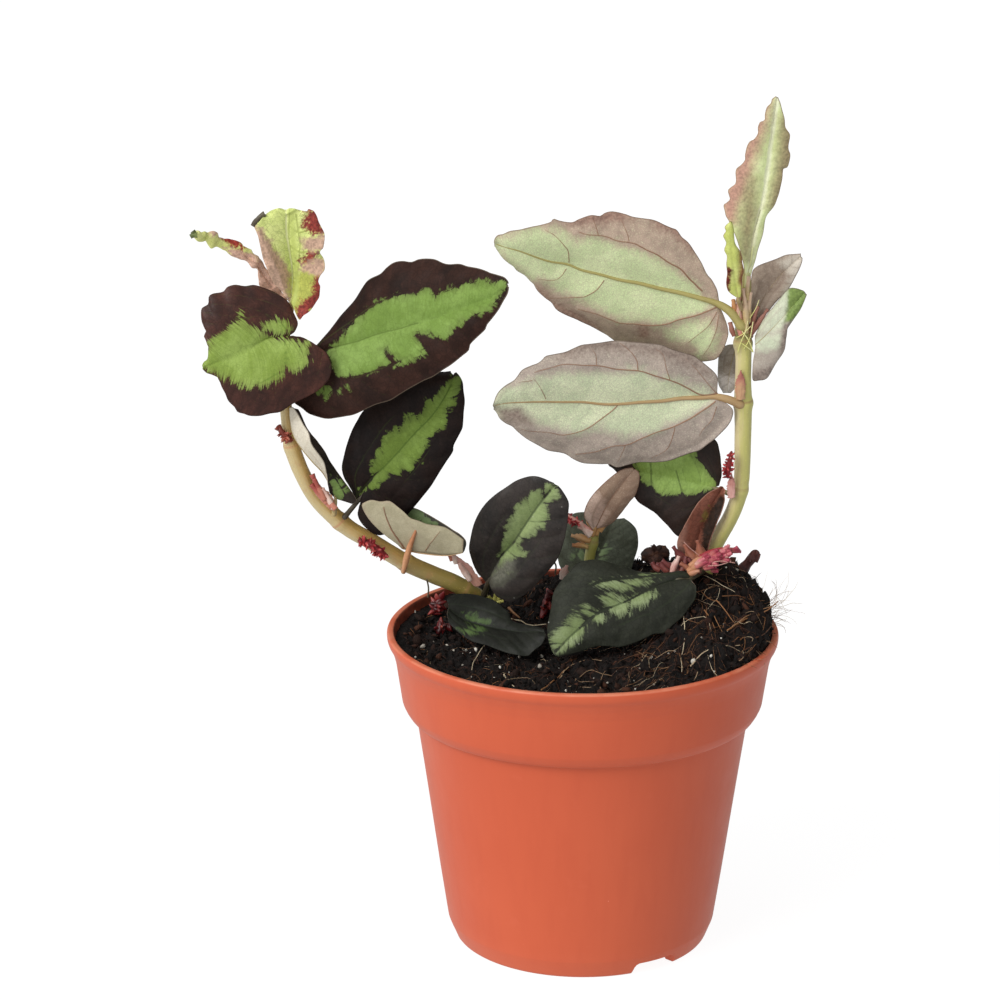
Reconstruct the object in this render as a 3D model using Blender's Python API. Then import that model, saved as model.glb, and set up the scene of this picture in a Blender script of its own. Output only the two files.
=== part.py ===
"""Trailing watermelon begonia in a terracotta-coloured nursery pot.

Every sub-part is one closed solid. Lengths below are in millimetres and are
turned into metres when a mesh is made. +Z is up, the origin is the middle of
the pot's base, and the front of the plant faces -Y.

Leaves and stems are laid out from the front: a point is given by where it is
seen on a 1000-unit square front elevation, taken from a fixed eye point, and
by its depth Y in millimetres (negative is nearer the front).
"""

import math

import bmesh
import bpy
import numpy as np
from mathutils import Vector

# ------------------------------------------------------------------ driving dimensions
MM = 0.001

POT_HEIGHT = 99.0
RIM_R = 60.0          # outer radius of the lip
RIM_INNER_R = 57.8
FOOT_R = 39.4         # outer radius of the foot ring
FOOT_IN_R = 35.6
WALL = 1.5            # plastic wall
BAND_Z = 73.9         # lower edge of the collar
FLOOR_LOW = 4.0       # underside of the floor
FLOOR_TOP = 5.5
PAD_R = 8.0           # central pad, level with the foot ring
POT_SIDES = 44
DRAIN_R = 3.6
DRAIN_RING_R = 25.0
DRAIN_COUNT = 6
NOTCH_ANGLES = (34.0, 154.0, 274.0)   # from the front, towards +X
NOTCH_HALF = 12.0     # half its width, degrees
NOTCH_TOP = 3.7

GAP = 0.35            # clearance between neighbouring solids
SOIL_BASE = 92.5      # soil level at the left and front
SOIL_HEAPS = (        # centre x, y, height, spread left, right, front, back
    (42.0, 12.0, 20.5, 22.0, 22.0, 48.0, 30.0),
    (10.0, 34.0, 14.0, 26.0, 26.0, 16.0, 18.0),
)

LEAF_T = 0.8          # leaf thickness of the solids
STEM_SIDES = 8

# the eye point that the front elevation is taken from
EYE_FOCAL = 3799.0    # in elevation units
EYE_TILT = 0.298      # radians below the horizon
EYE_FAR = 1152.6
EYE_AIM = (-25.31, 0.0, 140.17)

CT, ST = math.cos(EYE_TILT), math.sin(EYE_TILT)
EYE = (EYE_AIM[0], EYE_AIM[1] - CT * EYE_FAR, EYE_AIM[2] + ST * EYE_FAR)


def at(px, py, y):
    """The point at depth y that is seen at (px, py) on the front elevation."""
    a, b = (px - 500.0) / EYE_FOCAL, (500.0 - py) / EYE_FOCAL
    ray = (a, CT + b * ST, -ST + b * CT)
    k = (y - EYE[1]) / ray[1]
    return np.array((EYE[0] + k * ray[0], y, EYE[2] + k * ray[2]))


# ------------------------------------------------------------------ materials
def material(name, colour, rough, sheen=0.0):
    m = bpy.data.materials.new(name)
    m.use_nodes = True
    p = m.node_tree.nodes["Principled BSDF"]
    p.inputs["Base Color"].default_value = (*colour, 1.0)
    p.inputs["Roughness"].default_value = rough
    p.inputs["Metallic"].default_value = 0.0
    p.inputs["Sheen Weight"].default_value = sheen
    m.diffuse_color = (*colour, 1.0)
    return m


# ------------------------------------------------------------------ curves
def smooth(points, count):
    """count points, evenly spaced along a smooth curve through the given points."""
    p = np.array(points, float)
    if len(p) == 2:
        return p[0] + (p[1] - p[0]) * np.linspace(0, 1, count)[:, None]
    ext = np.vstack([2 * p[0] - p[1], p, 2 * p[-1] - p[-2]])
    dense = []
    for i in range(1, len(ext) - 2):
        a, b, c, d = ext[i - 1], ext[i], ext[i + 1], ext[i + 2]
        for u in np.linspace(0, 1, 12, endpoint=False):
            dense.append(0.5 * ((2 * b) + (c - a) * u + (2 * a - 5 * b + 4 * c - d) * u * u
                                + (3 * b - a - 3 * c + d) * u ** 3))
    dense.append(ext[-2])
    dense = np.array(dense)
    step = np.linalg.norm(np.diff(dense[:, :2], axis=0), axis=1)
    run = np.concatenate([[0.0], np.cumsum(step)])
    want = np.linspace(0, run[-1], count)
    return np.stack([np.interp(want, run, dense[:, k]) for k in range(p.shape[1])], axis=1)


def ramp(values, t):
    """A smooth curve through evenly spaced values, read at t."""
    v = np.array(values, float)
    if len(v) == 1:
        return np.full_like(t, v[0])
    x = np.clip(t, 0, 1) * (len(v) - 1)
    i = np.minimum(x.astype(int), len(v) - 2)
    u = x - i
    a, b, c, d = v[np.maximum(i - 1, 0)], v[i], v[i + 1], v[np.minimum(i + 2, len(v) - 1)]
    return 0.5 * (2 * b + (c - a) * u + (2 * a - 5 * b + 4 * c - d) * u * u + (3 * b - a - 3 * c + d) * u ** 3)


def unit(v):
    n = np.linalg.norm(v, axis=-1, keepdims=True)
    return v / np.maximum(n, 1e-9)


# ------------------------------------------------------------------ meshes
def solid(name, verts, faces, mat, flat=40.0):
    me = bpy.data.meshes.new(name)
    me.from_pydata([Vector(v) * MM for v in verts], [], faces)
    bm = bmesh.new()
    bm.from_mesh(me)
    bmesh.ops.recalc_face_normals(bm, faces=bm.faces)
    if bm.calc_volume(signed=True) < 0:
        bmesh.ops.reverse_faces(bm, faces=bm.faces)
    bm.to_mesh(me)
    bm.free()
    me.shade_smooth()
    me.set_sharp_from_angle(angle=math.radians(flat))
    ob = bpy.data.objects.new(name, me)
    bpy.context.scene.collection.objects.link(ob)
    me.materials.append(mat)
    return ob


def hidden(ob):
    ob.hide_render = True
    ob.display_type = "WIRE"
    return ob


def cut(ob, cutter, kind="DIFFERENCE"):
    mod = ob.modifiers.new(cutter.name, "BOOLEAN")
    mod.operation = kind
    mod.object = cutter
    mod.solver = "EXACT"


def tube(name, points, mat, sides=STEM_SIDES, grow=0.0, count=None, squeeze=1.0):
    """A closed tube along points of (px, py, depth, radius)."""
    n = count or max(3, 2 * len(points) - 1)
    line = smooth(points, n)
    centre = np.array([at(*p[:3]) for p in line])
    radius = line[:, 3] + grow
    tangent = unit(np.gradient(centre, axis=0))
    centre[0] = centre[0] - tangent[0] * grow
    side = unit(np.cross(tangent[0], (0.0, 1.0, 0.0)))
    verts = []
    for c, t, r in zip(centre, tangent, radius):
        side = unit(side - t * np.dot(side, t))
        other = np.cross(t, side)
        for k in range(sides):
            a = 2 * math.pi * k / sides
            verts.append(c + (side * math.cos(a) + other * math.sin(a) * squeeze) * r)
    faces = []
    for i in range(n - 1):
        for k in range(sides):
            m = (k + 1) % sides
            faces.append((i * sides + k, i * sides + m, (i + 1) * sides + m, (i + 1) * sides + k))
    faces.append(tuple(range(sides))[::-1])
    faces.append(tuple((n - 1) * sides + k for k in range(sides)))
    return solid(name, verts, faces, mat)


def blade_rows(spec, rows, cols):
    """Rows of points across a leaf, margin a to midrib to margin b, base to tip."""
    first = 0.5 / rows
    t = np.linspace(first, 1.0 - 0.35 / rows, rows)
    grid = np.empty((rows, 2 * cols + 1, 3))
    edge = {}
    for key, depth in (("a", "ya"), ("mid", "ym"), ("b", "yb")):
        fine = smooth(spec[key], 161)
        seen = np.stack([np.interp(t, np.linspace(0, 1, 161), fine[:, k]) for k in (0, 1)], axis=1)
        y = ramp(spec[depth], t)
        edge[key] = np.array([at(p[0], p[1], d) for p, d in zip(seen, y)])
    tangent = unit(np.gradient(edge["mid"], axis=0))
    bulge = spec.get("bulge", (1.5, 1.5))
    swell = np.sin(np.pi * np.clip(t, 0.02, 0.98)) ** 0.6
    for side, key in ((0, "a"), (1, "b")):
        out = edge[key] - edge["mid"]
        size = np.linalg.norm(out, axis=1, keepdims=True)
        out = out * np.maximum(1.0, 0.5 / np.maximum(size, 1e-6))
        normal = unit(np.cross(tangent, out)) * (1 if side == 0 else -1)
        if side == 0:
            facing = 1 if normal[rows // 2][1] < 0 else -1
        for c in range(cols + 1):
            s = c / cols
            lift = (bulge[side] * 4 * s * (1 - s) * swell * facing)[:, None]
            row = edge["mid"] + out * s + normal * lift
            grid[:, cols - c if side == 0 else cols + c] = row
    return grid


def leaf(name, spec, mat, rows=12, cols=3, thick=LEAF_T):
    """A leaf with its stalk as one solid: stalk rows first, then the blade."""
    rows, cols = spec.get("rows", rows), spec.get("cols", cols)
    grid = blade_rows(spec, rows, cols)
    n = 2 * cols + 1
    du, dv = np.gradient(grid, axis=0), np.gradient(grid, axis=1)
    normal = np.cross(du, dv)
    size = np.linalg.norm(normal, axis=2, keepdims=True)
    mean = unit(normal.sum(axis=(0, 1)))
    rowmean = unit(normal.sum(axis=1))[:, None, :] * np.ones((1, n, 1))
    normal = np.where(size > 1e-3, normal / np.maximum(size, 1e-9), rowmean)
    normal = unit(0.75 * normal + 0.25 * rowmean)
    top, low = grid + normal * thick / 2, grid - normal * thick / 2
    tops, lows = [r for r in top], [r for r in low]
    stalk = spec.get("stalk")
    if stalk:
        line = smooth(stalk, max(3, len(stalk) + 1))
        centre = np.array([at(*p[:3]) for p in line])
        along = unit(np.gradient(centre, axis=0))
        across0 = unit(grid[0][-1] - grid[0][0])
        angle = np.radians(np.linspace(168, 12, n))
        head, foot = [], []
        for c, a, p in zip(centre, along, line):
            across = unit(across0 - a * np.dot(across0, a))
            up = np.cross(a, across)
            if np.dot(up, rowmean[0][0]) < 0:
                up = -up
            ring = np.array([c + (across * math.cos(q) * -1 + up * math.sin(q)) * p[3] for q in angle])
            under = np.array([c + (across * math.cos(q) * -1 - up * math.sin(q)) * p[3] for q in angle])
            # angle 168 sits on the margin-b side, so turn the row round to run a to b
            head.append(ring[::-1])
            foot.append(under[::-1])
        tops, lows = head + tops, foot + lows
    total = len(tops)
    verts = [v for r in tops for v in r] + [v for r in lows for v in r]
    under = total * n
    faces = []
    for i in range(total - 1):
        for j in range(n - 1):
            a = i * n + j
            faces.append((a, a + 1, a + n + 1, a + n))
            faces.append((under + a, under + a + n, under + a + n + 1, under + a + 1))
        for j in (0, n - 1):
            a = i * n + j
            quad = (a, a + n, under + a + n, under + a)
            faces.append(quad if j == 0 else quad[::-1])
    for i in (0, total - 1):
        for j in range(n - 1):
            a = i * n + j
            quad = (a, under + a, under + a + 1, a + 1)
            faces.append(quad if i == 0 else quad[::-1])
    return solid(name, verts, faces, mat, flat=50.0)


def lump(name, points, mat, sides=7, count=6):
    """A knobbly bud: a tube of changing radius with closed round ends."""
    line = smooth(points, count)
    rows = []
    for i, p in enumerate(line):
        s = i / (count - 1)
        r = p[3] * math.sqrt(max(0.12, 1 - (2 * s - 1) ** 2 * 0.88))
        rows.append((p[0], p[1], p[2], r))
    return tube(name, rows, mat, sides=sides, count=count)


# ------------------------------------------------------------------ soil level
def soil_level(x, y):
    z = SOIL_BASE
    for cx, cy, high, left, right, front, back in SOIL_HEAPS:
        sx = left if x < cx else right
        sy = front if y < cy else back
        z += high * math.exp(-((x - cx) / sx) ** 2 - ((y - cy) / sy) ** 2)
    return z


def pot_inner(z):
    """Inner radius of the pot at height z."""
    return float(np.interp(z, [FLOOR_TOP, 70.5, 76.5, 90.0, 96.5, POT_HEIGHT],
                           [39.9, 49.2, 53.6, 55.6, 57.4, RIM_INNER_R]))


def turned(name, profile, sides, mat):
    """Turns a closed profile of (radius, z) round the Z axis."""
    verts, index = [], []
    for r, z in profile:
        if r < 1e-6:
            index.append([len(verts)] * sides)
            verts.append((0.0, 0.0, z))
        else:
            ring = []
            for k in range(sides):
                a = 2 * math.pi * k / sides
                ring.append(len(verts))
                verts.append((r * math.cos(a), r * math.sin(a), z))
            index.append(ring)
    faces = []
    for i in range(len(profile) - 1):
        for k in range(sides):
            m = (k + 1) % sides
            quad = [index[i][k], index[i][m], index[i + 1][m], index[i + 1][k]]
            face = list(dict.fromkeys(quad))
            if len(face) > 2:
                faces.append(face)
    return solid(name, verts, faces, mat, flat=30.0)


# ------------------------------------------------------------------ the plant's layout
LEAVES = {
    # right stem: two large leaves, seen from below
    "leaf_right_upper": dict(
        a=[(718, 301), (716, 290), (707, 274), (693, 249), (677, 230), (654, 220), (625, 214), (600, 215), (567, 221), (540, 225), (510, 231), (494, 241)],
        mid=[(716, 302), (681, 292), (638, 282), (600, 273), (568, 264), (534, 255), (494, 243)],
        b=[(719, 306), (727, 325), (723, 350), (702, 362), (670, 358), (640, 349), (607, 335), (575, 319), (552, 302), (534, 284), (514, 266), (495, 246)],
        ym=[-2, -5, -10, -17], ya=[-2, -9, -14, -18], yb=[-1, 3, -3, -15], bulge=(2.0, 2.0),
        stalk=[(736.5, 319, -1.5, 1.2), (729, 310, -2, 1.3), (719, 303.5, -2, 1.2)], rows=15),
    "leaf_right_lower": dict(
        a=[(717, 394), (716, 377), (703, 362), (682, 352), (645, 343), (599, 342), (565, 352), (538, 363), (517, 377), (500, 390), (493, 406)],
        mid=[(714, 396), (680, 398), (641, 402), (603, 404), (560, 402), (493, 407)],
        b=[(718, 399), (732, 410), (728, 426), (708, 444), (680, 457), (640, 463), (600, 464), (566, 455), (531, 441), (506, 423), (493, 409)],
        ym=[-2, -6, -12, -20], ya=[-2, -10, -16, -21], yb=[-2, 1, -5, -18], bulge=(2.0, 2.0),
        stalk=[(733.5, 401, -1, 1.2), (726, 398, -2, 1.3), (717, 396.5, -2, 1.2)], rows=15),
    # right stem: the tip
    "leaf_top": dict(
        a=[(745, 262), (733, 230), (724, 208), (729, 190), (737, 170), (746, 146), (759, 126), (766, 112), (775, 97)],
        mid=[(748, 264), (754, 232), (763, 199), (768, 165), (772, 131), (777, 98)],
        b=[(752, 262), (762, 232), (776, 198), (787, 166), (789, 145), (784, 122), (778, 99)],
        ym=[-1, 0, 0, -3], ya=[-2, -5, -5, -4], yb=[0, -4, -5, -4], bulge=(1.0, 0.6)),
    "leaf_top_bud": dict(
        a=[(736, 297), (726, 280), (724, 256), (724, 238), (728, 221)],
        mid=[(738, 298), (734, 270), (731, 240), (730, 221)],
        b=[(741, 297), (743, 268), (737, 244), (732, 222)],
        ym=[-5, -8, -8], ya=[-5, -7, -7], yb=[-5, -7, -7], bulge=(0.5, 0.5), rows=8, cols=2,
        stalk=[(740.5, 306, -2.6, 0.7), (739, 302, -4, 0.7), (738.3, 299, -4.8, 0.6)]),
    "leaf_tip_mauve": dict(
        a=[(749, 318), (752, 292), (756, 270), (775, 259), (790, 254), (800, 254)],
        mid=[(752, 322), (764, 298), (780, 276), (800, 256)],
        b=[(756, 325), (769, 311), (785, 293), (797, 275), (802, 260)],
        ym=[3, 6, 5], ya=[4, 7, 5], yb=[2, 3, 4], bulge=(0.8, 0.8), rows=8, cols=2,
        stalk=[(751.3, 331, 2.4, 0.7), (752, 325, 2.9, 0.7)]),
    "leaf_tip_pale": dict(
        a=[(755, 336), (764, 318), (778, 301), (791, 288), (800, 289)],
        mid=[(755, 345), (766, 335), (784, 316), (803, 292)],
        b=[(755, 352), (754, 380), (768, 377), (783, 352), (788, 330), (800, 310), (806, 295)],
        ym=[-1, -1, 1], ya=[0, 1, 1], yb=[-1, -2, 0], bulge=(0.8, 1.0), rows=9, cols=2),
    "leaf_behind_stem": dict(
        a=[(734, 348), (724, 350), (719, 360), (719, 378), (723, 392)],
        mid=[(737, 350), (731, 368), (727, 391)],
        b=[(740, 352), (738, 370), (733, 389)],
        ym=[7, 8, 8], ya=[7, 9, 9], yb=[7, 8, 8], bulge=(0.6, 0.6), rows=6, cols=2,
        stalk=[(741, 346, 4.9, 0.7), (739, 348, 6, 0.7), (737.3, 350, 6.9, 0.7)]),
    # right stem: the lower leaf behind, and a young one folded beside the stem
    "leaf_behind_right": dict(
        a=[(718, 484), (721, 465), (715, 442), (690, 436), (655, 440), (625, 450), (608, 462)],
        mid=[(715, 488), (690, 482), (651, 474), (608, 464)],
        b=[(712, 494), (700, 528), (677, 534), (655, 513), (637, 498), (620, 480), (609, 467)],
        ym=[7, 11, 14], ya=[8, 12, 15], yb=[7, 9, 13], bulge=(1.2, 1.2), rows=10,
        stalk=[(727.5, 493, 6, 0.8), (722, 491, 6.8, 0.8), (716, 488.5, 7, 0.8)]),
    "leaf_folded_red": dict(
        a=[(690, 549), (687, 525), (697, 506), (712, 493)],
        mid=[(696, 547), (703, 522), (716, 494)],
        b=[(701, 545), (712, 526), (721, 508), (722, 494)],
        ym=[5, 4, 3], ya=[5, 3, 3], yb=[4, 3, 2], bulge=(0.6, 0.6), rows=7, cols=2),
    # left stem: the tip
    "leaf_left_round": dict(
        a=[(288, 335), (298, 323), (288, 302), (264, 288), (235, 285), (208, 299), (201, 315), (205, 336), (207, 356), (203, 366)],
        mid=[(281, 339), (262, 342), (242, 352), (203, 368)],
        b=[(290, 338), (318, 347), (332, 366), (325, 384), (300, 400), (270, 414), (244, 414), (228, 400), (219, 380), (205, 372)],
        ym=[-6, -10, -13], ya=[-6, -5, -8, -12], yb=[-6, -8, -14, -14], bulge=(1.5, 1.5), rows=13,
        stalk=[(285, 341, -4.5, 0.9), (283.5, 340, -5.4, 0.9)]),
    "leaf_left_upright": dict(
        a=[(288, 301), (274, 283), (264, 262), (258, 238), (256, 224), (268, 212), (282, 208)],
        mid=[(291, 303), (292, 270), (287, 236), (286, 210)],
        b=[(295, 310), (306, 313), (317, 299), (322, 270), (322, 250), (323, 236), (317, 215), (300, 209), (290, 208)],
        ym=[-4, -2, -5, -8], ya=[-4, -7, -9, -8], yb=[-5, -7, -9, -8], bulge=(0.8, 0.8), rows=11),
    "leaf_left_curled": dict(
        a=[(262, 266), (254, 253), (236, 240), (214, 231), (194, 233)],
        mid=[(263, 271), (250, 259), (228, 246), (194, 235)],
        b=[(263, 280), (252, 266), (232, 255), (211, 247), (194, 238)],
        ym=[-3, -8, -14], ya=[-2, -7, -13], yb=[-4, -7, -13], bulge=(0.4, 0.4), rows=8, cols=2,
        stalk=[(282, 315, -0.9, 0.7), (275, 298, -1.0, 0.7), (267, 281, -2.4, 0.7), (264, 275, -3, 0.6)]),
    # left stem: the large leaf, its upper side to the front
    "leaf_left_big": dict(
        a=[(302, 364), (318, 345), (345, 312), (370, 280), (395, 263), (427, 258), (460, 264), (490, 273), (508, 284)],
        mid=[(302, 366), (326, 350), (359, 341), (399, 329), (440, 316), (474, 304), (508, 285)],
        b=[(300, 370), (290, 392), (310, 414), (335, 418), (368, 408), (399, 395), (433, 377), (461, 357), (485, 330), (503, 302), (509, 288)],
        ym=[1, -4, -13, -23], ya=[2, 3, -5, -22], yb=[1, -8, -18, -25], bulge=(2.0, 2.0), rows=15,
        stalk=[(292.8, 368, -0.6, 0.9), (297, 367, 0.3, 0.9), (301, 366, 1, 0.9)]),
    "leaf_left_dark": dict(
        a=[(355, 500), (348, 485), (342, 468), (350, 435), (364, 410), (390, 388), (420, 374), (448, 371)],
        mid=[(360, 499), (385, 466), (415, 433), (443, 400), (454, 376)],
        b=[(366, 502), (384, 520), (410, 512), (430, 488), (446, 462), (462, 428), (464, 398), (459, 377)],
        ym=[1, 0, -3], ya=[2, 5, 0], yb=[1, -1, -4], bulge=(1.5, 1.5), rows=12,
        stalk=[(348, 513, -0.9, 0.8), (353, 507, 0.1, 0.8), (359, 500, 0.9, 0.8)]),
    "leaf_left_folded": dict(
        a=[(334, 497), (327, 472), (319, 455), (311, 440), (303, 424), (294, 409)],
        mid=[(336, 499), (324, 474), (311, 460), (299, 445), (294, 425), (290, 408)],
        b=[(348, 505), (352, 492), (337, 471), (320, 444), (308, 429), (298, 410)],
        ym=[-1.5, -6.8, -7.6, -6], ya=[-2, -9, -10.5, -7], yb=[-1, -2, -2, -3], bulge=(0.3, 0.3), rows=9, cols=2,
        stalk=[(334.5, 509, -2.4, 0.7), (335, 504, -2.1, 0.7), (336, 500, -1.7, 0.6)]),
    "leaf_left_pale": dict(
        a=[(401, 548), (382, 534), (366, 515), (363, 503), (388, 502), (409, 519), (443, 527), (462, 541)],
        mid=[(408, 550), (424, 553), (445, 555), (463, 553)],
        b=[(408, 540), (396, 520), (400, 505), (430, 516), (453, 530), (466, 543)],
        ym=[2, 0, -3, -5], ya=[0, -6, -8, -6], yb=[3, 3, 1, -3], bulge=(0.6, 0.6), rows=10, cols=2,
        stalk=[(404.5, 566, 3.5, 0.9), (406, 558, 2.8, 0.9), (407, 552, 2.2, 0.8)]),
    # the middle of the pot
    "leaf_middle_oval": dict(
        a=[(486, 580), (474, 566), (469, 548), (475, 521), (495, 495), (515, 481), (537, 476), (553, 482)],
        mid=[(489, 579), (500, 558), (525, 525), (546, 496), (558, 486)],
        b=[(492, 587), (506, 600), (523, 596), (545, 574), (560, 553), (568, 520), (567, 499), (561, 488)],
        ym=[7, 2, -4, -9], ya=[8, 3, -3, -9], yb=[6, -3, -9, -10], bulge=(1.5, 1.5), rows=12,
        stalk=[(485, 592, 10.4, 0.9), (487, 586, 8.5, 0.9), (489, 581, 7.2, 0.9)]),
    "leaf_front": dict(
        a=[(686, 574), (669, 573), (636, 570), (601, 560), (577, 564), (558, 584), (550, 606), (547, 631), (550, 646)],
        mid=[(689, 579), (672, 581), (650, 590), (626, 602), (600, 612), (575, 632), (553, 653)],
        b=[(692, 584), (694, 600), (682, 617), (664, 632), (631, 643), (600, 646), (572, 653), (556, 655)],
        ym=[-4, -8, -13, -17], ya=[-3, -1, -6, -15], yb=[-8, -15, -17, -18], bulge=(1.5, 1.5), rows=13,
        stalk=[(701, 572, 5.4, 0.9), (695, 576, 0, 0.9), (690, 579, -3.4, 0.9)]),
    "leaf_front_curled": dict(
        a=[(449, 602), (457, 598), (475, 599), (492, 604), (505, 613), (525, 625), (544, 630)],
        mid=[(448, 609), (465, 619), (490, 627), (520, 633), (545, 633)],
        b=[(448, 618), (462, 634), (487, 645), (513, 653), (530, 652), (544, 638)],
        ym=[4, 2, -4, -10], ya=[5, 8, 2, -9], yb=[2, -5, -13, -12], bulge=(0.8, 0.8), rows=10, cols=2,
        stalk=[(450, 594, 7.4, 0.8), (450, 600, 6, 0.8), (449, 607, 4.4, 0.8)]),
    "leaf_middle_back": dict(
        a=[(586, 584), (566, 572), (559, 548), (568, 520), (584, 512), (608, 515)],
        mid=[(592, 584), (596, 560), (606, 538), (614, 519)],
        b=[(600, 584), (622, 578), (635, 558), (637, 532), (624, 518)],
        ym=[25, 26, 24], ya=[25, 27, 25], yb=[25, 25, 23], bulge=(1.0, 1.0), rows=9, cols=2,
        stalk=[(590, 592, 17.6, 0.8), (591, 589, 21, 0.8), (592, 585, 24.5, 0.8)]),
    "leaf_young_pink": dict(
        a=[(592, 528), (584, 514), (590, 498), (606, 481), (624, 469), (633, 468)],
        mid=[(595, 527), (610, 500), (634, 469)],
        b=[(599, 528), (617, 518), (631, 501), (639, 484), (636, 470)],
        ym=[11, 6, 3], ya=[10, 5, 3], yb=[11, 7, 3], bulge=(0.8, 0.8), rows=8, cols=2),
}

# thin sheathing scales at the joints of the stems
SCALES = {
    "scale_left_lower": dict(
        a=[(330, 510), (322, 500), (317, 486)], mid=[(333, 509), (326, 498), (318, 484)], b=[(335, 506), (329, 494), (320, 483)],
        ym=[-4.0, -4.4], ya=[-3.8, -4.4], yb=[-4.0, -4.2]),
    "scale_left_base": dict(
        a=[(474, 585), (462, 570), (452, 556)], mid=[(478, 586), (466, 570), (456, 556)], b=[(482, 583), (470, 567), (462, 556)],
        ym=[7.5, 4], ya=[7.5, 4], yb=[7.5, 4]),
    "scale_right_joint": dict(
        a=[(736, 398), (735, 386), (738, 372)], mid=[(740, 399), (740, 386), (740, 371)], b=[(744, 398), (744, 385), (742, 371)],
        ym=[-2.0, -1.7], ya=[-1.6, -1.4], yb=[-2.0, -1.7]),
    "scale_right_lower": dict(
        a=[(729, 497), (728, 487), (730, 476)], mid=[(732, 497), (731, 486), (732, 475)], b=[(734.5, 496), (734, 486), (734, 475)],
        ym=[1.0, 0.5], ya=[1.5, 0.5], yb=[0.6, -0.4]),
}

BUDS = {
    "bud_left_upper": [(279.5, 426, -6, 1.0), (282, 431, -7, 1.8), (287, 437, -7, 1.7), (291.5, 440, -6.4, 0.9)],
    "bud_left_lower": [(359, 541, 0.3, 1.0), (367, 543, 0, 1.9), (377, 549, -0.5, 2.1), (386, 556, 0, 1.4)],
    "bud_pot_left": [(434, 613, 5, 1.0), (436, 605, 5, 1.6), (442, 597, 5.3, 1.5)],
    "bud_pot_front": [(437, 630, 9.5, 1.1), (445, 626, 9.5, 1.5), (451, 626, 9.5, 1.0)],
    "bud_centre": [(544, 614, 20, 1.1), (546, 606, 20, 1.9), (548, 597, 20, 1.6), (549, 591, 20, 0.9)],
    "bud_middle_shoot": [(561, 516, 11, 1.1), (567, 517, 10.5, 1.9), (575, 521, 10.5, 1.8), (584, 526, 10.5, 1.2)],
    "bud_right_base": [(694, 566, -1, 1.8), (706, 558, -2, 3.4), (720, 552, -3, 2.6), (733, 550, -4, 1.4)],
    "bud_right_stem": [(728, 477, -0.6, 1.0), (728, 470, -1.2, 1.5), (730, 460, -1.6, 1.3), (731.5, 452, -2, 0.7)],
    "bract_right_base": [(662, 565, 2, 1.4), (672, 556, 1, 2.4), (683, 550, 1, 2.4), (692, 546, 1.5, 1.2)],
    "dry_leaf_ball": [(648, 558, 26, 2.6), (657, 553, 26, 3.6), (666, 552, 26, 2.4)],
}

STEMS = {
    "stem_left": [(521, 660, 19, 2.6), (520, 625, 18.5, 2.7), (505, 609, 17, 2.7), (483, 597.5, 15, 2.7), (458, 585, 12, 2.7), (433, 574.5, 10, 2.7),
                  (409, 564, 8, 2.7), (388, 552, 6.5, 2.65), (369, 540, 5, 2.6), (350, 529, 3.5, 2.6), (333, 515, 2, 2.65), (315, 496, 0.5, 2.5),
                  (302, 473, -1.5, 2.4), (293, 450, -3, 2.6), (289, 436, -3.4, 1.9), (287, 418, -3.4, 1.8), (285.5, 400, -3.0, 1.8), (284, 372, -2.4, 1.7),
                  (284, 345, -1.6, 1.6), (287, 322, -1.6, 1.5), (290, 306, -2.2, 1.3)],
    "stem_right": [(703, 600, 10, 2.5), (706, 562, 9.5, 2.6), (717, 540, 8, 2.6), (729, 520, 6.5, 2.4), (737.5, 500, 5, 2.4), (741.5, 480, 4, 2.4), (742.5, 450, 3, 2.5),
                   (743, 420, 2.2, 2.6), (743, 402, 1.8, 2.8), (743, 385, 1.5, 2.5), (743.5, 360, 1.2, 2.4), (743, 343, 1.2, 2.6), (742.5, 325, 1.2, 2.1), (744, 305, 1.0, 1.9),
                   (746, 285, 0.5, 1.6), (747, 269, 0.0, 1.0)],
    "stem_middle": [(585, 660, 15, 1.6), (586, 634, 14, 1.6), (587, 595, 14, 1.6), (589, 562, 14, 1.6), (592, 545, 14, 1.6), (595, 533, 13.5, 1.4)],
    "stem_stub": [(730, 592, 22, 1.2), (739, 574, 22, 1.25), (748, 563, 21.5, 1.25), (755, 554, 21, 1.3)],
}


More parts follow.
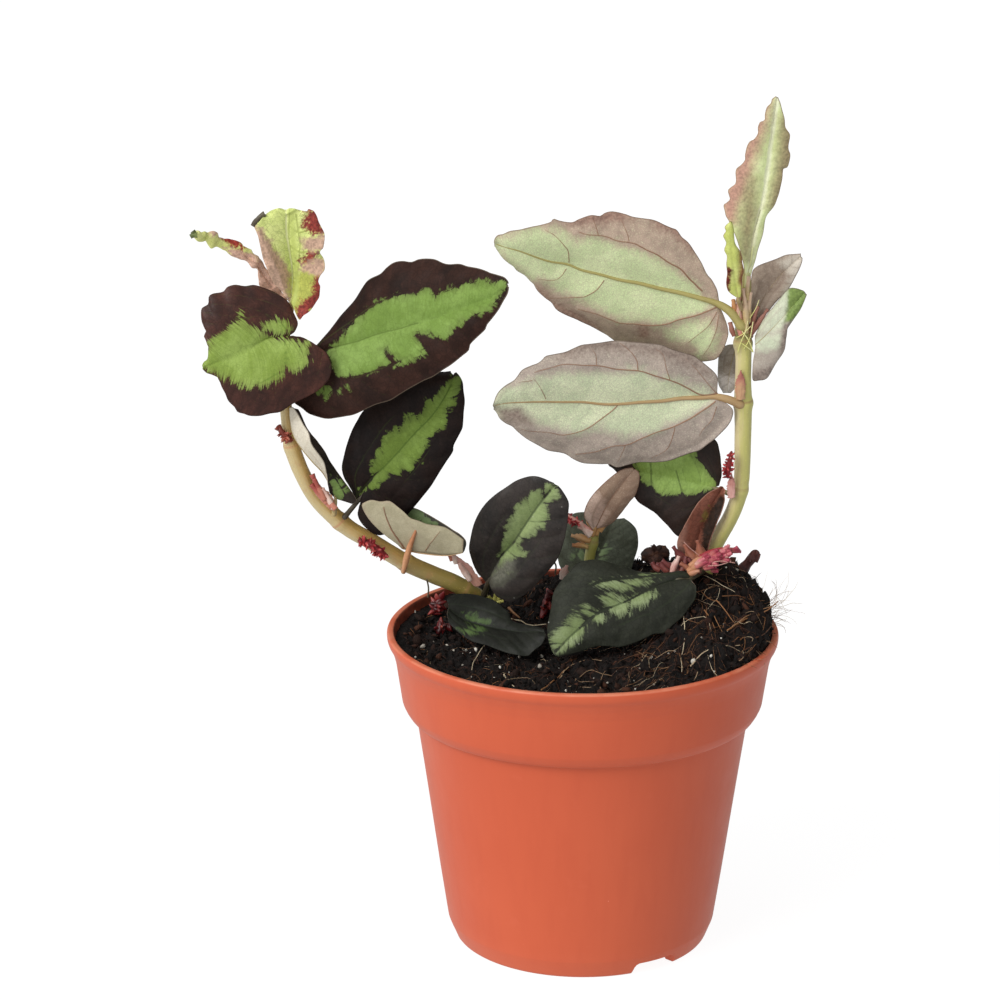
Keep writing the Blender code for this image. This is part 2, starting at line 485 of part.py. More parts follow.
# ------------------------------------------------------------------ build
def build():
    for ob in list(bpy.data.objects):
        bpy.data.objects.remove(ob, do_unlink=True)

    terracotta = material("terracotta_plastic", (0.56, 0.125, 0.07), 0.48)
    earth = material("potting_soil", (0.016, 0.009, 0.007), 0.95)
    stem = material("stem_skin", (0.42, 0.34, 0.11), 0.42)
    woody = material("old_stem_skin", (0.10, 0.02, 0.014), 0.7)
    upper = material("leaf_upper", (0.045, 0.030, 0.024), 0.5, 0.2)
    under = material("leaf_underside", (0.42, 0.36, 0.27), 0.6, 0.2)
    young = material("leaf_young", (0.45, 0.50, 0.18), 0.5, 0.2)
    bud = material("flower_bud", (0.42, 0.03, 0.03), 0.5)
    scale = material("stipule", (0.55, 0.25, 0.18), 0.6)
    brown = material("dry_leaf", (0.06, 0.02, 0.013), 0.75)

    # ---- pot
    outer = [(0.0, 0.0), (PAD_R, 0.0), (PAD_R, FLOOR_LOW), (FOOT_IN_R - 0.6, FLOOR_LOW), (FOOT_IN_R, 0.0),
             (FOOT_R - 0.6, 0.0), (FOOT_R, 0.7), (41.5, 6.0), (46.3, 39.0), (51.2, 72.6), (52.0, BAND_Z - 0.6),
             (53.9, BAND_Z), (54.8, 75.5), (55.4, 77.0), (56.3, 83.0), (57.5, 90.8), (58.8, 94.8), (RIM_R - 0.1, 97.2),
             (RIM_R, 98.3), (RIM_R - 0.5, POT_HEIGHT)]
    inner = [(RIM_INNER_R, POT_HEIGHT), (57.4, 96.5), (55.6, 90.0), (53.6, 76.5), (49.2, 70.5), (39.9, FLOOR_TOP + 0.0), (0.0, FLOOR_TOP)]
    pot = turned("pot", outer + inner, POT_SIDES, terracotta)
    for i in range(DRAIN_COUNT):
        a = math.radians(60.0 * i + 17.3)
        cx, cy = DRAIN_RING_R * math.cos(a), DRAIN_RING_R * math.sin(a)
        ring = [(cx + DRAIN_R * math.cos(k * math.pi / 6 + 0.13), cy + DRAIN_R * math.sin(k * math.pi / 6 + 0.13)) for k in range(12)]
        verts = [(x, y, z) for z in (FLOOR_LOW - 1.0, FLOOR_TOP + 1.0) for x, y in ring]
        faces = [tuple(range(12))[::-1], tuple(range(12, 24))] + [(k, (k + 1) % 12, 12 + (k + 1) % 12, 12 + k) for k in range(12)]
        cut(pot, hidden(solid(f"cutter_drain_{i}", verts, faces, terracotta)))
    for i, ang in enumerate(NOTCH_ANGLES):
        verts, steps = [], 6
        for r in (FOOT_IN_R - 2.5, FOOT_R + 4.0):
            for z in (-1.0, NOTCH_TOP):
                half = NOTCH_HALF if z < 0 else NOTCH_HALF - 2.5
                for k in range(steps + 1):
                    b = math.radians(ang - half + 2 * half * k / steps)
                    verts.append((r * math.sin(b), -r * math.cos(b), z))
        m = steps + 1
        faces = []
        for k in range(steps):
            faces += [(k, k + 1, m + k + 1, m + k), (2 * m + k, 3 * m + k, 3 * m + k + 1, 2 * m + k + 1),
                      (k, 2 * m + k, 2 * m + k + 1, k + 1), (m + k, m + k + 1, 3 * m + k + 1, 3 * m + k)]
        faces += [(0, m, 3 * m, 2 * m), (steps, 2 * m + steps, 3 * m + steps, m + steps)]
        cut(pot, hidden(solid(f"cutter_notch_{i}", verts, faces, terracotta)))

    # ---- stems
    for name, line in STEMS.items():
        tube(name, line, woody if name == "stem_stub" else stem, sides=6 if name == "stem_stub" else STEM_SIDES)

    # ---- soil: a plug that fills the pot, heaped to the right and back
    sides, rings = POT_SIDES, (0.2, 0.38, 0.55, 0.7, 0.83, 0.93, 1.0)
    verts, faces = [(0.0, 0.0, soil_level(0.0, 0.0))], []
    for q in rings:
        for k in range(sides):
            a = 2 * math.pi * k / sides
            edge = pot_inner(90.0) - GAP
            edge = pot_inner(soil_level(edge * math.cos(a), edge * math.sin(a))) - GAP - 0.2
            r = q * edge
            x, y = r * math.cos(a), r * math.sin(a)
            verts.append((x, y, soil_level(x, y)))
    levels = (90.0, 76.5, 70.5, FLOOR_TOP + GAP)
    for z in levels:
        for k in range(sides):
            a = 2 * math.pi * k / sides
            r = pot_inner(z) - GAP - 0.1
            verts.append((r * math.cos(a), r * math.sin(a), z))
    verts.append((0.0, 0.0, FLOOR_TOP + GAP))
    total = len(rings) + len(levels)
    for k in range(sides):
        m = (k + 1) % sides
        faces.append((0, 1 + k, 1 + m))
        for i in range(total - 1):
            a = 1 + i * sides
            faces.append((a + k, a + sides + k, a + sides + m, a + m))
        faces.append((len(verts) - 1, 1 + (total - 1) * sides + m, 1 + (total - 1) * sides + k))
    soil = solid("soil", verts, faces, earth, flat=60.0)
    for name, line in STEMS.items():
        cut(soil, hidden(tube("cutter_" + name, line, earth, sides=6 if name == "stem_stub" else STEM_SIDES, grow=GAP)))

    # ---- leaves, scales and buds
    seen_from_below = ("leaf_right_upper", "leaf_right_lower", "leaf_tip_mauve", "leaf_tip_pale", "leaf_behind_stem", "leaf_left_pale")
    fresh = ("leaf_top", "leaf_top_bud", "leaf_left_upright", "leaf_left_curled", "leaf_young_pink")
    for name, spec in LEAVES.items():
        mat = under if name in seen_from_below else young if name in fresh else brown if name == "leaf_folded_red" else upper
        leaf(name, spec, mat)
    for name, spec in SCALES.items():
        leaf(name, dict(spec, bulge=(0.2, 0.2)), scale, rows=4, cols=1, thick=0.6)
    for name, line in BUDS.items():
        lump(name, line, brown if name == "dry_leaf_ball" else scale if name == "bract_right_base" else bud)


build()
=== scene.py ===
import math

import bmesh
import bpy
import numpy as np
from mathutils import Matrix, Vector


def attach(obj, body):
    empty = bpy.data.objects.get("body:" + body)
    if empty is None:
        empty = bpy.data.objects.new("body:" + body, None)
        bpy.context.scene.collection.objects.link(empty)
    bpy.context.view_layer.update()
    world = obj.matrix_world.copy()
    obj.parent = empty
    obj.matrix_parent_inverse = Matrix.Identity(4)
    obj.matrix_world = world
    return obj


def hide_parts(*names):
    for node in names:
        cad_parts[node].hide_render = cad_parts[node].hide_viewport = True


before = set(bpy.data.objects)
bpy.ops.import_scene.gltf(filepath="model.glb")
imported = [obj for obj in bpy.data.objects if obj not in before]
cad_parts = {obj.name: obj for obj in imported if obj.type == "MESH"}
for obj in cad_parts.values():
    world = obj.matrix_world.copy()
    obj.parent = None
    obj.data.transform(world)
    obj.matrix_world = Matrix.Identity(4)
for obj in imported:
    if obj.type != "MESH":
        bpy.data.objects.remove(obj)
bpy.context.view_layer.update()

MM = 0.001

# ------------------------------------------------------------------ the eye point of the front elevation
FOCAL, TILT, FAR = 3799.0, 0.298, 1152.6
AIM = (-25.31, 0.0, 140.17)
CT, ST = math.cos(TILT), math.sin(TILT)
EYE = np.array((AIM[0], AIM[1] - CT * FAR, AIM[2] + ST * FAR))

# ------------------------------------------------------------------ sizes shared with the solids, mm
POT_HEIGHT, RIM_R, RIM_INNER_R = 99.0, 60.0, 57.8
FOOT_R, FOOT_IN_R, PAD_R = 39.4, 35.6, 8.0
FLOOR_LOW, FLOOR_TOP = 4.0, 5.5
DRAIN_R, DRAIN_RING_R = 3.6, 25.0
NOTCH_ANGLES, NOTCH_HALF, NOTCH_TOP = (34.0, 154.0, 274.0), 12.0, 3.7
SOIL_BASE = 92.5
SOIL_HEAPS = ((42.0, 12.0, 20.5, 22.0, 22.0, 48.0, 30.0), (10.0, 34.0, 14.0, 26.0, 26.0, 16.0, 18.0))


def at(px, py, y):
    px, py, y = np.broadcast_arrays(np.asarray(px, float), np.asarray(py, float), np.asarray(y, float))
    a, b = (px - 500.0) / FOCAL, (500.0 - py) / FOCAL
    ry = CT + b * ST
    k = (y - EYE[1]) / ry
    return np.stack([EYE[0] + k * a, y, EYE[2] + k * (b * CT - ST)], axis=-1)


def seen(p):
    """Where points appear on the front elevation."""
    q = np.asarray(p, float) - EYE
    deep = q[..., 1] * CT - q[..., 2] * ST
    up = q[..., 1] * ST + q[..., 2] * CT
    return np.stack([500.0 + FOCAL * q[..., 0] / deep, 500.0 - FOCAL * up / deep], axis=-1)


def pot_inner(z):
    return np.interp(z, [FLOOR_TOP, 70.5, 76.5, 90.0, 96.5, POT_HEIGHT], [39.9, 49.2, 53.6, 55.6, 57.4, RIM_INNER_R])


def soil_level(x, y):
    x, y = np.asarray(x, float), np.asarray(y, float)
    z = np.full(np.broadcast(x, y).shape, SOIL_BASE)
    for cx, cy, high, left, right, front, back in SOIL_HEAPS:
        sx, sy = np.where(x < cx, left, right), np.where(y < cy, front, back)
        z = z + high * np.exp(-((x - cx) / sx) ** 2 - ((y - cy) / sy) ** 2)
    return z


# ------------------------------------------------------------------ curves and fields
def smooth(points, count, fine=12):
    """count points, evenly spaced by what is seen, along a smooth curve through the points."""
    p = np.array(points, float)
    if len(p) == 2:
        return p[0] + (p[1] - p[0]) * np.linspace(0, 1, count)[:, None]
    ext = np.vstack([2 * p[0] - p[1], p, 2 * p[-1] - p[-2]])
    u = np.linspace(0, 1, fine, endpoint=False)[:, None]
    out = []
    for i in range(1, len(ext) - 2):
        a, b, c, d = ext[i - 1], ext[i], ext[i + 1], ext[i + 2]
        out.append(0.5 * (2 * b + (c - a) * u + (2 * a - 5 * b + 4 * c - d) * u * u + (3 * b - a - 3 * c + d) * u ** 3))
    out = np.vstack(out + [ext[-2:-1]])
    run = np.concatenate([[0.0], np.cumsum(np.linalg.norm(np.diff(out[:, :2], axis=0), axis=1))])
    want = np.linspace(0, run[-1], count)
    return np.stack([np.interp(want, run, out[:, k]) for k in range(p.shape[1])], axis=1)


def ramp(values, t):
    v = np.array(values, float)
    if len(v) == 1:
        return np.full_like(t, v[0])
    x = np.clip(t, 0, 1) * (len(v) - 1)
    i = np.minimum(x.astype(int), len(v) - 2)
    u = x - i
    a, b, c, d = v[np.maximum(i - 1, 0)], v[i], v[i + 1], v[np.minimum(i + 2, len(v) - 1)]
    return 0.5 * (2 * b + (c - a) * u + (2 * a - 5 * b + 4 * c - d) * u * u + (3 * b - a - 3 * c + d) * u ** 3)


def unit(v):
    return v / np.maximum(np.linalg.norm(v, axis=-1, keepdims=True), 1e-9)


def ease(x, lo, hi):
    u = np.clip((x - lo) / (hi - lo), 0, 1)
    return u * u * (3 - 2 * u)


def gap_to_line(p, line):
    """Least distance from 2-D points to an open line."""
    line = np.array(line, float)
    best = np.full(len(p), 1e9)
    for a, b in zip(line[:-1], line[1:]):
        d = b - a
        k = np.clip(((p - a) @ d) / max(float(d @ d), 1e-9), 0, 1)
        best = np.minimum(best, np.linalg.norm(p - a - k[:, None] * d, axis=1))
    return best


def inside(p, poly):
    poly = np.array(poly, float)
    a, b = poly, np.roll(poly, -1, axis=0)
    odd = np.zeros(len(p), bool)
    for (x0, y0), (x1, y1) in zip(a, b):
        if y0 == y1:
            continue
        hit = ((y0 > p[:, 1]) != (y1 > p[:, 1])) & (p[:, 0] < (x1 - x0) * (p[:, 1] - y0) / (y1 - y0) + x0)
        odd ^= hit
    return odd


def field(p, polys):
    """How deep each 2-D point lies inside the nearest of the outlines, in mm; negative outside."""
    best = np.full(len(p), -60.0)
    for poly in polys:
        gap = gap_to_line(p, list(poly) + [poly[0]]) / 3.3
        best = np.maximum(best, np.where(inside(p, poly), gap, -gap))
    return best


def lattice(ix, iy, iz, seed):
    h = (ix.astype(np.int64) * 374761393 + iy.astype(np.int64) * 668265263 + iz.astype(np.int64) * 2147483647 + seed * 1274126177) & 0xFFFFFFFF
    h = ((h ^ (h >> 13)) * 1274126177) & 0xFFFFFFFF
    h = ((h ^ (h >> 16)) * 2246822519) & 0xFFFFFFFF
    return ((h ^ (h >> 15)) & 0xFFFFFF) / float(0xFFFFFF) * 2 - 1


def noise(p, size, seed=0, octaves=1, fall=0.5):
    """Smooth value noise, -1 to 1, of points of 2 or 3 numbers."""
    p = np.asarray(p, float)
    if p.shape[-1] == 2:
        p = np.concatenate([p, np.zeros(p.shape[:-1] + (1,))], axis=-1)
    total, amp, norm = 0.0, 1.0, 0.0
    for o in range(octaves):
        q = p / size * 2 ** o + 17.3 * o
        i = np.floor(q).astype(np.int64)
        f = q - i
        f = f * f * (3 - 2 * f)
        acc = 0.0
        for dx in (0, 1):
            for dy in (0, 1):
                for dz in (0, 1):
                    w = (f[..., 0] if dx else 1 - f[..., 0]) * (f[..., 1] if dy else 1 - f[..., 1]) * (f[..., 2] if dz else 1 - f[..., 2])
                    acc = acc + w * lattice(i[..., 0] + dx, i[..., 1] + dy, i[..., 2] + dz, seed + o * 31)
        total = total + amp * acc
        norm += amp
        amp *= fall
    return total / norm


# ------------------------------------------------------------------ meshes
class Shells:
    """Gathers surfaces, each with its own values per point, into one mesh."""

    def __init__(self):
        self.verts, self.faces, self.mats, self.values, self.count = [], [], [], [], 0

    def add(self, verts, faces, mat=0, **values):
        verts = np.asarray(verts, float).reshape(-1, 3)
        for f in faces:
            f = np.asarray(f, np.int64)
            if len(f):
                self.faces.append(f + self.count)
                self.mats.append(np.full(len(f), mat))
        self.verts.append(verts)
        self.values.append((len(verts), values))
        self.count += len(verts)

    def make(self, name, mats, replaces=(), extra=()):
        verts = np.vstack(self.verts) * MM
        me = bpy.data.meshes.new(name)
        me.vertices.add(len(verts))
        me.vertices.foreach_set("co", verts.astype(np.float32).ravel())
        sizes = np.concatenate([np.full(len(f), f.shape[1]) for f in self.faces])
        loops = np.concatenate([f.ravel() for f in self.faces])
        me.loops.add(len(loops))
        me.loops.foreach_set("vertex_index", loops.astype(np.int32))
        me.polygons.add(len(sizes))
        me.polygons.foreach_set("loop_start", np.concatenate([[0], np.cumsum(sizes)[:-1]]).astype(np.int32))
        me.polygons.foreach_set("material_index", np.concatenate(self.mats).astype(np.int32))
        me.update(calc_edges=True)
        keys = sorted({k for _, v in self.values for k in v})
        for k in keys:
            parts = []
            for n, v in self.values:
                x = np.asarray(v.get(k, 0.0), float)
                parts.append(np.broadcast_to(x.reshape(-1, 3) if k == "lay" and x.ndim else (np.zeros((n, 3)) if k == "lay" else x.reshape(-1)), (n, 3) if k == "lay" else (n,)))
            data = np.concatenate(parts).astype(np.float32)
            if k == "lay":
                me.attributes.new(k, "FLOAT_VECTOR", "POINT").data.foreach_set("vector", data.ravel())
            else:
                me.attributes.new(k, "FLOAT", "POINT").data.foreach_set("value", data)
        me.validate()
        me.shade_smooth()
        for m in mats:
            me.materials.append(m)
        ob = bpy.data.objects.new(name, me)
        bpy.context.scene.collection.objects.link(ob)
        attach(ob, "root")
        if replaces:
            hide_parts(*replaces)
        return ob


def sheet_faces(rows, cols, start=0, flip=False, wrap=False):
    i, j = np.meshgrid(np.arange(rows - 1), np.arange(cols if wrap else cols - 1), indexing="ij")
    a = start + i * cols + j
    b = start + i * cols + (j + 1) % cols
    quad = np.stack([a, b, b + cols, a + cols], axis=-1).reshape(-1, 4)
    return quad[:, ::-1] if flip else quad


def frames(centre):
    """Unturned side and up directions along a line."""
    t = unit(np.gradient(centre, axis=0))
    side = np.cross(t[0], (0.0, 1.0, 0.0))
    if np.linalg.norm(side) < 0.1:
        side = np.cross(t[0], (1.0, 0.0, 0.0))
    side = side / np.linalg.norm(side)
    sides = []
    for d in t:
        side = side - d * np.dot(side, d)
        side = side / max(np.linalg.norm(side), 1e-9)
        sides.append(side)
    sides = np.array(sides)
    return t, sides, np.cross(t, sides)


def tube(shells, centre, radius, sides=12, mat=0, squash=1.0, light=None, wave=None, **values):
    """A tube with rounded closed ends along points in mm."""
    centre = np.asarray(centre, float)
    n = len(centre)
    radius = np.broadcast_to(np.asarray(radius, float), (n,)).copy()
    t, s, u = frames(centre)
    # rounded ends: two shrinking rings beyond each end
    head = [centre[0] - t[0] * radius[0] * k for k in (0.8, 0.45)]
    tail = [centre[-1] + t[-1] * radius[-1] * k for k in (0.45, 0.8)]
    centre = np.vstack([head, centre, tail])
    t, s, u = (np.vstack([x[:1], x[:1], x, x[-1:], x[-1:]]) for x in (t, s, u))
    radius = np.concatenate([[radius[0] * 0.45, radius[0] * 0.85], radius, [radius[-1] * 0.85, radius[-1] * 0.45]])
    n += 4
    ang = 2 * math.pi * np.arange(sides) / sides
    out = s[:, None, :] * np.cos(ang)[None, :, None] + u[:, None, :] * np.sin(ang)[None, :, None] * squash
    r = radius[:, None] * np.ones(sides)
    if wave is not None:
        r = r * (1 + wave(np.arange(n)[:, None] / n, ang[None, :]))
    verts = centre[:, None, :] + out * r[..., None]
    run = np.concatenate([[0.0], np.cumsum(np.linalg.norm(np.diff(centre, axis=0), axis=1))])
    faces = sheet_faces(n, sides, wrap=True)
    m = n * sides
    verts = np.vstack([verts.reshape(-1, 3), centre[0] - t[0] * radius[0] * 0.3, centre[-1] + t[-1] * radius[-1] * 0.3])
    k = np.arange(sides)
    ends = [np.stack([np.full(sides, m), (k + 1) % sides, k], axis=-1),
            np.stack([np.full(sides, m + 1), (n - 1) * sides + k, (n - 1) * sides + (k + 1) % sides], axis=-1)]
    along = np.concatenate([np.repeat(run, sides), [run[0], run[-1]]])
    turn = np.concatenate([np.tile(ang, n), [0, 0]])
    lay = np.stack([along, turn * float(np.mean(radius)), np.zeros_like(along)], axis=-1)
    extra = dict(values)
    # lit: how far each point faces the given light direction, turned into painted light and shade by the skins
    if light is not None:
        extra["lit"] = np.concatenate([(unit(out).reshape(-1, 3) @ np.array(light, float)), [0, 0]])
    for key, v in list(extra.items()):
        v = np.asarray(v, float)
        if v.ndim == 1 and len(v) == n - 4:
            v = np.concatenate([[v[0]] * 2, v, [v[-1]] * 2])
            extra[key] = np.concatenate([np.repeat(v, sides), [v[0], v[-1]]])
    shells.add(verts, [faces] + ends, mat, lay=lay, along=along, **extra)


def ico(level):
    bm = bmesh.new()
    bmesh.ops.create_icosphere(bm, subdivisions=level, radius=1.0)
    bm.verts.ensure_lookup_table()
    v = np.array([x.co[:] for x in bm.verts])
    f = np.array([[x.index for x in face.verts] for face in bm.faces])
    bm.free()
    return v, f


ICO = {k: ico(k) for k in (1, 2, 3)}


def turning(rng, n):
    """Random rotation matrices."""
    q = rng.normal(size=(n, 4))
    q /= np.linalg.norm(q, axis=1, keepdims=True)
    w, x, y, z = q.T
    return np.stack([np.stack([1 - 2 * (y * y + z * z), 2 * (x * y - z * w), 2 * (x * z + y * w)], -1),
                     np.stack([2 * (x * y + z * w), 1 - 2 * (x * x + z * z), 2 * (y * z - x * w)], -1),
                     np.stack([2 * (x * z - y * w), 2 * (y * z + x * w), 1 - 2 * (x * x + y * y)], -1)], axis=1)


def crumbs(shells, places, sizes, rng, level=1, rough=0.35, mat=0, tint=None, kinds=8, stretch=(0.7, 1.35)):
    """Many small uneven lumps."""
    v, f = ICO[level]
    kind = []
    for k in range(kinds):
        bump = 1 + rough * noise(v * 1.0, 0.9, seed=100 + k, octaves=2)
        kind.append(v * bump[:, None])
    kind = np.array(kind)
    n = len(places)
    pick = rng.integers(0, kinds, n)
    rot = turning(rng, n)
    flat = rng.uniform(stretch[0], stretch[1], (n, 3))
    pts = kind[pick] * flat[:, None, :] * np.asarray(sizes)[:, None, None]
    pts = np.einsum("nij,nkj->nki", rot, pts) + np.asarray(places)[:, None, :]
    faces = (f[None] + (np.arange(n) * len(v))[:, None, None]).reshape(-1, 3)
    if tint is None:
        tint = rng.uniform(0, 1, n)
    shells.add(pts.reshape(-1, 3), [faces], mat, tint=np.repeat(tint, len(v)))


# ------------------------------------------------------------------ materials
def rgb(r, g, b):
    def lin(c):
        c /= 255.0
        return c / 12.92 if c <= 0.04045 else ((c + 0.055) / 1.055) ** 2.4
    return (lin(r), lin(g), lin(b), 1.0)


class Shader:
    def __init__(self, name, rough=0.5, **fixed):
        self.m = bpy.data.materials.new(name)
        self.m.use_nodes = True
        self.t = self.m.node_tree
        self.p = self.t.nodes["Principled BSDF"]
        self.p.inputs["Roughness"].default_value = rough
        for k, v in fixed.items():
            self.p.inputs[k.replace("_", " ")].default_value = v
        self.place = self.node("ShaderNodeTexCoord").outputs["Object"]

    def node(self, kind, **props):
        n = self.t.nodes.new(kind)
        for k, v in props.items():
            setattr(n, k, v)
        return n

    def put(self, socket, value):
        if isinstance(value, bpy.types.NodeSocket):
            self.t.links.new(value, socket)
        elif value is not None:
            socket.default_value = value

    def attr(self, name, out="Fac"):
        n = self.node("ShaderNodeAttribute", attribute_type="GEOMETRY", attribute_name=name)
        return n.outputs[out]

    def scaled(self, vec, xyz):
        n = self.node("ShaderNodeVectorMath", operation="MULTIPLY")
        self.put(n.inputs[0], vec)
        n.inputs[1].default_value = xyz
        return n.outputs[0]

    def noise(self, size, detail=3.0, rough=0.55, vec=None, warp=0.0):
        """size is in mm."""
        n = self.node("ShaderNodeTexNoise")
        self.put(n.inputs["Vector"], self.place if vec is None else vec)
        n.inputs["Scale"].default_value = (1000.0 if vec is None else 1.0) / size
        n.inputs["Detail"].default_value = detail
        n.inputs["Roughness"].default_value = rough
        n.inputs["Distortion"].default_value = warp
        return n.outputs["Fac"]

    def cells(self, size, vec=None, feature="F1", out="Distance", jitter=1.0):
        n = self.node("ShaderNodeTexVoronoi", feature=feature)
        self.put(n.inputs["Vector"], self.place if vec is None else vec)
        n.inputs["Scale"].default_value = (1000.0 if vec is None else 1.0) / size
        n.inputs["Randomness"].default_value = jitter
        return n.outputs[out]

    def math(self, op, a, b=0.0, c=None, clamp=False):
        n = self.node("ShaderNodeMath", operation=op, use_clamp=clamp)
        self.put(n.inputs[0], a)
        self.put(n.inputs[1], b)
        if c is not None:
            self.put(n.inputs[2], c)
        return n.outputs[0]

    def step(self, x, lo, hi, a=0.0, b=1.0):
        n = self.node("ShaderNodeMapRange", interpolation_type="SMOOTHSTEP")
        self.put(n.inputs["Value"], x)
        n.inputs["From Min"].default_value = lo
        n.inputs["From Max"].default_value = hi
        n.inputs["To Min"].default_value = a
        n.inputs["To Max"].default_value = b
        return n.outputs["Result"]

    def mix(self, fac, a, b, mode="MIX"):
        n = self.node("ShaderNodeMix", data_type="RGBA", blend_type=mode)
        self.put(n.inputs["Factor"], fac)
        self.put(n.inputs["A"] if False else n.inputs[6], a)
        self.put(n.inputs[7], b)
        return n.outputs[2]

    def sway(self, x, amount, centre=0.5):
        """(x - centre) * amount."""
        return self.math("MULTIPLY_ADD", x, amount, -centre * amount)

    def bump(self, height, distance, strength=1.0):
        """distance is in mm."""
        n = self.node("ShaderNodeBump")
        n.inputs["Strength"].default_value = strength
        n.inputs["Distance"].default_value = distance * MM
        self.put(n.inputs["Height"], height)
        if self.p.inputs["Normal"].is_linked:
            self.t.links.new(self.p.inputs["Normal"].links[0].from_socket, n.inputs["Normal"])
        self.put(self.p.inputs["Normal"], n.outputs["Normal"])

    def colour(self, value):
        self.put(self.p.inputs["Base Color"], value)
        return self

    def rough(self, value):
        self.put(self.p.inputs["Roughness"], value)
        return self


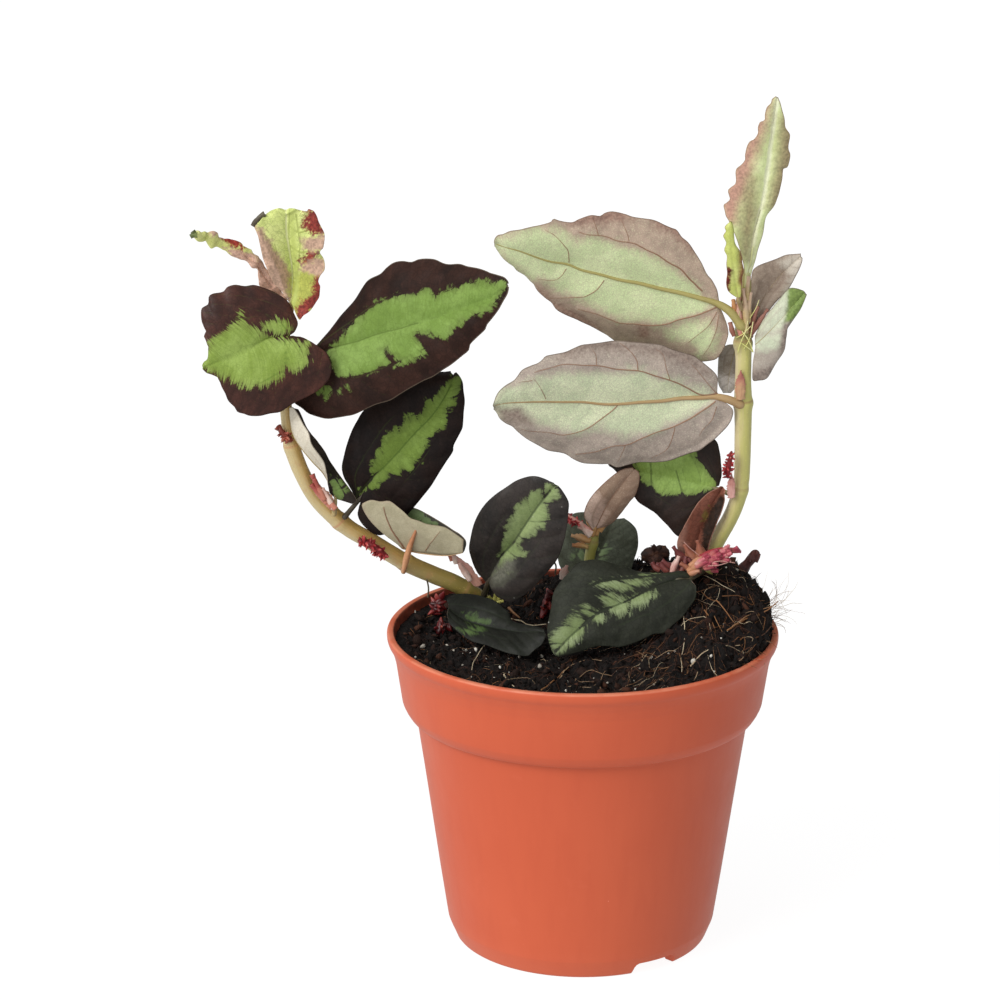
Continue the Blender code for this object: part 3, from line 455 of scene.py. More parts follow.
def leaf_material(name, dark, dark2, green, green2, mauve, mauve2, pale, pale2, accent=None, accent2=None, feather=1.0, soft=0.45,
                  under_soft=1.5, rim=None, vein_top=None, vein_low=(150, 112, 92), line=0.30, rough=0.46, net=0.30, accent_soft=0.8,
                  streaks=(1.2, 0.42, 3.0), crack=1.6, spec=0.22, worn=0.0, stripe=None, breakup=1.0, speckle=0.16, hug=0.5, scallop=2.4, cell=2.7, accent_low=0.62, mottle=1.0):
    """One leaf's skin. Point values: green and pale are mm inside the light zones of the upper and lower side, red and blush mm inside the accents."""
    s = Shader(name)
    s.p.inputs["Specular IOR Level"].default_value = spec
    lay = s.attr("lay", "Vector")
    side, edge, vein = s.attr("side"), s.attr("edge"), s.attr("vein")
    broad, mid, fine, dust = s.noise(9.0, 2.0), s.noise(2.6, 3.0), s.noise(0.8, 3.0), s.noise(0.36, 2.0)
    long = s.noise(1.0, 2.0, 0.6, s.scaled(lay, (streaks[0], streaks[1], 1.0)), 0.5)
    thin = s.noise(1.0, 2.0, 0.6, s.scaled(lay, (streaks[0] * 2.6, streaks[1] * 2.0, 1.0)), 0.3)
    bent = s.node("ShaderNodeVectorMath", operation="MULTIPLY_ADD")
    jitter = s.node("ShaderNodeTexNoise")
    s.put(jitter.inputs["Vector"], s.place)
    jitter.inputs["Scale"].default_value, jitter.inputs["Detail"].default_value = 420.0, 2.0
    s.put(bent.inputs[0], jitter.outputs["Color"])
    bent.inputs[1].default_value = (0.0016, 0.0016, 0.0016)
    s.put(bent.inputs[2], s.place)
    grown = s.scaled(bent.outputs[0], (1000.0, 1000.0, 1000.0))
    net_line = s.cells(1.55, grown, feature="DISTANCE_TO_EDGE")
    net_fine = s.cells(0.62, grown, feature="DISTANCE_TO_EDGE")
    field_cell = s.cells(cell, grown, feature="DISTANCE_TO_EDGE")
    # upper side
    g = s.math("ADD", s.attr("green"), s.sway(long, streaks[2] * feather))
    g = s.math("ADD", g, s.sway(thin, streaks[2] * 0.55 * feather))
    g = s.math("ADD", g, s.sway(fine, 1.1 * feather))
    if scallop:
        # the light zone ends in round lobes with short dark lines between them
        lobe = s.cells(cell * 1.15, grown)
        g = s.math("ADD", g, s.step(lobe, 0.12, 0.74, 0.26 * scallop, -0.34 * scallop))
        g = s.math("SUBTRACT", g, s.math("MULTIPLY", s.step(field_cell, 0.0, 0.06, 0.40 * scallop, 0.0), s.step(g, 0.2, 1.7, 0.9, 0.0)))
    if crack:
        g = s.math("SUBTRACT", g, s.math("MULTIPLY", s.step(vein, 0.05, 0.75, crack, 0.0), s.step(g, 1.0, 4.5, 1.0, 0.12)))
    lightzone = s.step(g, -soft, soft)
    base = s.mix(s.step(broad, 0.35, 0.65), rgb(*dark), rgb(*dark2))
    # painted sheen: random patches of the dark zone lightened to about dark × 1.35
    base = s.mix(s.step(s.math("ADD", mid, s.sway(long, 0.5)), 0.45, 0.85, 0.0, 0.35), base, rgb(*[min(255, int(c * 1.35) + 6) for c in dark]))
    base = s.mix(s.step(net_line, 0.0, 0.10, 0.35, 0.0), base, rgb(*[int(c * 0.6) for c in dark2]))
    fresh = s.mix(s.step(s.math("ADD", broad, s.sway(long, 0.5)), 0.35, 0.68), rgb(*green), rgb(*green2))
    fresh = s.mix(s.step(mid, 0.42, 0.72, 0.0, 0.35), fresh, rgb(*[int(c * 0.86) for c in green]))
    fresh = s.mix(s.step(fine, 0.45, 0.8, 0.0, 0.22), fresh, rgb(*[int(c * 0.76) for c in green]))
    fresh = s.mix(s.step(dust, 0.5, 0.8, 0.0, 0.20), fresh, rgb(*[min(255, int(c * 1.14)) for c in green2]))
    fresh = s.mix(s.step(g, 0.1, 2.4), s.mix(0.30, fresh, rgb(*dark)), fresh)
    upper = s.mix(lightzone, base, fresh)
    if vein_top:
        upper = s.mix(s.math("MULTIPLY", s.step(vein, line * 0.25, line * 1.3, 0.70, 0.0), s.step(g, -0.5, 1.0, 0.25, 1.0)), upper, rgb(*vein_top))
    upper = s.mix(s.math("MULTIPLY", s.step(net_line, 0.0, 0.08, net, 0.0), lightzone), upper, rgb(*[int(c * 0.78) for c in green]))
    # lower side
    q = s.math("ADD", s.attr("pale"), s.sway(broad, 4.4 * mottle))
    q = s.math("ADD", q, s.sway(mid, 4.2 * mottle))
    q = s.math("ADD", q, s.sway(fine, 3.2 * mottle))
    q = s.math("ADD", q, s.sway(long, 2.4 * mottle))
    q = s.math("SUBTRACT", q, s.step(vein, 0.0, 2.2, hug, 0.0))
    palezone = s.step(q, -under_soft, under_soft)
    low = s.mix(s.step(s.math("ADD", mid, s.sway(broad, 0.8)), 0.35, 0.7), rgb(*mauve), rgb(*mauve2))
    lowg = s.mix(s.step(s.math("ADD", broad, s.sway(mid, 0.6)), 0.35, 0.65), rgb(*pale), rgb(*pale2))
    low = s.mix(palezone, low, lowg)
    low = s.mix(s.step(net_fine, 0.0, 0.22, speckle * 1.2, 0.0), low, rgb(*[int(c * 0.80) for c in mauve]))
    low = s.mix(s.step(net_line, 0.0, 0.07, speckle * 0.9, 0.0), low, rgb(*[int(c * 0.78) for c in mauve]))
    low = s.mix(s.step(fine, 0.5, 0.85, 0.0, 0.25), low, rgb(*[int(c * 0.84) for c in mauve]))
    low = s.mix(s.step(dust, 0.5, 0.78, 0.0, speckle * 1.5), low, rgb(*[min(255, int(c * 1.08) + 6) for c in pale]))
    low = s.mix(s.step(vein, line * 0.2, line * 1.7, 0.42, 0.0), low, rgb(*vein_low))
    whole = s.mix(side, upper, low)
    if stripe:
        colour, reach, band, width = stripe
        v = s.math("ADD", s.attr("across"), s.sway(mid, 0.8))
        whole = s.mix(s.math("MULTIPLY", s.step(v, reach, reach + width, 0.0, 1.0), s.step(v, reach + width, reach + width * 2.4, 0.75, 0.0)), whole, rgb(*band))
        whole = s.mix(s.step(s.math("ABSOLUTE", v), reach * 0.3, reach * 1.1, 0.9, 0.0), whole, rgb(*colour))
    if accent:
        r = s.math("ADD", s.attr("red"), s.sway(mid, 3.0 * breakup))
        r = s.math("ADD", r, s.sway(fine, 2.6 * breakup))
        r = s.math("ADD", r, s.sway(long, 2.2 * breakup))
        whole = s.mix(s.step(r, -accent_soft, accent_soft), whole, s.mix(s.step(fine, 0.35, 0.68), rgb(*accent), rgb(*[int(c * accent_low) for c in accent])))
    if accent2:
        r = s.math("ADD", s.attr("blush"), s.sway(mid, 2.8 * breakup))
        r = s.math("ADD", r, s.sway(fine, 2.0 * breakup))
        whole = s.mix(s.step(r, -accent_soft * 1.3, accent_soft * 1.3), whole, s.mix(s.step(fine, 0.3, 0.7), rgb(*accent2), rgb(*[int(c * 0.80) for c in accent2])))
    # margin line: partly the edge's own colour, partly a painted highlight along the edge
    if rim:
        whole = s.mix(s.step(edge, 0.05, 0.42, 0.8, 0.0), whole, rgb(*rim))
    if worn:
        specks = s.step(s.cells(4.4, jitter=1.0), 0.035, 0.075, 1.0, 0.0)
        whole = s.mix(s.math("MULTIPLY", s.math("MULTIPLY", specks, s.step(broad, 0.45, 0.6)), worn), whole, rgb(190, 190, 182))
    s.colour(whole)
    s.rough(s.math("ADD", s.math("MULTIPLY_ADD", side, 0.10, rough - 0.09), s.math("MULTIPLY", mid, 0.18)))
    s.bump(s.math("ADD", s.math("MULTIPLY", net_line, 0.8), s.math("MULTIPLY", fine, 0.5)), 0.13, 0.5)
    s.bump(s.math("ADD", dust, net_fine), 0.04, 0.45)
    return s.m


def skin_material(name, low, high, stripe=None, rough=0.42, blotch=(120, 80, 50), blotchy=0.25, speck=0.3, gloss=0.5, tip=None, tip_at=None):
    """Stem or stalk skin: colour turns with the side that faces the tube's light direction, as painted light and shade,
    with long streaks, small pores and blotches.
    """
    s = Shader(name, rough)
    s.p.inputs["Specular IOR Level"].default_value = gloss
    lay = s.attr("lay", "Vector")
    lit = s.attr("lit")
    streak = s.noise(1.0, 3.0, 0.6, s.scaled(lay, (0.10, 1.6, 1.0)), 0.3)
    thin = s.noise(1.0, 2.0, 0.6, s.scaled(lay, (0.35, 6.0, 1.0)))
    mid, fine = s.noise(3.2, 3.0), s.noise(0.6, 2.0)
    # painted light and shade: low colour on the side turned from the light direction, high on the side facing it (for
    # stems partly also their own two tones)
    f = s.math("ADD", lit, s.sway(streak, 1.3))
    c = s.mix(s.step(f, -0.75, 0.75), rgb(*low), rgb(*high))
    if stripe:
        c = s.mix(s.step(s.math("ADD", s.attr("stripe"), s.sway(streak, 0.8)), -0.25, 0.35), c, rgb(*stripe))
    if tip:
        c = s.mix(s.step(s.math("ADD", s.attr("along"), s.sway(mid, 9.0)), tip_at[0], tip_at[1]), c, rgb(*tip))
    c = s.mix(s.step(thin, 0.5, 0.75, 0.0, 0.25), c, rgb(*[int(x * 0.8) for x in low]))
    c = s.mix(s.math("MULTIPLY", s.step(mid, 0.55, 0.75), blotchy), c, rgb(*blotch))
    c = s.mix(s.math("MULTIPLY", s.step(s.cells(1.5, s.scaled(lay, (0.9, 2.2, 1.0)), jitter=1.0), 0.08, 0.16, 1.0, 0.0), speck), c, rgb(*[min(255, int(x * 1.25) + 15) for x in high]))
    ring = s.attr("ring")
    c = s.mix(s.math("MULTIPLY", s.step(ring, 0.2, 0.9), 0.75), c, rgb(*blotch))
    s.colour(c)
    s.rough(s.math("MULTIPLY_ADD", fine, 0.22, rough - 0.11))
    s.bump(s.math("ADD", s.math("MULTIPLY", thin, 0.9), s.math("MULTIPLY", mid, 0.5)), 0.16, 0.7)
    s.bump(s.noise(0.3, 2.0), 0.03, 0.5)
    return s.m


def tinted_material(name, stops, rough=0.8, bump=0.25, grain=0.5, spec=0.35, dust=None):
    """Colour by each lump's own tint, with grain."""
    s = Shader(name, rough)
    s.p.inputs["Specular IOR Level"].default_value = spec
    tint = s.attr("tint")
    fine, tiny = s.noise(grain, 3.0), s.noise(grain * 0.35, 2.0)
    n = s.node("ShaderNodeValToRGB")
    while len(n.color_ramp.elements) < len(stops):
        n.color_ramp.elements.new(0.5)
    for e, (pos, c) in zip(n.color_ramp.elements, stops):
        e.position, e.color = pos, rgb(*c)
    s.put(n.inputs[0], s.math("ADD", tint, s.sway(fine, 0.35), clamp=True))
    c = n.outputs["Color"]
    c = s.mix(s.step(tiny, 0.45, 0.8, 0.0, 0.45), c, s.mix(0.6, c, (0, 0, 0, 1)))
    if dust:
        c = s.mix(s.step(s.noise(grain * 2.2, 2.0), 0.62, 0.75, 0.0, 0.5), c, rgb(*dust))
    s.colour(c)
    s.rough(s.math("MULTIPLY_ADD", fine, 0.25, rough - 0.12))
    s.bump(s.math("ADD", fine, s.math("MULTIPLY", tiny, 0.6)), bump, 0.8)
    return s.m


# ------------------------------------------------------------------ leaves: outlines on the front elevation, base to tip
PX = 3.3

LEAVES = {
    "leaf_right_upper": dict(
        a=[(719, 301), (717, 290), (712, 280), (707, 274), (700, 260), (693, 249), (688, 242), (682, 237), (677, 230), (672, 228), (665, 225), (654, 220), (641, 218), (632, 216.5), (625, 214), (613, 211.5), (605, 213), (600, 216), (591, 215), (579, 219), (573, 222), (567, 222), (559, 220.5), (553.5, 218.7), (550.5, 222), (540, 225), (530, 227), (520, 229.5), (510, 231), (503, 234), (498, 235), (495, 238), (494, 241)],
        mid=[(716, 302), (700, 297), (681, 292), (661, 288), (638, 282), (620, 279), (600, 273.5), (580, 269), (568, 263.6), (550, 261), (534, 255.5), (520, 250), (505, 246), (494, 243)],
        b=[(719, 306), (723, 314), (727, 325), (728.5, 334), (726, 343), (723, 350), (717, 358), (711, 360.5), (702, 362), (690, 361.5), (670, 358), (650, 352), (632, 346), (615.5, 341), (607, 335.5), (600, 332), (591, 327), (582, 323), (575, 319), (567, 315), (557, 309), (552, 302), (545, 297), (537.5, 290.5), (534, 284), (530, 280.5), (525, 275), (517, 270), (514, 266), (508, 262), (502, 257), (497, 250), (495, 246)],
        ym=[-2, -5, -10, -17], ya=[-2, -9, -14, -18], yb=[-1, 3, -3, -15], bulge=(2.0, 2.0),
        stalk=[(738.5, 322, -1.5, 1.45), (731, 312, -2.1, 1.45), (720, 304.5, -2.2, 1.3)], size=(120, 32), view="under", skin="pale_upper", rib=0.92,
        red=[[(560, 208), (634, 208), (634, 219), (600, 224), (570, 226)], [(652, 212), (680, 220), (702, 248), (692, 252), (674, 236), (654, 227)], [(638, 325), (648, 325), (648, 335), (640, 336)], [(536, 286), (560, 306), (590, 322), (600, 330), (590, 334), (548, 312)]],
        pale=[[(702, 293), (689, 281), (668, 265), (647, 253), (618, 244), (589, 238), (575, 240), (562, 232), (550, 228), (535, 229), (520, 233), (500, 236), (490, 243), (502, 258), (515, 268), (530, 279), (545, 281), (556, 290), (575, 298), (586, 303), (600, 311), (620, 320), (640, 321), (660, 323), (690, 315), (712, 306)],
              [(668, 330), (690, 322), (712, 320), (718, 335), (712, 350), (702, 358), (690, 345), (675, 340)]],
        veins=[([(702, 290), (689, 278), (681, 269), (668, 262), (659, 255.5), (647, 250), (634, 243.5), (618, 241), (604, 236), (589, 235), (579, 232)], 0.34),
               ([(629, 241), (627, 233), (621, 219)], 0.16), ([(598, 235), (596, 227), (592, 217)], 0.16),
               ([(569, 262), (568, 251), (563, 244), (554, 235), (545, 230)], 0.20), ([(604, 280), (597, 289), (586, 296), (580, 297), (561, 298), (545, 297)], 0.20),
               ([(566, 269), (559, 278), (550, 280), (537, 278)], 0.15),
               ([(717, 306.5), (704, 312), (690, 317), (677, 320), (667, 324), (649, 325), (636, 323), (620, 322), (609, 318), (598.5, 314), (578, 309)], 0.32),
               ([(716, 312), (708, 326), (698, 335), (688, 343)], 0.18), ([(718, 315), (716, 330), (710, 345), (703, 355)], 0.16)]),
    "leaf_right_lower": dict(
        a=[(717, 394), (717.5, 385), (717.3, 377), (713, 371), (706, 365), (700, 360), (693.5, 355.5), (682, 352), (672, 349), (661, 344.5), (645, 342.7), (630, 341.5), (615.5, 340.6), (599, 342.7), (588, 344), (581, 345), (572, 349), (565, 352), (555, 354), (546, 356), (542.5, 359.5), (538, 363), (530, 366), (522, 370), (517.5, 376), (513.5, 380.5), (506, 385), (500, 390), (496, 396), (493, 404.5), (492.7, 406)],
        mid=[(714, 396), (697, 397), (680, 398), (661, 401), (641, 402), (622, 403.7), (603, 404), (584, 402), (560, 402), (530, 401.7), (500, 403), (493, 407)],
        b=[(718, 399), (726, 403), (733, 410), (732, 419), (728, 426), (723, 431.5), (715, 439), (708, 444), (700, 450), (691.5, 452.7), (680, 457), (669, 461), (655, 463), (640, 462.7), (632, 464), (625, 466), (617, 467.7), (609, 464), (600, 464), (590, 463), (582, 462), (573, 458.5), (566.5, 454.6), (561, 453), (549, 451), (540, 446.5), (531, 441.5), (524, 437), (517, 431), (512, 426), (506, 423), (500, 418), (497, 413), (493, 408.5)],
        ym=[-2, -6, -12, -20], ya=[-2, -10, -16, -21], yb=[-2, 1, -5, -18], bulge=(2.0, 2.0),
        stalk=[(736, 402.5, -1, 1.35), (727, 399, -2, 1.35), (717, 396.5, -2.1, 1.2)], size=(120, 32), view="under", skin="pale_lower", rib=0.85,
        red=[[(556, 340), (600, 338), (690, 350), (712, 374), (700, 372), (680, 362), (640, 352), (600, 350), (560, 358)], [(496, 408), (522, 408), (530, 424), (505, 422)]],
        pale=[[(712, 393), (690, 387), (668, 378), (640, 370), (618, 372), (599, 375), (580, 374), (560, 373), (545, 378), (520, 384), (500, 390), (488, 404), (498, 413), (512, 413), (525, 417), (545, 425), (560, 432), (580, 432), (600, 428), (620, 433), (645, 433), (660, 428), (680, 420), (700, 410), (712, 402)]],
        veins=[([(718, 393), (701, 394), (690, 389), (680, 384), (668, 379.5), (653, 375), (640, 371), (618, 369.6), (599, 366), (580, 365), (565, 364), (549, 368), (535, 372)], 0.34),
               ([(638, 371), (637, 361), (630, 351), (620, 343)], 0.20), ([(597, 366), (596, 356), (592, 349)], 0.17),
               ([(716, 393), (705, 380), (695, 368), (686, 359)], 0.16), ([(670, 380), (666, 368), (663, 355), (656, 349)], 0.17),
               ([(546, 399), (540, 387), (533, 378)], 0.16), ([(532, 380.6), (518, 382.5)], 0.13),
               ([(618.5, 404.6), (613, 410), (601, 419), (588, 428), (576, 432.5), (561, 435), (551, 432.5), (530, 430.6), (521, 428.7)], 0.24),
               ([(714.6, 401.7), (707, 407.5), (691.5, 418), (676, 426), (659, 431.5), (643.5, 437), (626, 444), (613, 445), (595, 451), (576, 453.7)], 0.32),
               ([(675, 428), (672, 439), (666, 450), (651, 457.5)], 0.17), ([(625, 444), (618, 460)], 0.14), ([(716.5, 406.5), (712, 420), (703, 430), (699, 437)], 0.16)]),
    "leaf_top": dict(
        a=[(744.5, 274), (743, 262), (739, 246), (734, 232), (729, 221), (726, 216), (725, 212), (723.5, 205), (726, 203), (730, 199), (729, 195), (728, 190), (731, 187), (735, 184), (736, 180), (735.5, 172), (737, 168), (741, 165), (745, 160), (745, 155), (747, 146), (750, 141), (754, 139), (758, 133), (758, 127), (760, 122), (763, 121), (765, 119), (765, 114), (767, 107), (771, 103), (772, 99), (776, 96)],
        mid=[(747.5, 276), (750, 255), (755, 230), (763, 199), (768, 165), (772, 131), (777, 97)],
        b=[(751, 275), (753, 266), (755, 257), (759, 243), (763, 230), (766, 218), (770, 211), (775, 202), (779, 192), (782, 178), (784, 170), (787, 169), (789, 165), (790, 155), (788, 148), (789.5, 137), (789, 133), (785, 127), (784, 118), (780, 104), (778, 97)],
        ym=[-1, 0, 0, -3], ya=[-1.6, -1.8, -2.2, -3.4], yb=[-0.4, 0.6, 0.2, -2.8], bulge=(0.8, 0.5), size=(110, 24), view="upper", skin="fresh_top", ripple=0.8, quilt=0.15, rib=0.4,
        stalk=[(745.5, 310, 0.9, 1.1), (746, 296, 0.2, 1.05), (747, 284, -0.6, 1.0), (747.8, 272, -1.2, 0.85)],
        red=[[(718, 200), (722, 224), (736, 222), (740, 206), (747, 190), (752, 172), (757, 155), (761, 142), (766, 130), (769, 112), (772, 100), (764, 98), (750, 130), (740, 150), (728, 175)]],
        blush=[[(779, 118), (778, 140), (777, 155), (774, 172), (770, 190), (766, 206), (775, 212), (788, 190), (796, 165), (798, 140), (791, 114)], [(741, 256), (739, 228), (743, 206), (749, 180), (756, 178), (756, 212), (752, 238), (748, 260)]],
        slot="leaf_young"),
    "leaf_top_bud": dict(
        a=[(736, 297), (730, 293), (727, 289), (726, 281), (728, 272), (726, 264), (727, 256), (724.5, 250), (725, 243), (723, 236), (726, 231), (725, 227), (730, 222)],
        mid=[(738, 298), (734, 270), (731, 240), (730.5, 221)],
        b=[(741, 297), (742, 285), (743, 268), (741, 254), (736, 243), (732, 222)],
        ym=[-5, -8, -8], ya=[-5, -7, -7], yb=[-5, -7, -7], bulge=(0.5, 0.5), size=(60, 14), view="upper", skin="fresh_bud", ripple=0.5,
        stalk=[(740.5, 306, -2.6, 0.7), (739, 302, -4, 0.7), (738.3, 299, -4.8, 0.6)], slot="leaf_young",
        red=[[(718, 266), (731, 268), (731, 280), (728, 296), (718, 300)]], blush=[[(738, 240), (740, 262), (738, 285), (746, 290), (748, 250)]]),
    "leaf_tip_mauve": dict(
        a=[(749, 318), (750, 300), (751, 285), (752, 272), (756, 267), (762, 264), (770, 261), (778, 258), (786, 255), (794, 254), (801, 253.5)],
        mid=[(752, 322), (764, 298), (780, 276), (801, 256)],
        b=[(756, 325), (760, 321), (768, 312), (778, 300), (788, 290), (796, 276), (801.5, 264), (802.5, 258)],
        ym=[3, 6, 5], ya=[4, 7, 5], yb=[2, 3, 4], bulge=(0.8, 0.8), size=(60, 18), view="under", skin="mauve", rib=0.2,
        stalk=[(751.3, 331, 2.4, 0.7), (752, 325, 2.9, 0.7)], slot="leaf_underside", pale=[[(778, 262), (786, 258), (806, 250), (806, 262), (798, 278), (786, 296), (782, 296), (792, 276)]]),
    "leaf_tip_pale": dict(
        a=[(755, 336), (764, 318), (778, 301), (785, 292), (790, 288), (797, 288.5), (804, 291)],
        mid=[(755, 345), (766, 335), (784, 316), (805, 292)],
        b=[(755, 352), (752.5, 366), (752.6, 380), (759, 380.5), (765, 379.5), (769, 376), (776, 364), (783, 352), (785, 344), (786, 332), (792, 322), (800, 310), (804, 302), (807, 294.5)],
        ym=[-1, -1, 1], ya=[0, 1, 1], yb=[-1, -2, 0], bulge=(0.8, 1.0), size=(70, 20), view="under", skin="pale_tip", rib=0.12,
        pale=[[(748, 326), (757, 325), (788, 286), (800, 284), (786, 330), (752, 336)], [(748, 336), (786, 332), (780, 346), (768, 350), (752, 350)]],
        red=[[(787, 306), (785, 322), (793, 322), (802, 309), (811, 293), (797, 284), (789, 286)]], blush=[[(748, 372), (778, 364), (768, 386), (748, 386)], [(783, 324), (794, 320), (788, 346), (779, 358), (781, 340)]],
        slot="leaf_underside"),
    "leaf_behind_stem": dict(
        a=[(735, 344), (727, 345), (720, 350), (718.5, 360), (718, 374), (719, 385), (723, 393)],
        mid=[(737, 345), (731, 365), (727, 393)],
        b=[(739, 346), (738.5, 362), (738, 376), (735, 388), (731, 393)],
        ym=[7, 8, 8], ya=[7, 9, 9], yb=[7, 8, 8], bulge=(0.6, 0.6), size=(40, 14), view="under", skin="mauve_small", rib=0.18,
        stalk=[(741, 344, 4.9, 0.7), (739, 345, 6, 0.7), (737.3, 346, 6.9, 0.6)], slot="leaf_underside", pale=[[(722, 378), (738, 376), (738, 398), (718, 398)]]),
    "leaf_behind_right": dict(
        a=[(719, 486), (722, 474), (721, 463.5), (719.5, 451), (715.5, 440), (702, 435), (680, 434), (655, 439), (630, 448), (609, 464)],
        mid=[(715, 488), (690, 482), (651, 474), (608, 465)],
        b=[(713, 493), (709, 508), (702, 522), (692, 533), (683, 537), (676, 535), (668, 526), (655, 513), (649.5, 509.5), (640, 503), (635.6, 498), (624, 483), (615, 470.5), (609, 466)],
        ym=[7, 11, 14], ya=[8, 12, 15], yb=[7, 9, 13], bulge=(1.2, 1.2), size=(84, 30), view="upper", skin="dark_behind",
        stalk=[(727.5, 493, 6, 0.8), (722, 491, 6.8, 0.8), (716, 488.5, 7, 0.8)],
        green=[[(630, 450), (642, 448), (660, 446), (680, 446), (696, 450), (701, 462), (707, 472), (717, 480), (719, 487), (703, 494), (689, 496), (673, 496), (662, 495), (650, 489), (642, 483), (638, 475), (632, 464)]],
        marks=[[(651, 452), (651, 471), (652, 490)], [(676, 470), (682, 492), (683, 497)]]),
    "leaf_folded_red": dict(
        a=[(690, 568), (681, 557), (677, 545), (681, 532), (688, 519), (694, 508), (703, 498), (713, 490), (721, 486)],
        mid=[(696, 569), (697, 548), (701, 530), (711, 507), (723, 486.5)],
        b=[(705, 567), (708, 552), (711, 539), (716, 526), (721, 514), (724.5, 502), (725.5, 490)],
        ym=[5, 5.5, 3], ya=[5, 2.5, 2], yb=[4, 2.5, 1.5], bulge=(0.3, 0.3), size=(60, 16), view="upper", skin="red_folded", green=[[(702, 505), (710, 506), (708, 522), (700, 522)]], slot="leaf_young", rib=0.3, ripple=0.5,
        red=[[(702, 548), (703, 528), (711, 509), (720, 494), (727, 498), (723, 514), (717, 530), (710, 546), (705, 552)]], blush=[[(676, 556), (675, 540), (684, 524), (688, 524), (685, 538), (690, 554), (694, 566), (686, 568)]],
        stalk=[(704, 573, 7.5, 0.9), (700, 571, 6.5, 0.9), (697, 568, 5.2, 0.8)]),
    "leaf_left_round": dict(
        a=[(287, 336), (293, 333.5), (296, 330), (298, 323), (294, 313), (290, 304), (283, 297.5), (274, 292), (264, 288), (254, 285), (245, 286), (235, 284.6), (227, 287), (223, 291.6), (213, 293.5), (208.7, 296.7), (208, 304), (202, 308), (201, 314), (202, 323), (206, 330), (204, 336.5), (208, 342), (207.7, 350), (207, 358), (203.6, 362), (202, 366)],
        mid=[(281, 339), (270, 338), (262, 341), (252, 347), (242, 353), (230, 358), (203, 368)],
        b=[(288, 338.5), (294, 337.5), (301, 337), (310, 341), (318.6, 347), (327, 353.5), (330, 361), (332, 368), (329.6, 378), (325, 384), (317, 391), (305, 398), (293.5, 403.6), (288, 407), (280, 412), (270, 413.5), (260, 416), (250, 416), (244, 414), (237.5, 412), (234.5, 407), (228.6, 401), (226, 394), (222, 387), (219, 379), (212, 375), (206.5, 373), (202.5, 369)],
        ym=[-6, -10, -13], ya=[-6, -5, -8, -12], yb=[-6, -8, -14, -14], bulge=(1.5, 1.5), size=(100, 32), view="upper", skin="round_maroon",
        stalk=[(285, 341, -4.5, 0.9), (283.5, 340, -5.4, 0.9)],
        green=[[(206, 344), (212, 336), (222, 331), (231, 322), (238, 319), (246, 322), (254, 326), (262, 331), (270, 335), (280, 336), (287, 338), (298, 340), (310, 343), (308, 352), (311, 362), (304, 369), (293, 374), (285, 371), (281, 381), (268, 387), (250, 388), (236, 386), (222, 379), (208, 372), (198, 368), (203, 352)],
               [(262, 331), (263, 322), (270, 318), (280, 317), (290, 320), (294, 330), (288, 338), (276, 336)], [(234, 321), (240, 311), (246, 318), (244, 323)]],
        marks=[[(285, 339), (285, 352), (284, 373)]]),
    "leaf_left_upright": dict(
        a=[(288, 301), (287, 297), (281, 291), (274, 283), (268, 272), (264, 261), (262, 254), (260, 245), (258, 236), (255.5, 230), (254, 225), (258, 222.5), (261, 219), (264, 216), (271, 210.5), (277, 209), (282, 208.6)],
        mid=[(291, 303), (292, 270), (287, 236), (286, 209.5)],
        b=[(295, 310), (297, 316), (300, 319.6), (304, 315), (310, 311), (315.6, 302.6), (318.6, 297), (321, 286), (319, 280.5), (321, 275), (324.5, 270), (324, 263), (320, 254), (321, 250), (323.7, 247), (324.5, 236), (321.5, 228), (319, 222), (317, 215.6), (313, 210), (307.5, 211.5), (298, 209.7), (289, 208.2)],
        ym=[-4, -2, -5, -8], ya=[-4, -7, -9, -8], yb=[-5, -7, -9, -8], bulge=(0.8, 0.8), size=(110, 28), view="upper", skin="fresh_upright", ripple=1.9, crimp=3.0, slot="leaf_young",
        flap=([(259, 222), (266, 236), (273, 246), (282, 261), (289, 272), (290, 300), (286, 300), (276, 288), (264, 266), (258, 246), (252, 230), (252, 224)], 1.5),
        blush=[[(255, 222), (262, 228), (273, 246), (282, 261), (289, 272), (289, 302), (278, 294), (262, 268), (252, 240), (250, 224)], [(303, 238), (312, 236), (328, 236), (328, 252), (312, 252), (303, 248)], [(303, 262), (316, 258), (328, 262), (326, 276), (310, 274), (300, 270)]],
        red=[[(304, 208), (318, 208), (326, 232), (312, 236), (303, 228)], [(309, 250), (322, 248), (316, 260), (305, 268), (299, 262)], [(322, 274), (326, 290), (320, 304), (308, 316), (298, 322), (294, 316), (302, 302), (313, 292), (315, 276)]],
        green=[[(250, 202), (330, 202), (330, 258), (306, 266), (296, 280), (286, 276), (270, 250), (250, 240)]],
        marks=[[(290, 210), (289, 240), (293, 272), (291, 302)], [(296, 214), (300, 245), (297, 280)], [(289, 225), (298, 232), (308, 230)], [(290, 245), (300, 252), (312, 250)], [(292, 262), (302, 270), (314, 270)], [(292, 280), (302, 290), (312, 292)]]),
    "leaf_left_curled": dict(
        a=[(288, 300), (281, 290), (274, 280), (268, 272), (264, 264), (261, 259.5), (256.6, 258), (253, 254), (252, 249.5), (244, 246.6), (241, 243), (236, 240.7), (228.6, 238), (220, 237), (217.6, 233), (210, 231), (200.6, 232.6), (196, 230.5), (193.5, 233)],
        mid=[(284, 302), (274, 290), (264, 275), (257, 266), (250, 259), (240, 251), (228, 246), (210, 238), (193, 235.5)],
        b=[(279, 304), (270, 298), (264, 292), (260, 285), (258, 276), (256.7, 269), (251, 264), (240.4, 259), (230, 253), (223, 249.5), (210, 246.5), (203.6, 242), (194.7, 238.5), (192, 237)],
        ym=[-1.5, -1.5, -5, -8, -14], ya=[-1.5, -1.2, -5, -7, -13], yb=[-2, -2, -5, -7, -13], bulge=(0.5, 0.5), size=(96, 14), view="upper", skin="fresh_curled", ripple=1.2, crimp=2.6, slot="leaf_young", rib=0.3,
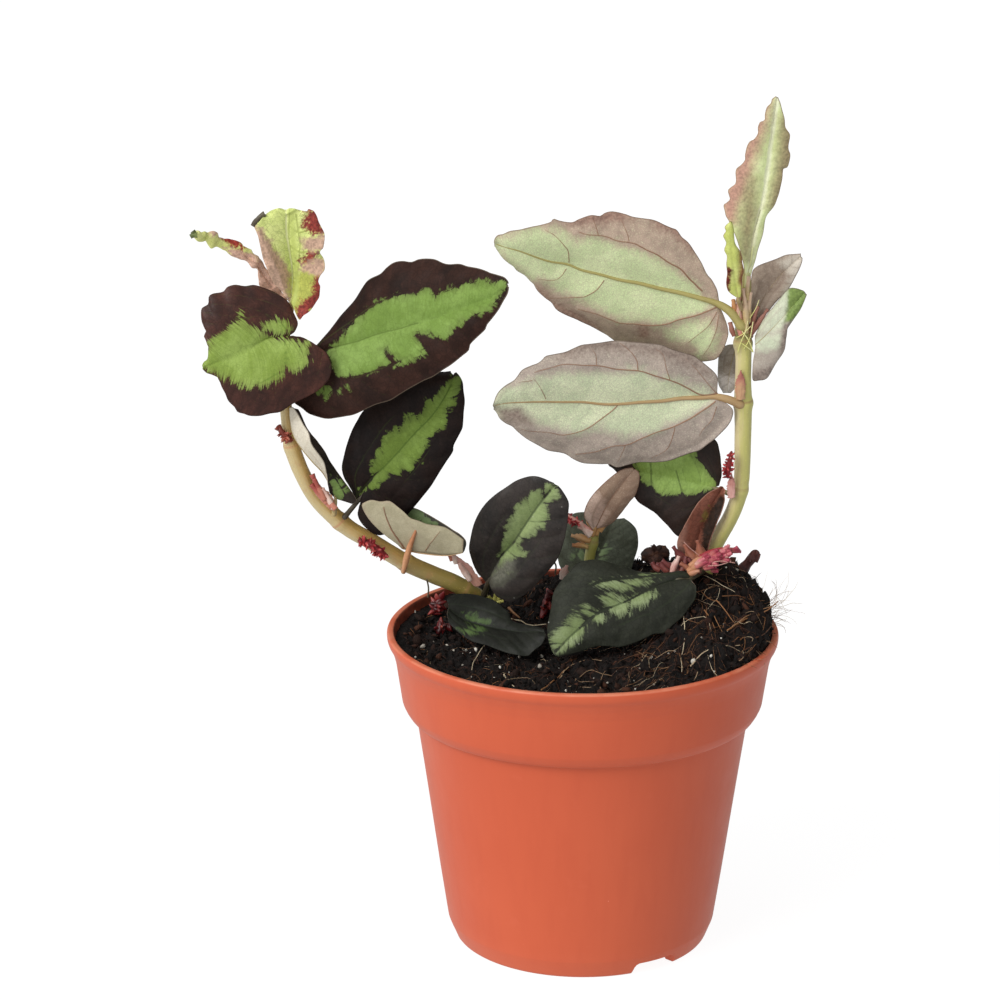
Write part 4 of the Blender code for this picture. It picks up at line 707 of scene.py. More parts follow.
        stalk=[(289, 312, -1.2, 0.8), (287, 306, -1.3, 0.8), (284, 301, -1.6, 0.7)],
        red=[[(222, 233), (238, 238), (248, 246), (243, 252), (232, 246), (221, 239)], [(250, 256), (258, 262), (262, 270), (256, 266)]],
        blush=[[(207, 229), (220, 230), (222, 238), (212, 236)], [(224, 248), (240, 250), (256, 256), (266, 262), (276, 276), (290, 298), (284, 306), (268, 298), (256, 284), (252, 268), (236, 258)]]),
    "leaf_left_big": dict(
        a=[(302, 364), (310, 354), (318, 345), (325, 336), (335, 324.6), (344.5, 312), (352.7, 302), (360, 292), (369.6, 280), (380, 273.7), (386, 268), (394.7, 262.7), (403, 261), (411, 261.5), (418, 259), (427, 258), (435, 259), (443, 262.7), (449, 264), (459.5, 263.7), (467, 266), (477, 268), (486, 271), (490.5, 273), (496.5, 274.5), (504, 276.7), (508, 281), (508.7, 284)],
        mid=[(302, 366), (313, 357), (326, 350), (340, 346), (359, 341), (378.5, 334), (399, 329), (418, 323), (440, 316), (455, 310), (474, 304), (492, 297), (508.5, 285.5)],
        b=[(300, 370), (294, 380), (291, 392), (294, 402), (302.5, 408.6), (309, 414), (319.5, 417.5), (328, 419), (335.7, 418), (346, 416), (355, 414), (368, 408), (377, 404), (390, 400.5), (399, 395), (409.4, 388.7), (422.7, 381.4), (433, 377), (443, 370), (450.7, 365), (461, 357), (468.4, 351), (470, 345), (476.5, 338), (485, 330), (487, 325), (492, 318.7), (498.6, 310), (503, 302), (507.5, 293.7), (509, 287)],
        ym=[1, -4, -13, -23], ya=[2, 3, -5, -22], yb=[1, -8, -18, -25], bulge=(2.0, 2.0), size=(124, 36), view="upper", skin="dark_big",
        stalk=[(292.8, 368, -0.6, 0.9), (297, 367, 0.3, 0.9), (301, 366, 1, 0.9)],
        green=[[(328, 348), (345, 330), (355, 320), (365, 310), (374, 302), (384, 296.6), (395, 295), (405, 293), (414, 292), (417, 288), (430, 287), (436, 293), (447, 287), (462, 284), (476, 280), (500, 279), (509, 284), (505, 292), (493, 310), (480, 315), (469, 320), (455, 330), (449, 341.6), (434, 339), (418, 336), (424, 348), (425.6, 355.6), (414, 362), (409.5, 367), (403, 365), (394, 368.5), (396, 361), (389, 354), (386, 350), (391, 362), (381, 371), (363.7, 377.7), (352, 378), (340, 377), (331, 369)],
               [(318, 388), (326, 382), (334, 388), (333, 397), (326, 399), (319, 394)], [(337, 388), (342, 386), (344, 394), (340, 399), (337, 396)], [(342, 384), (346, 381), (351, 384), (352, 390), (345, 391)]],
        marks=[[(304, 362), (326, 350), (340, 346), (359, 341), (378.5, 334), (399, 329), (418, 323)]]),
    "leaf_left_dark": dict(
        a=[(355, 500), (352.4, 491.6), (348.4, 485.5), (344, 478.4), (342, 468), (344, 457), (347, 445), (352.4, 430), (357.6, 420), (361.6, 413), (369, 404), (380, 395), (395, 386), (413, 378), (430, 373), (445, 371.7), (451, 371)],
        mid=[(360, 499), (370, 480), (385, 466), (400, 450), (415, 433), (430, 418), (443, 400), (454, 375)],
        b=[(362, 502), (360, 508), (358, 515), (362, 524), (372, 533), (382, 535), (395, 528), (406, 516), (413, 508), (420, 500), (430, 487.6), (435.6, 479), (441, 470), (446, 462), (453, 452), (454, 444.7), (461, 431), (462.7, 426), (463.7, 411), (464.7, 401), (463.5, 390), (462.7, 382), (459.6, 376), (456, 372)],
        ym=[1, 0, -3], ya=[2, 5, 0], yb=[1, -1, -4], bulge=(1.5, 1.5), size=(96, 32), view="upper", skin="dark_low",
        stalk=[(348, 513, -0.9, 0.8), (353, 507, 0.1, 0.8), (359, 500, 0.9, 0.8)],
        green=[[(355, 494), (358, 488), (366, 482), (371, 478), (371, 465), (373, 455), (380, 447), (383, 437), (389, 430), (396, 427), (403, 424), (407, 418), (413, 415), (420, 410), (428, 398), (436, 392), (440, 385), (448, 378), (456, 375), (461, 380), (461, 390), (459, 398), (455, 405), (450, 410), (449, 420), (447, 432), (437, 433), (432, 440), (428, 448), (424, 455), (424, 463), (416, 465), (413, 475), (405, 472), (400, 478), (394, 478), (385, 482), (378, 488), (370, 492), (360, 497)],
               [(401, 411), (407, 410), (413, 413), (412, 417), (404, 417)]],
        marks=[[(357, 495), (370, 480), (385, 466), (400, 450), (415, 433), (430, 418), (443, 400), (452, 385)]]),
    "leaf_left_folded": dict(
        a=[(334, 497), (329, 492), (328, 480), (325, 464), (320, 455), (312, 444), (309.5, 434), (303.5, 424), (297, 412), (293, 407)],
        mid=[(336, 499), (324, 474), (313, 462), (301, 447), (293, 432), (289.5, 407)],
        b=[(352, 504), (357, 501), (352, 492), (345, 482), (337, 471), (329, 459), (320, 444), (308, 429), (301, 414), (298, 409)],
        ym=[-1.5, -6.8, -7.6, -6], ya=[-2, -9, -10.5, -7], yb=[-1, -2, -2, -3], bulge=(0.3, 0.3), size=(70, 14), view="under", half="a", skin="white_folded",
        stalk=[(334.5, 509, -2.4, 0.7), (335, 504, -2.1, 0.7), (336, 500, -1.7, 0.6)], pale=[[(280, 400), (300, 400), (345, 500), (320, 500), (286, 440)]],
        green=[[(328, 478), (336, 474), (345, 482), (349, 492), (340, 499), (330, 498)]]),
    "leaf_left_pale": dict(
        a=[(402, 549), (394.6, 542), (382.5, 534), (373, 524.6), (366, 515), (361.7, 505), (366, 501.5), (372, 500), (380, 501.5), (388, 501), (392, 503), (400, 510), (409, 518), (418.7, 521), (428, 524.6), (443, 526.6), (450, 530), (456, 534), (464, 540)],
        mid=[(408, 550), (424, 553), (445, 555), (463, 553)],
        b=[(408, 540), (399, 525), (398, 508), (403, 504), (408, 506), (418.7, 510), (430.7, 516), (445.4, 524.6), (453.5, 530), (460, 534), (466, 541), (465, 549)],
        ym=[2, 0, -3, -5], ya=[0, -6, -8, -6], yb=[3, 3, 1, -3], bulge=(0.6, 0.6), size=(84, 20), view="under", half="a", skin="cream_folded", ripple=0.8,
        stalk=[(404.2, 568, 3.4, 0.72), (406, 560, 1.8, 0.95), (408, 552, 0.8, 0.8)], pale=[[(355, 495), (470, 520), (470, 565), (390, 555)]],
        green=[[(396, 500), (412, 505), (424, 512), (436, 520), (440, 527), (426, 526), (412, 522), (400, 516)]],
        veins=[([(404, 547), (393, 531), (386.5, 518), (384, 507)], 0.30), ([(425, 551), (432, 541), (440, 531)], 0.13)], slot="leaf_underside"),
    "leaf_middle_oval": dict(
        a=[(486, 582), (483, 579), (476.5, 573), (471, 559.5), (469, 548), (471, 535), (475, 521), (480, 511), (486, 503), (495, 495), (505, 488), (515, 481), (526, 477), (534.5, 476), (543, 478), (554, 483)],
        mid=[(489, 579), (500, 558), (513, 543), (525, 525), (538, 506), (550, 492), (557, 485)],
        b=[(491, 588), (495, 595), (501, 599), (511, 602), (523, 596), (533, 588), (541, 579), (549.5, 569.5), (558, 558), (563.5, 543), (567, 526), (568.5, 511), (568.5, 501.5), (563, 491.5), (558.5, 486)],
        ym=[7, 2, -4, -9], ya=[8, 3, -3, -9], yb=[6, -3, -9, -10], bulge=(1.5, 1.5), size=(96, 32), view="upper", skin="oval_dark",
        stalk=[(485, 592, 10.4, 0.9), (487, 586, 8.5, 0.9), (489, 581, 7.2, 0.9)],
        green=[[(490, 578), (496, 563), (500, 548), (502, 535), (508, 520), (514, 508), (521, 499), (530, 490), (538, 488), (542, 493), (545, 484), (553, 482), (560, 487), (562, 496), (556, 500), (549, 503), (551, 512), (548, 520), (545, 528), (537, 532), (530, 540), (524, 541), (518, 546), (530, 552), (526, 557), (515, 560), (508, 566), (512, 572), (500, 577)]],
        blush=[[(490, 580), (496, 566), (506, 560), (515, 562), (513, 574), (502, 584), (494, 586)]],
        marks=[[(489, 579), (500, 558), (513, 543), (525, 525), (538, 506), (550, 491)]]),
    "leaf_front": dict(
        a=[(690, 577), (687.5, 573), (680.5, 571), (669, 573.6), (655.6, 573), (636, 570), (619, 566), (601, 560), (589, 560), (577.6, 563), (568, 573), (559, 583), (553, 593), (551, 604), (548, 621), (547, 631), (549, 642), (552, 651)],
        mid=[(689, 579), (672, 581), (650, 590), (626, 602), (600, 612), (575, 632), (553, 653)],
        b=[(692, 582), (696, 587), (695.4, 598), (689, 608), (682, 617.5), (672, 626), (664, 633), (654, 634), (644, 639), (631, 644), (619, 647), (606, 646), (594, 647), (583, 651), (571, 654), (559, 656.5), (555, 655)],
        ym=[-4, -8, -13, -17], ya=[-3, -1, -6, -15], yb=[-8, -15, -17, -18], bulge=(1.5, 1.5), size=(104, 32), view="upper", skin="front_dark",
        stalk=[(701, 572, 5.4, 0.9), (695, 576, 0, 0.9), (690, 579, -3.4, 0.9)],
        green=[[(549, 640), (552, 632), (560, 625), (568, 622), (570, 616), (580, 614), (586, 622), (585, 632), (580, 640), (573, 647), (560, 653), (553, 652)], [(575, 608), (585, 604), (592, 608), (600, 610), (608, 618), (603, 624), (592, 622), (585, 614)],
               [(590, 585), (603, 580), (618, 579), (640, 580), (655, 582), (640, 587), (622, 592), (612, 590), (600, 588)], [(598, 596), (612, 592), (625, 598), (640, 593), (656, 588), (658, 597), (650, 603), (642, 609), (632, 607), (630, 615), (618, 617), (606, 610), (603, 602)], [(640, 574), (655, 573), (662, 577), (650, 580), (640, 578)]],
        marks=[[(689, 579), (672, 581), (650, 590), (626, 602), (600, 612), (575, 632), (556, 651)]]),
    "leaf_front_curled": dict(
        a=[(449, 602), (446, 599), (451, 596), (456.5, 594), (472, 594), (485, 597), (496, 602), (502, 607), (509, 613), (512, 620), (520, 624), (533, 626), (544, 629)],
        mid=[(448, 608), (465, 620), (490, 627), (520, 632), (545, 632)],
        b=[(447, 614), (449, 622.5), (455, 629), (464, 636.5), (474, 642), (487, 645.5), (501, 651), (513, 654), (527, 656), (534, 650.6), (542, 644), (546, 635)],
        ym=[4, 2, -4, -10], ya=[5, 8, 2, -9], yb=[2, -5, -13, -12], bulge=(0.8, 0.8), size=(90, 26), view="upper", skin="curled_dark",
        stalk=[(453, 602, 9.0, 0.6), (452, 605, 7.0, 0.6), (450, 609, 4.8, 0.6)],
        green=[[(461, 612), (475, 614), (490, 620), (494, 625), (478, 626), (466, 622)], [(457, 628), (470, 626), (487, 626), (484, 634), (470, 636), (460, 632)]]),
    "leaf_middle_back": dict(
        a=[(586, 584), (572, 578), (562, 570), (558, 560), (559, 548), (563, 534), (568, 522), (572.7, 514), (584, 512), (598, 513), (608, 516)],
        mid=[(592, 584), (596, 560), (606, 538), (614, 519)],
        b=[(600, 584), (618, 580), (630, 572), (634, 560), (638, 546), (637, 531), (631, 523), (624, 518)],
        ym=[25, 26, 24], ya=[25, 27, 25], yb=[25, 25, 23], bulge=(1.0, 1.0), size=(70, 24), view="upper", skin="blue_dark",
        stalk=[(590, 592, 17.6, 0.8), (591, 589, 21, 0.8), (592, 585, 24.5, 0.8)],
        green=[[(570, 560), (575, 548), (583, 543), (587, 560)], [(593, 560), (598, 548), (606, 543), (612, 548), (606, 560)]]),
    "leaf_young_pink": dict(
        a=[(592.6, 530), (587.6, 523), (584, 516), (586, 506), (592.5, 495), (604, 483), (616, 473), (624, 469), (633, 467.5)],
        mid=[(595, 528), (610, 500), (634, 469)],
        b=[(599, 528), (607.5, 526), (619, 516), (629, 503), (635.7, 495), (639, 483), (639, 473), (635, 469)],
        ym=[11, 6, 3], ya=[10, 5, 3], yb=[11, 7, 3], bulge=(0.8, 0.8), size=(60, 18), view="under", skin="pink_young", rib=0.25, pale=[[(580, 498), (590, 490), (600, 494), (606, 512), (600, 534), (582, 532)]], slot="leaf_young"),
}

# colours of each leaf's skin: dark, dark2, green, green2, mauve, mauve2, pale, pale2
SKINS = {
    "pale_upper": dict(dark=(64, 37, 33), dark2=(48, 31, 29), green=(136, 167, 86), green2=(156, 185, 106), mauve=(196, 172, 153), mauve2=(172, 150, 134), pale=(224, 236, 184), pale2=(208, 224, 170),
                       vein_low=(146, 108, 82), rim=(120, 96, 80), under_soft=2.6, accent=(172, 138, 122), accent_soft=2.2, accent_low=0.84, breakup=1.2, speckle=0.24, line=0.24),
    "pale_lower": dict(dark=(59, 37, 33), dark2=(46, 31, 29), green=(132, 163, 86), green2=(152, 180, 106), mauve=(190, 174, 162), mauve2=(166, 152, 142), pale=(232, 240, 200), pale2=(212, 224, 184),
                       vein_low=(126, 94, 78), rim=(98, 84, 72), under_soft=2.6, accent=(162, 144, 132), accent_soft=2.6, accent_low=0.84, breakup=1.2, speckle=0.26, line=0.24),
    "fresh_top": dict(dark=(200, 208, 152), dark2=(206, 214, 156), green=(224, 238, 170), green2=(236, 246, 186), mauve=(224, 224, 177), mauve2=(212, 212, 165), pale=(242, 244, 195), pale2=(231, 243, 177),
                      accent=(208, 162, 142), accent2=(166, 148, 112), vein_top=None, rim=(150, 122, 96), accent_soft=2.8, crack=0, scallop=0, net=0.16, stripe=((238, 242, 208), 1.1, (204, 214, 150), 2.4), breakup=0.6, accent_low=0.86, feather=0.5),
    "fresh_bud": dict(scallop=0, dark=(170, 180, 98), dark2=(170, 180, 98), green=(192, 200, 108), green2=(208, 214, 132), mauve=(194, 201, 119), mauve2=(184, 190, 108), pale=(205, 210, 125), pale2=(205, 210, 125),
                      accent=(112, 34, 30), accent2=(156, 104, 66), rim=(140, 96, 72), crack=0, net=0.2, breakup=0.6),
    "mauve": dict(mottle=0.5, dark=(105, 80, 71), dark2=(91, 71, 64), green=(137, 160, 103), green2=(148, 171, 109), mauve=(166, 148, 132), mauve2=(141, 123, 109), pale=(212, 203, 189), pale2=(196, 187, 173), vein_low=(118, 98, 84), rim=(112, 96, 84), hug=0.0),
    "mauve_small": dict(dark=(88, 68, 62), dark2=(77, 62, 55), green=(121, 143, 92), green2=(132, 154, 99), mauve=(174, 163, 152), mauve2=(152, 141, 130), pale=(235, 229, 224), pale2=(216, 209, 205), rim=(170, 166, 156), vein_low=(120, 108, 98), hug=0.0),
    "pale_tip": dict(mottle=0.5, accent_low=0.84, dark=(61, 57, 45), dark2=(51, 47, 39), green=(114, 141, 73), green2=(126, 151, 84), mauve=(182, 171, 159), mauve2=(163, 151, 141), pale=(210, 216, 190), pale2=(196, 204, 177), accent=(128, 150, 80), accent2=(150, 136, 126), rim=(110, 98, 86), vein_low=(170, 160, 146), hug=0.0, breakup=0.35),
    "dark_behind": dict(scallop=1.0, dark=(48, 35, 30), dark2=(39, 31, 27), green=(137, 166, 80), green2=(157, 187, 98), mauve=(166, 148, 137), mauve2=(146, 128, 116), pale=(201, 210, 166), pale2=(187, 198, 153), vein_top=(66, 84, 40), feather=0.5, crack=1.0),
    "red_folded": dict(dark=(128, 78, 62), dark2=(104, 60, 46), green=(128, 108, 58), green2=(136, 116, 62), mauve=(146, 98, 80), mauve2=(124, 80, 64), pale=(166, 124, 104), pale2=(160, 120, 100), rim=(160, 116, 98), accent=(52, 34, 24), accent2=(160, 116, 100), crack=0, breakup=0.6),
    "round_maroon": dict(scallop=1.2, cell=2.2, dark=(76, 44, 36), dark2=(54, 32, 27), green=(134, 158, 68), green2=(156, 180, 92), mauve=(146, 128, 118), mauve2=(128, 110, 102), pale=(176, 186, 146), pale2=(164, 176, 134), vein_top=(104, 132, 52), feather=1.0, streaks=(2.3, 0.13, 6.4), crack=0.8, accent2=(118, 108, 96)),
    "fresh_upright": dict(scallop=0, dark=(172, 176, 84), dark2=(184, 190, 96), green=(214, 226, 136), green2=(228, 236, 152), mauve=(213, 168, 146), mauve2=(190, 146, 125), pale=(224, 230, 157), pale2=(213, 220, 146),
                          accent=(158, 66, 58), accent2=(210, 174, 150), vein_top=(136, 146, 62), accent_soft=0.9, accent_low=0.70, breakup=1.5, crack=0, net=0.6, feather=1.4, stripe=((222, 226, 164), 0.6, (188, 200, 110), 1.4)),
    "fresh_curled": dict(scallop=0, accent_low=0.78, dark=(202, 207, 123), dark2=(202, 207, 123), green=(215, 220, 130), green2=(233, 235, 157), mauve=(240, 224, 168), mauve2=(228, 213, 157), pale=(240, 237, 175), pale2=(233, 228, 164), accent=(162, 58, 46), accent2=(226, 184, 162), accent_soft=0.6, breakup=1.2, crack=0, net=0.35),
    "dark_big": dict(spec=0.08, rough=0.52, scallop=2.2, cell=2.6, dark=(52, 33, 27), dark2=(38, 25, 21), green=(114, 141, 66), green2=(131, 158, 82), mauve=(139, 122, 112), mauve2=(122, 104, 97), pale=(169, 179, 141), pale2=(158, 169, 129), vein_top=(90, 112, 50), rim=(110, 96, 82), feather=0.55, soft=0.55, crack=1.2),
    "dark_low": dict(spec=0.10, scallop=2.2, cell=2.4, dark=(36, 26, 23), dark2=(28, 22, 21), green=(104, 126, 54), green2=(120, 144, 68), mauve=(136, 122, 114), mauve2=(118, 104, 98), pale=(166, 178, 138), pale2=(156, 168, 128), vein_top=(72, 94, 36), feather=0.5, crack=1.8),
    "white_folded": dict(dark=(54, 44, 37), dark2=(42, 36, 31), green=(126, 154, 80), green2=(134, 162, 90), mauve=(206, 198, 182), mauve2=(190, 180, 164), pale=(222, 214, 196), pale2=(208, 200, 180), rim=(120, 106, 92), vein_low=(180, 164, 144), feather=0.5, hug=0.0),
    "cream_folded": dict(mottle=0.6, dark=(58, 56, 47), dark2=(46, 46, 39), green=(126, 148, 98), green2=(112, 134, 86), mauve=(178, 162, 140), mauve2=(162, 146, 124), pale=(190, 182, 152), pale2=(176, 168, 138), rim=(140, 122, 102), vein_low=(150, 124, 98), feather=0.6, hug=0.0),
    "oval_dark": dict(scallop=1.8, cell=2.4, worn=0.5, dark=(54, 48, 45), dark2=(42, 39, 37), green=(134, 152, 98), green2=(150, 166, 114), mauve=(136, 124, 116), mauve2=(118, 108, 100), pale=(164, 174, 140), pale2=(152, 164, 128), vein_top=(60, 72, 48), accent2=(112, 112, 98), feather=0.5, soft=0.7, line=0.4, crack=1.6, accent_soft=1.6),
    "front_dark": dict(scallop=0.9, cell=2.4, streaks=(1.5, 0.34, 3.6), dark=(48, 50, 42), dark2=(39, 41, 34), green=(128, 144, 96), green2=(150, 164, 122), mauve=(136, 126, 116), mauve2=(118, 110, 100), pale=(164, 174, 140), pale2=(152, 164, 128), vein_top=(56, 70, 42), feather=1.0, soft=0.9, line=0.4, worn=0.6, crack=2.2, spec=0.10, rough=0.52),
    "curled_dark": dict(spec=0.14, scallop=0.9, cell=2.2, dark=(35, 37, 31), dark2=(29, 30, 26), green=(78, 100, 54), green2=(92, 114, 66), mauve=(136, 126, 116), mauve2=(118, 110, 100), pale=(164, 174, 140), pale2=(152, 164, 128), vein_top=(52, 64, 44), feather=0.8, soft=0.8, crack=1.2),
    "blue_dark": dict(scallop=1.0, dark=(104, 110, 96), dark2=(84, 88, 74), green=(146, 172, 125), green2=(159, 182, 133), mauve=(177, 166, 156), mauve2=(153, 143, 135), pale=(211, 224, 185), pale2=(198, 213, 172), feather=0.9, soft=0.9, crack=1.8),
    "pink_young": dict(dark=(186, 129, 114), dark2=(174, 122, 107), green=(186, 161, 124), green2=(186, 161, 124), mauve=(162, 136, 116), mauve2=(146, 120, 102), pale=(234, 206, 190), pale2=(212, 182, 164), vein_low=(138, 108, 90), rim=(124, 90, 74), hug=0.0, mottle=0.7),
}

# rib colours: the side turned from the key light, then the side facing it; painted shade and light
RIBS = {"pale_upper": ((158, 146, 86), (176, 164, 100)), "pale_lower": ((170, 132, 92), (182, 152, 108)), "fresh_top": ((196, 198, 140), (206, 208, 152)), "cream_folded": ((186, 138, 92), (196, 160, 118)),
        "pink_young": ((170, 136, 112), (158, 120, 98)), "oval_dark": ((46, 42, 34), (58, 52, 38)), "front_dark": ((84, 74, 54), (76, 70, 50)), "curled_dark": ((44, 46, 34), (52, 54, 38)), "dark_low": ((58, 50, 38), (70, 60, 42)), "dark_behind": ((110, 96, 66), (120, 108, 70)), "red_folded": ((140, 90, 70), (120, 80, 60)), "fresh_upright": ((180, 186, 104), (190, 196, 120)), "fresh_curled": ((204, 176, 120), (206, 190, 136))}


def blade(spec, rows, cols):
    """The middle surface of a leaf: rows from base to tip, columns from margin a over the midrib to margin b, in mm."""
    t = 0.5 - 0.5 * np.cos(np.linspace(0.02, 1, rows) * math.pi)
    t = 0.35 * t + 0.65 * np.linspace(0.002, 0.998, rows)
    edge, soft = {}, {}
    for key, depth in (("a", "ya"), ("mid", "ym"), ("b", "yb")):
        line = smooth(spec[key], 600)
        y = ramp(spec[depth], t)
        pos = np.linspace(0, 1, 600)
        edge[key] = at(np.interp(t, pos, line[:, 0]), np.interp(t, pos, line[:, 1]), y)
        width = 41
        kernel = np.hanning(width)
        kernel /= kernel.sum()
        pad = np.vstack([2 * line[:1] - line[1:width // 2 + 1][::-1], line, 2 * line[-1:] - line[-width // 2:-1][::-1]])[:600 + width - 1]
        calm = np.stack([np.convolve(pad[:, k], kernel, "valid") for k in (0, 1)], axis=1)
        soft[key] = at(np.interp(t, pos, calm[:600, 0]), np.interp(t, pos, calm[:600, 1]), y)
    tangent = unit(np.gradient(edge["mid"], axis=0))
    bulge = spec.get("bulge", (1.5, 1.5))
    swell = np.sin(np.pi * np.clip(t, 0.02, 0.98)) ** 0.6
    s = np.linspace(0, 1, cols + 1)
    s = 0.5 * s + 0.5 * np.sin(s * math.pi / 2)
    grid = np.empty((rows, 2 * cols + 1, 3))
    across = np.empty((rows, 2 * cols + 1))
    width = np.empty((rows, 2 * cols + 1))
    facing = 1
    for side, key in ((0, "a"), (1, "b")):
        out, calm = edge[key] - edge["mid"], soft[key] - edge["mid"]
        size = np.linalg.norm(out, axis=1, keepdims=True)
        normal = unit(np.cross(tangent, out)) * (1 if side == 0 else -1)
        if side == 0:
            facing = 1 if normal[rows // 2][1] < 0 else -1
        for c in range(cols + 1):
            k = s[c]
            lift = (bulge[side] * 4 * k * (1 - k) * swell * facing)[:, None]
            row = edge["mid"] + calm * (k - k ** 5) + out * k ** 5 + normal * lift
            j = cols - c if side == 0 else cols + c
            grid[:, j] = row
            across[:, j] = (k if side else -k) * size[:, 0]
            width[:, j] = size[:, 0]
    return t, s, grid, across, width


def grid_normal(grid):
    du, dv = np.gradient(grid, axis=0), np.gradient(grid, axis=1)
    n = np.cross(du, dv)
    size = np.linalg.norm(n, axis=2, keepdims=True)
    rowmean = unit(n.sum(axis=1))[:, None, :] * np.ones((1, grid.shape[1], 1))
    return unit(np.where(size > 1e-4, n / np.maximum(size, 1e-9), rowmean))


def on_blade(flat, points, line):
    """Points of the blade seen at a line's points, with their row and column weights."""
    idx, wts = [], []
    for p in line:
        d = np.sum((flat - p) ** 2, axis=1)
        near = np.argpartition(d, 4)[:4]
        w = 1 / (d[near] + 0.05)
        idx.append(near)
        wts.append(w / w.sum())
    idx, wts = np.array(idx), np.array(wts)
    return idx, wts, np.einsum("nk,nkj->nj", wts, points[idx])


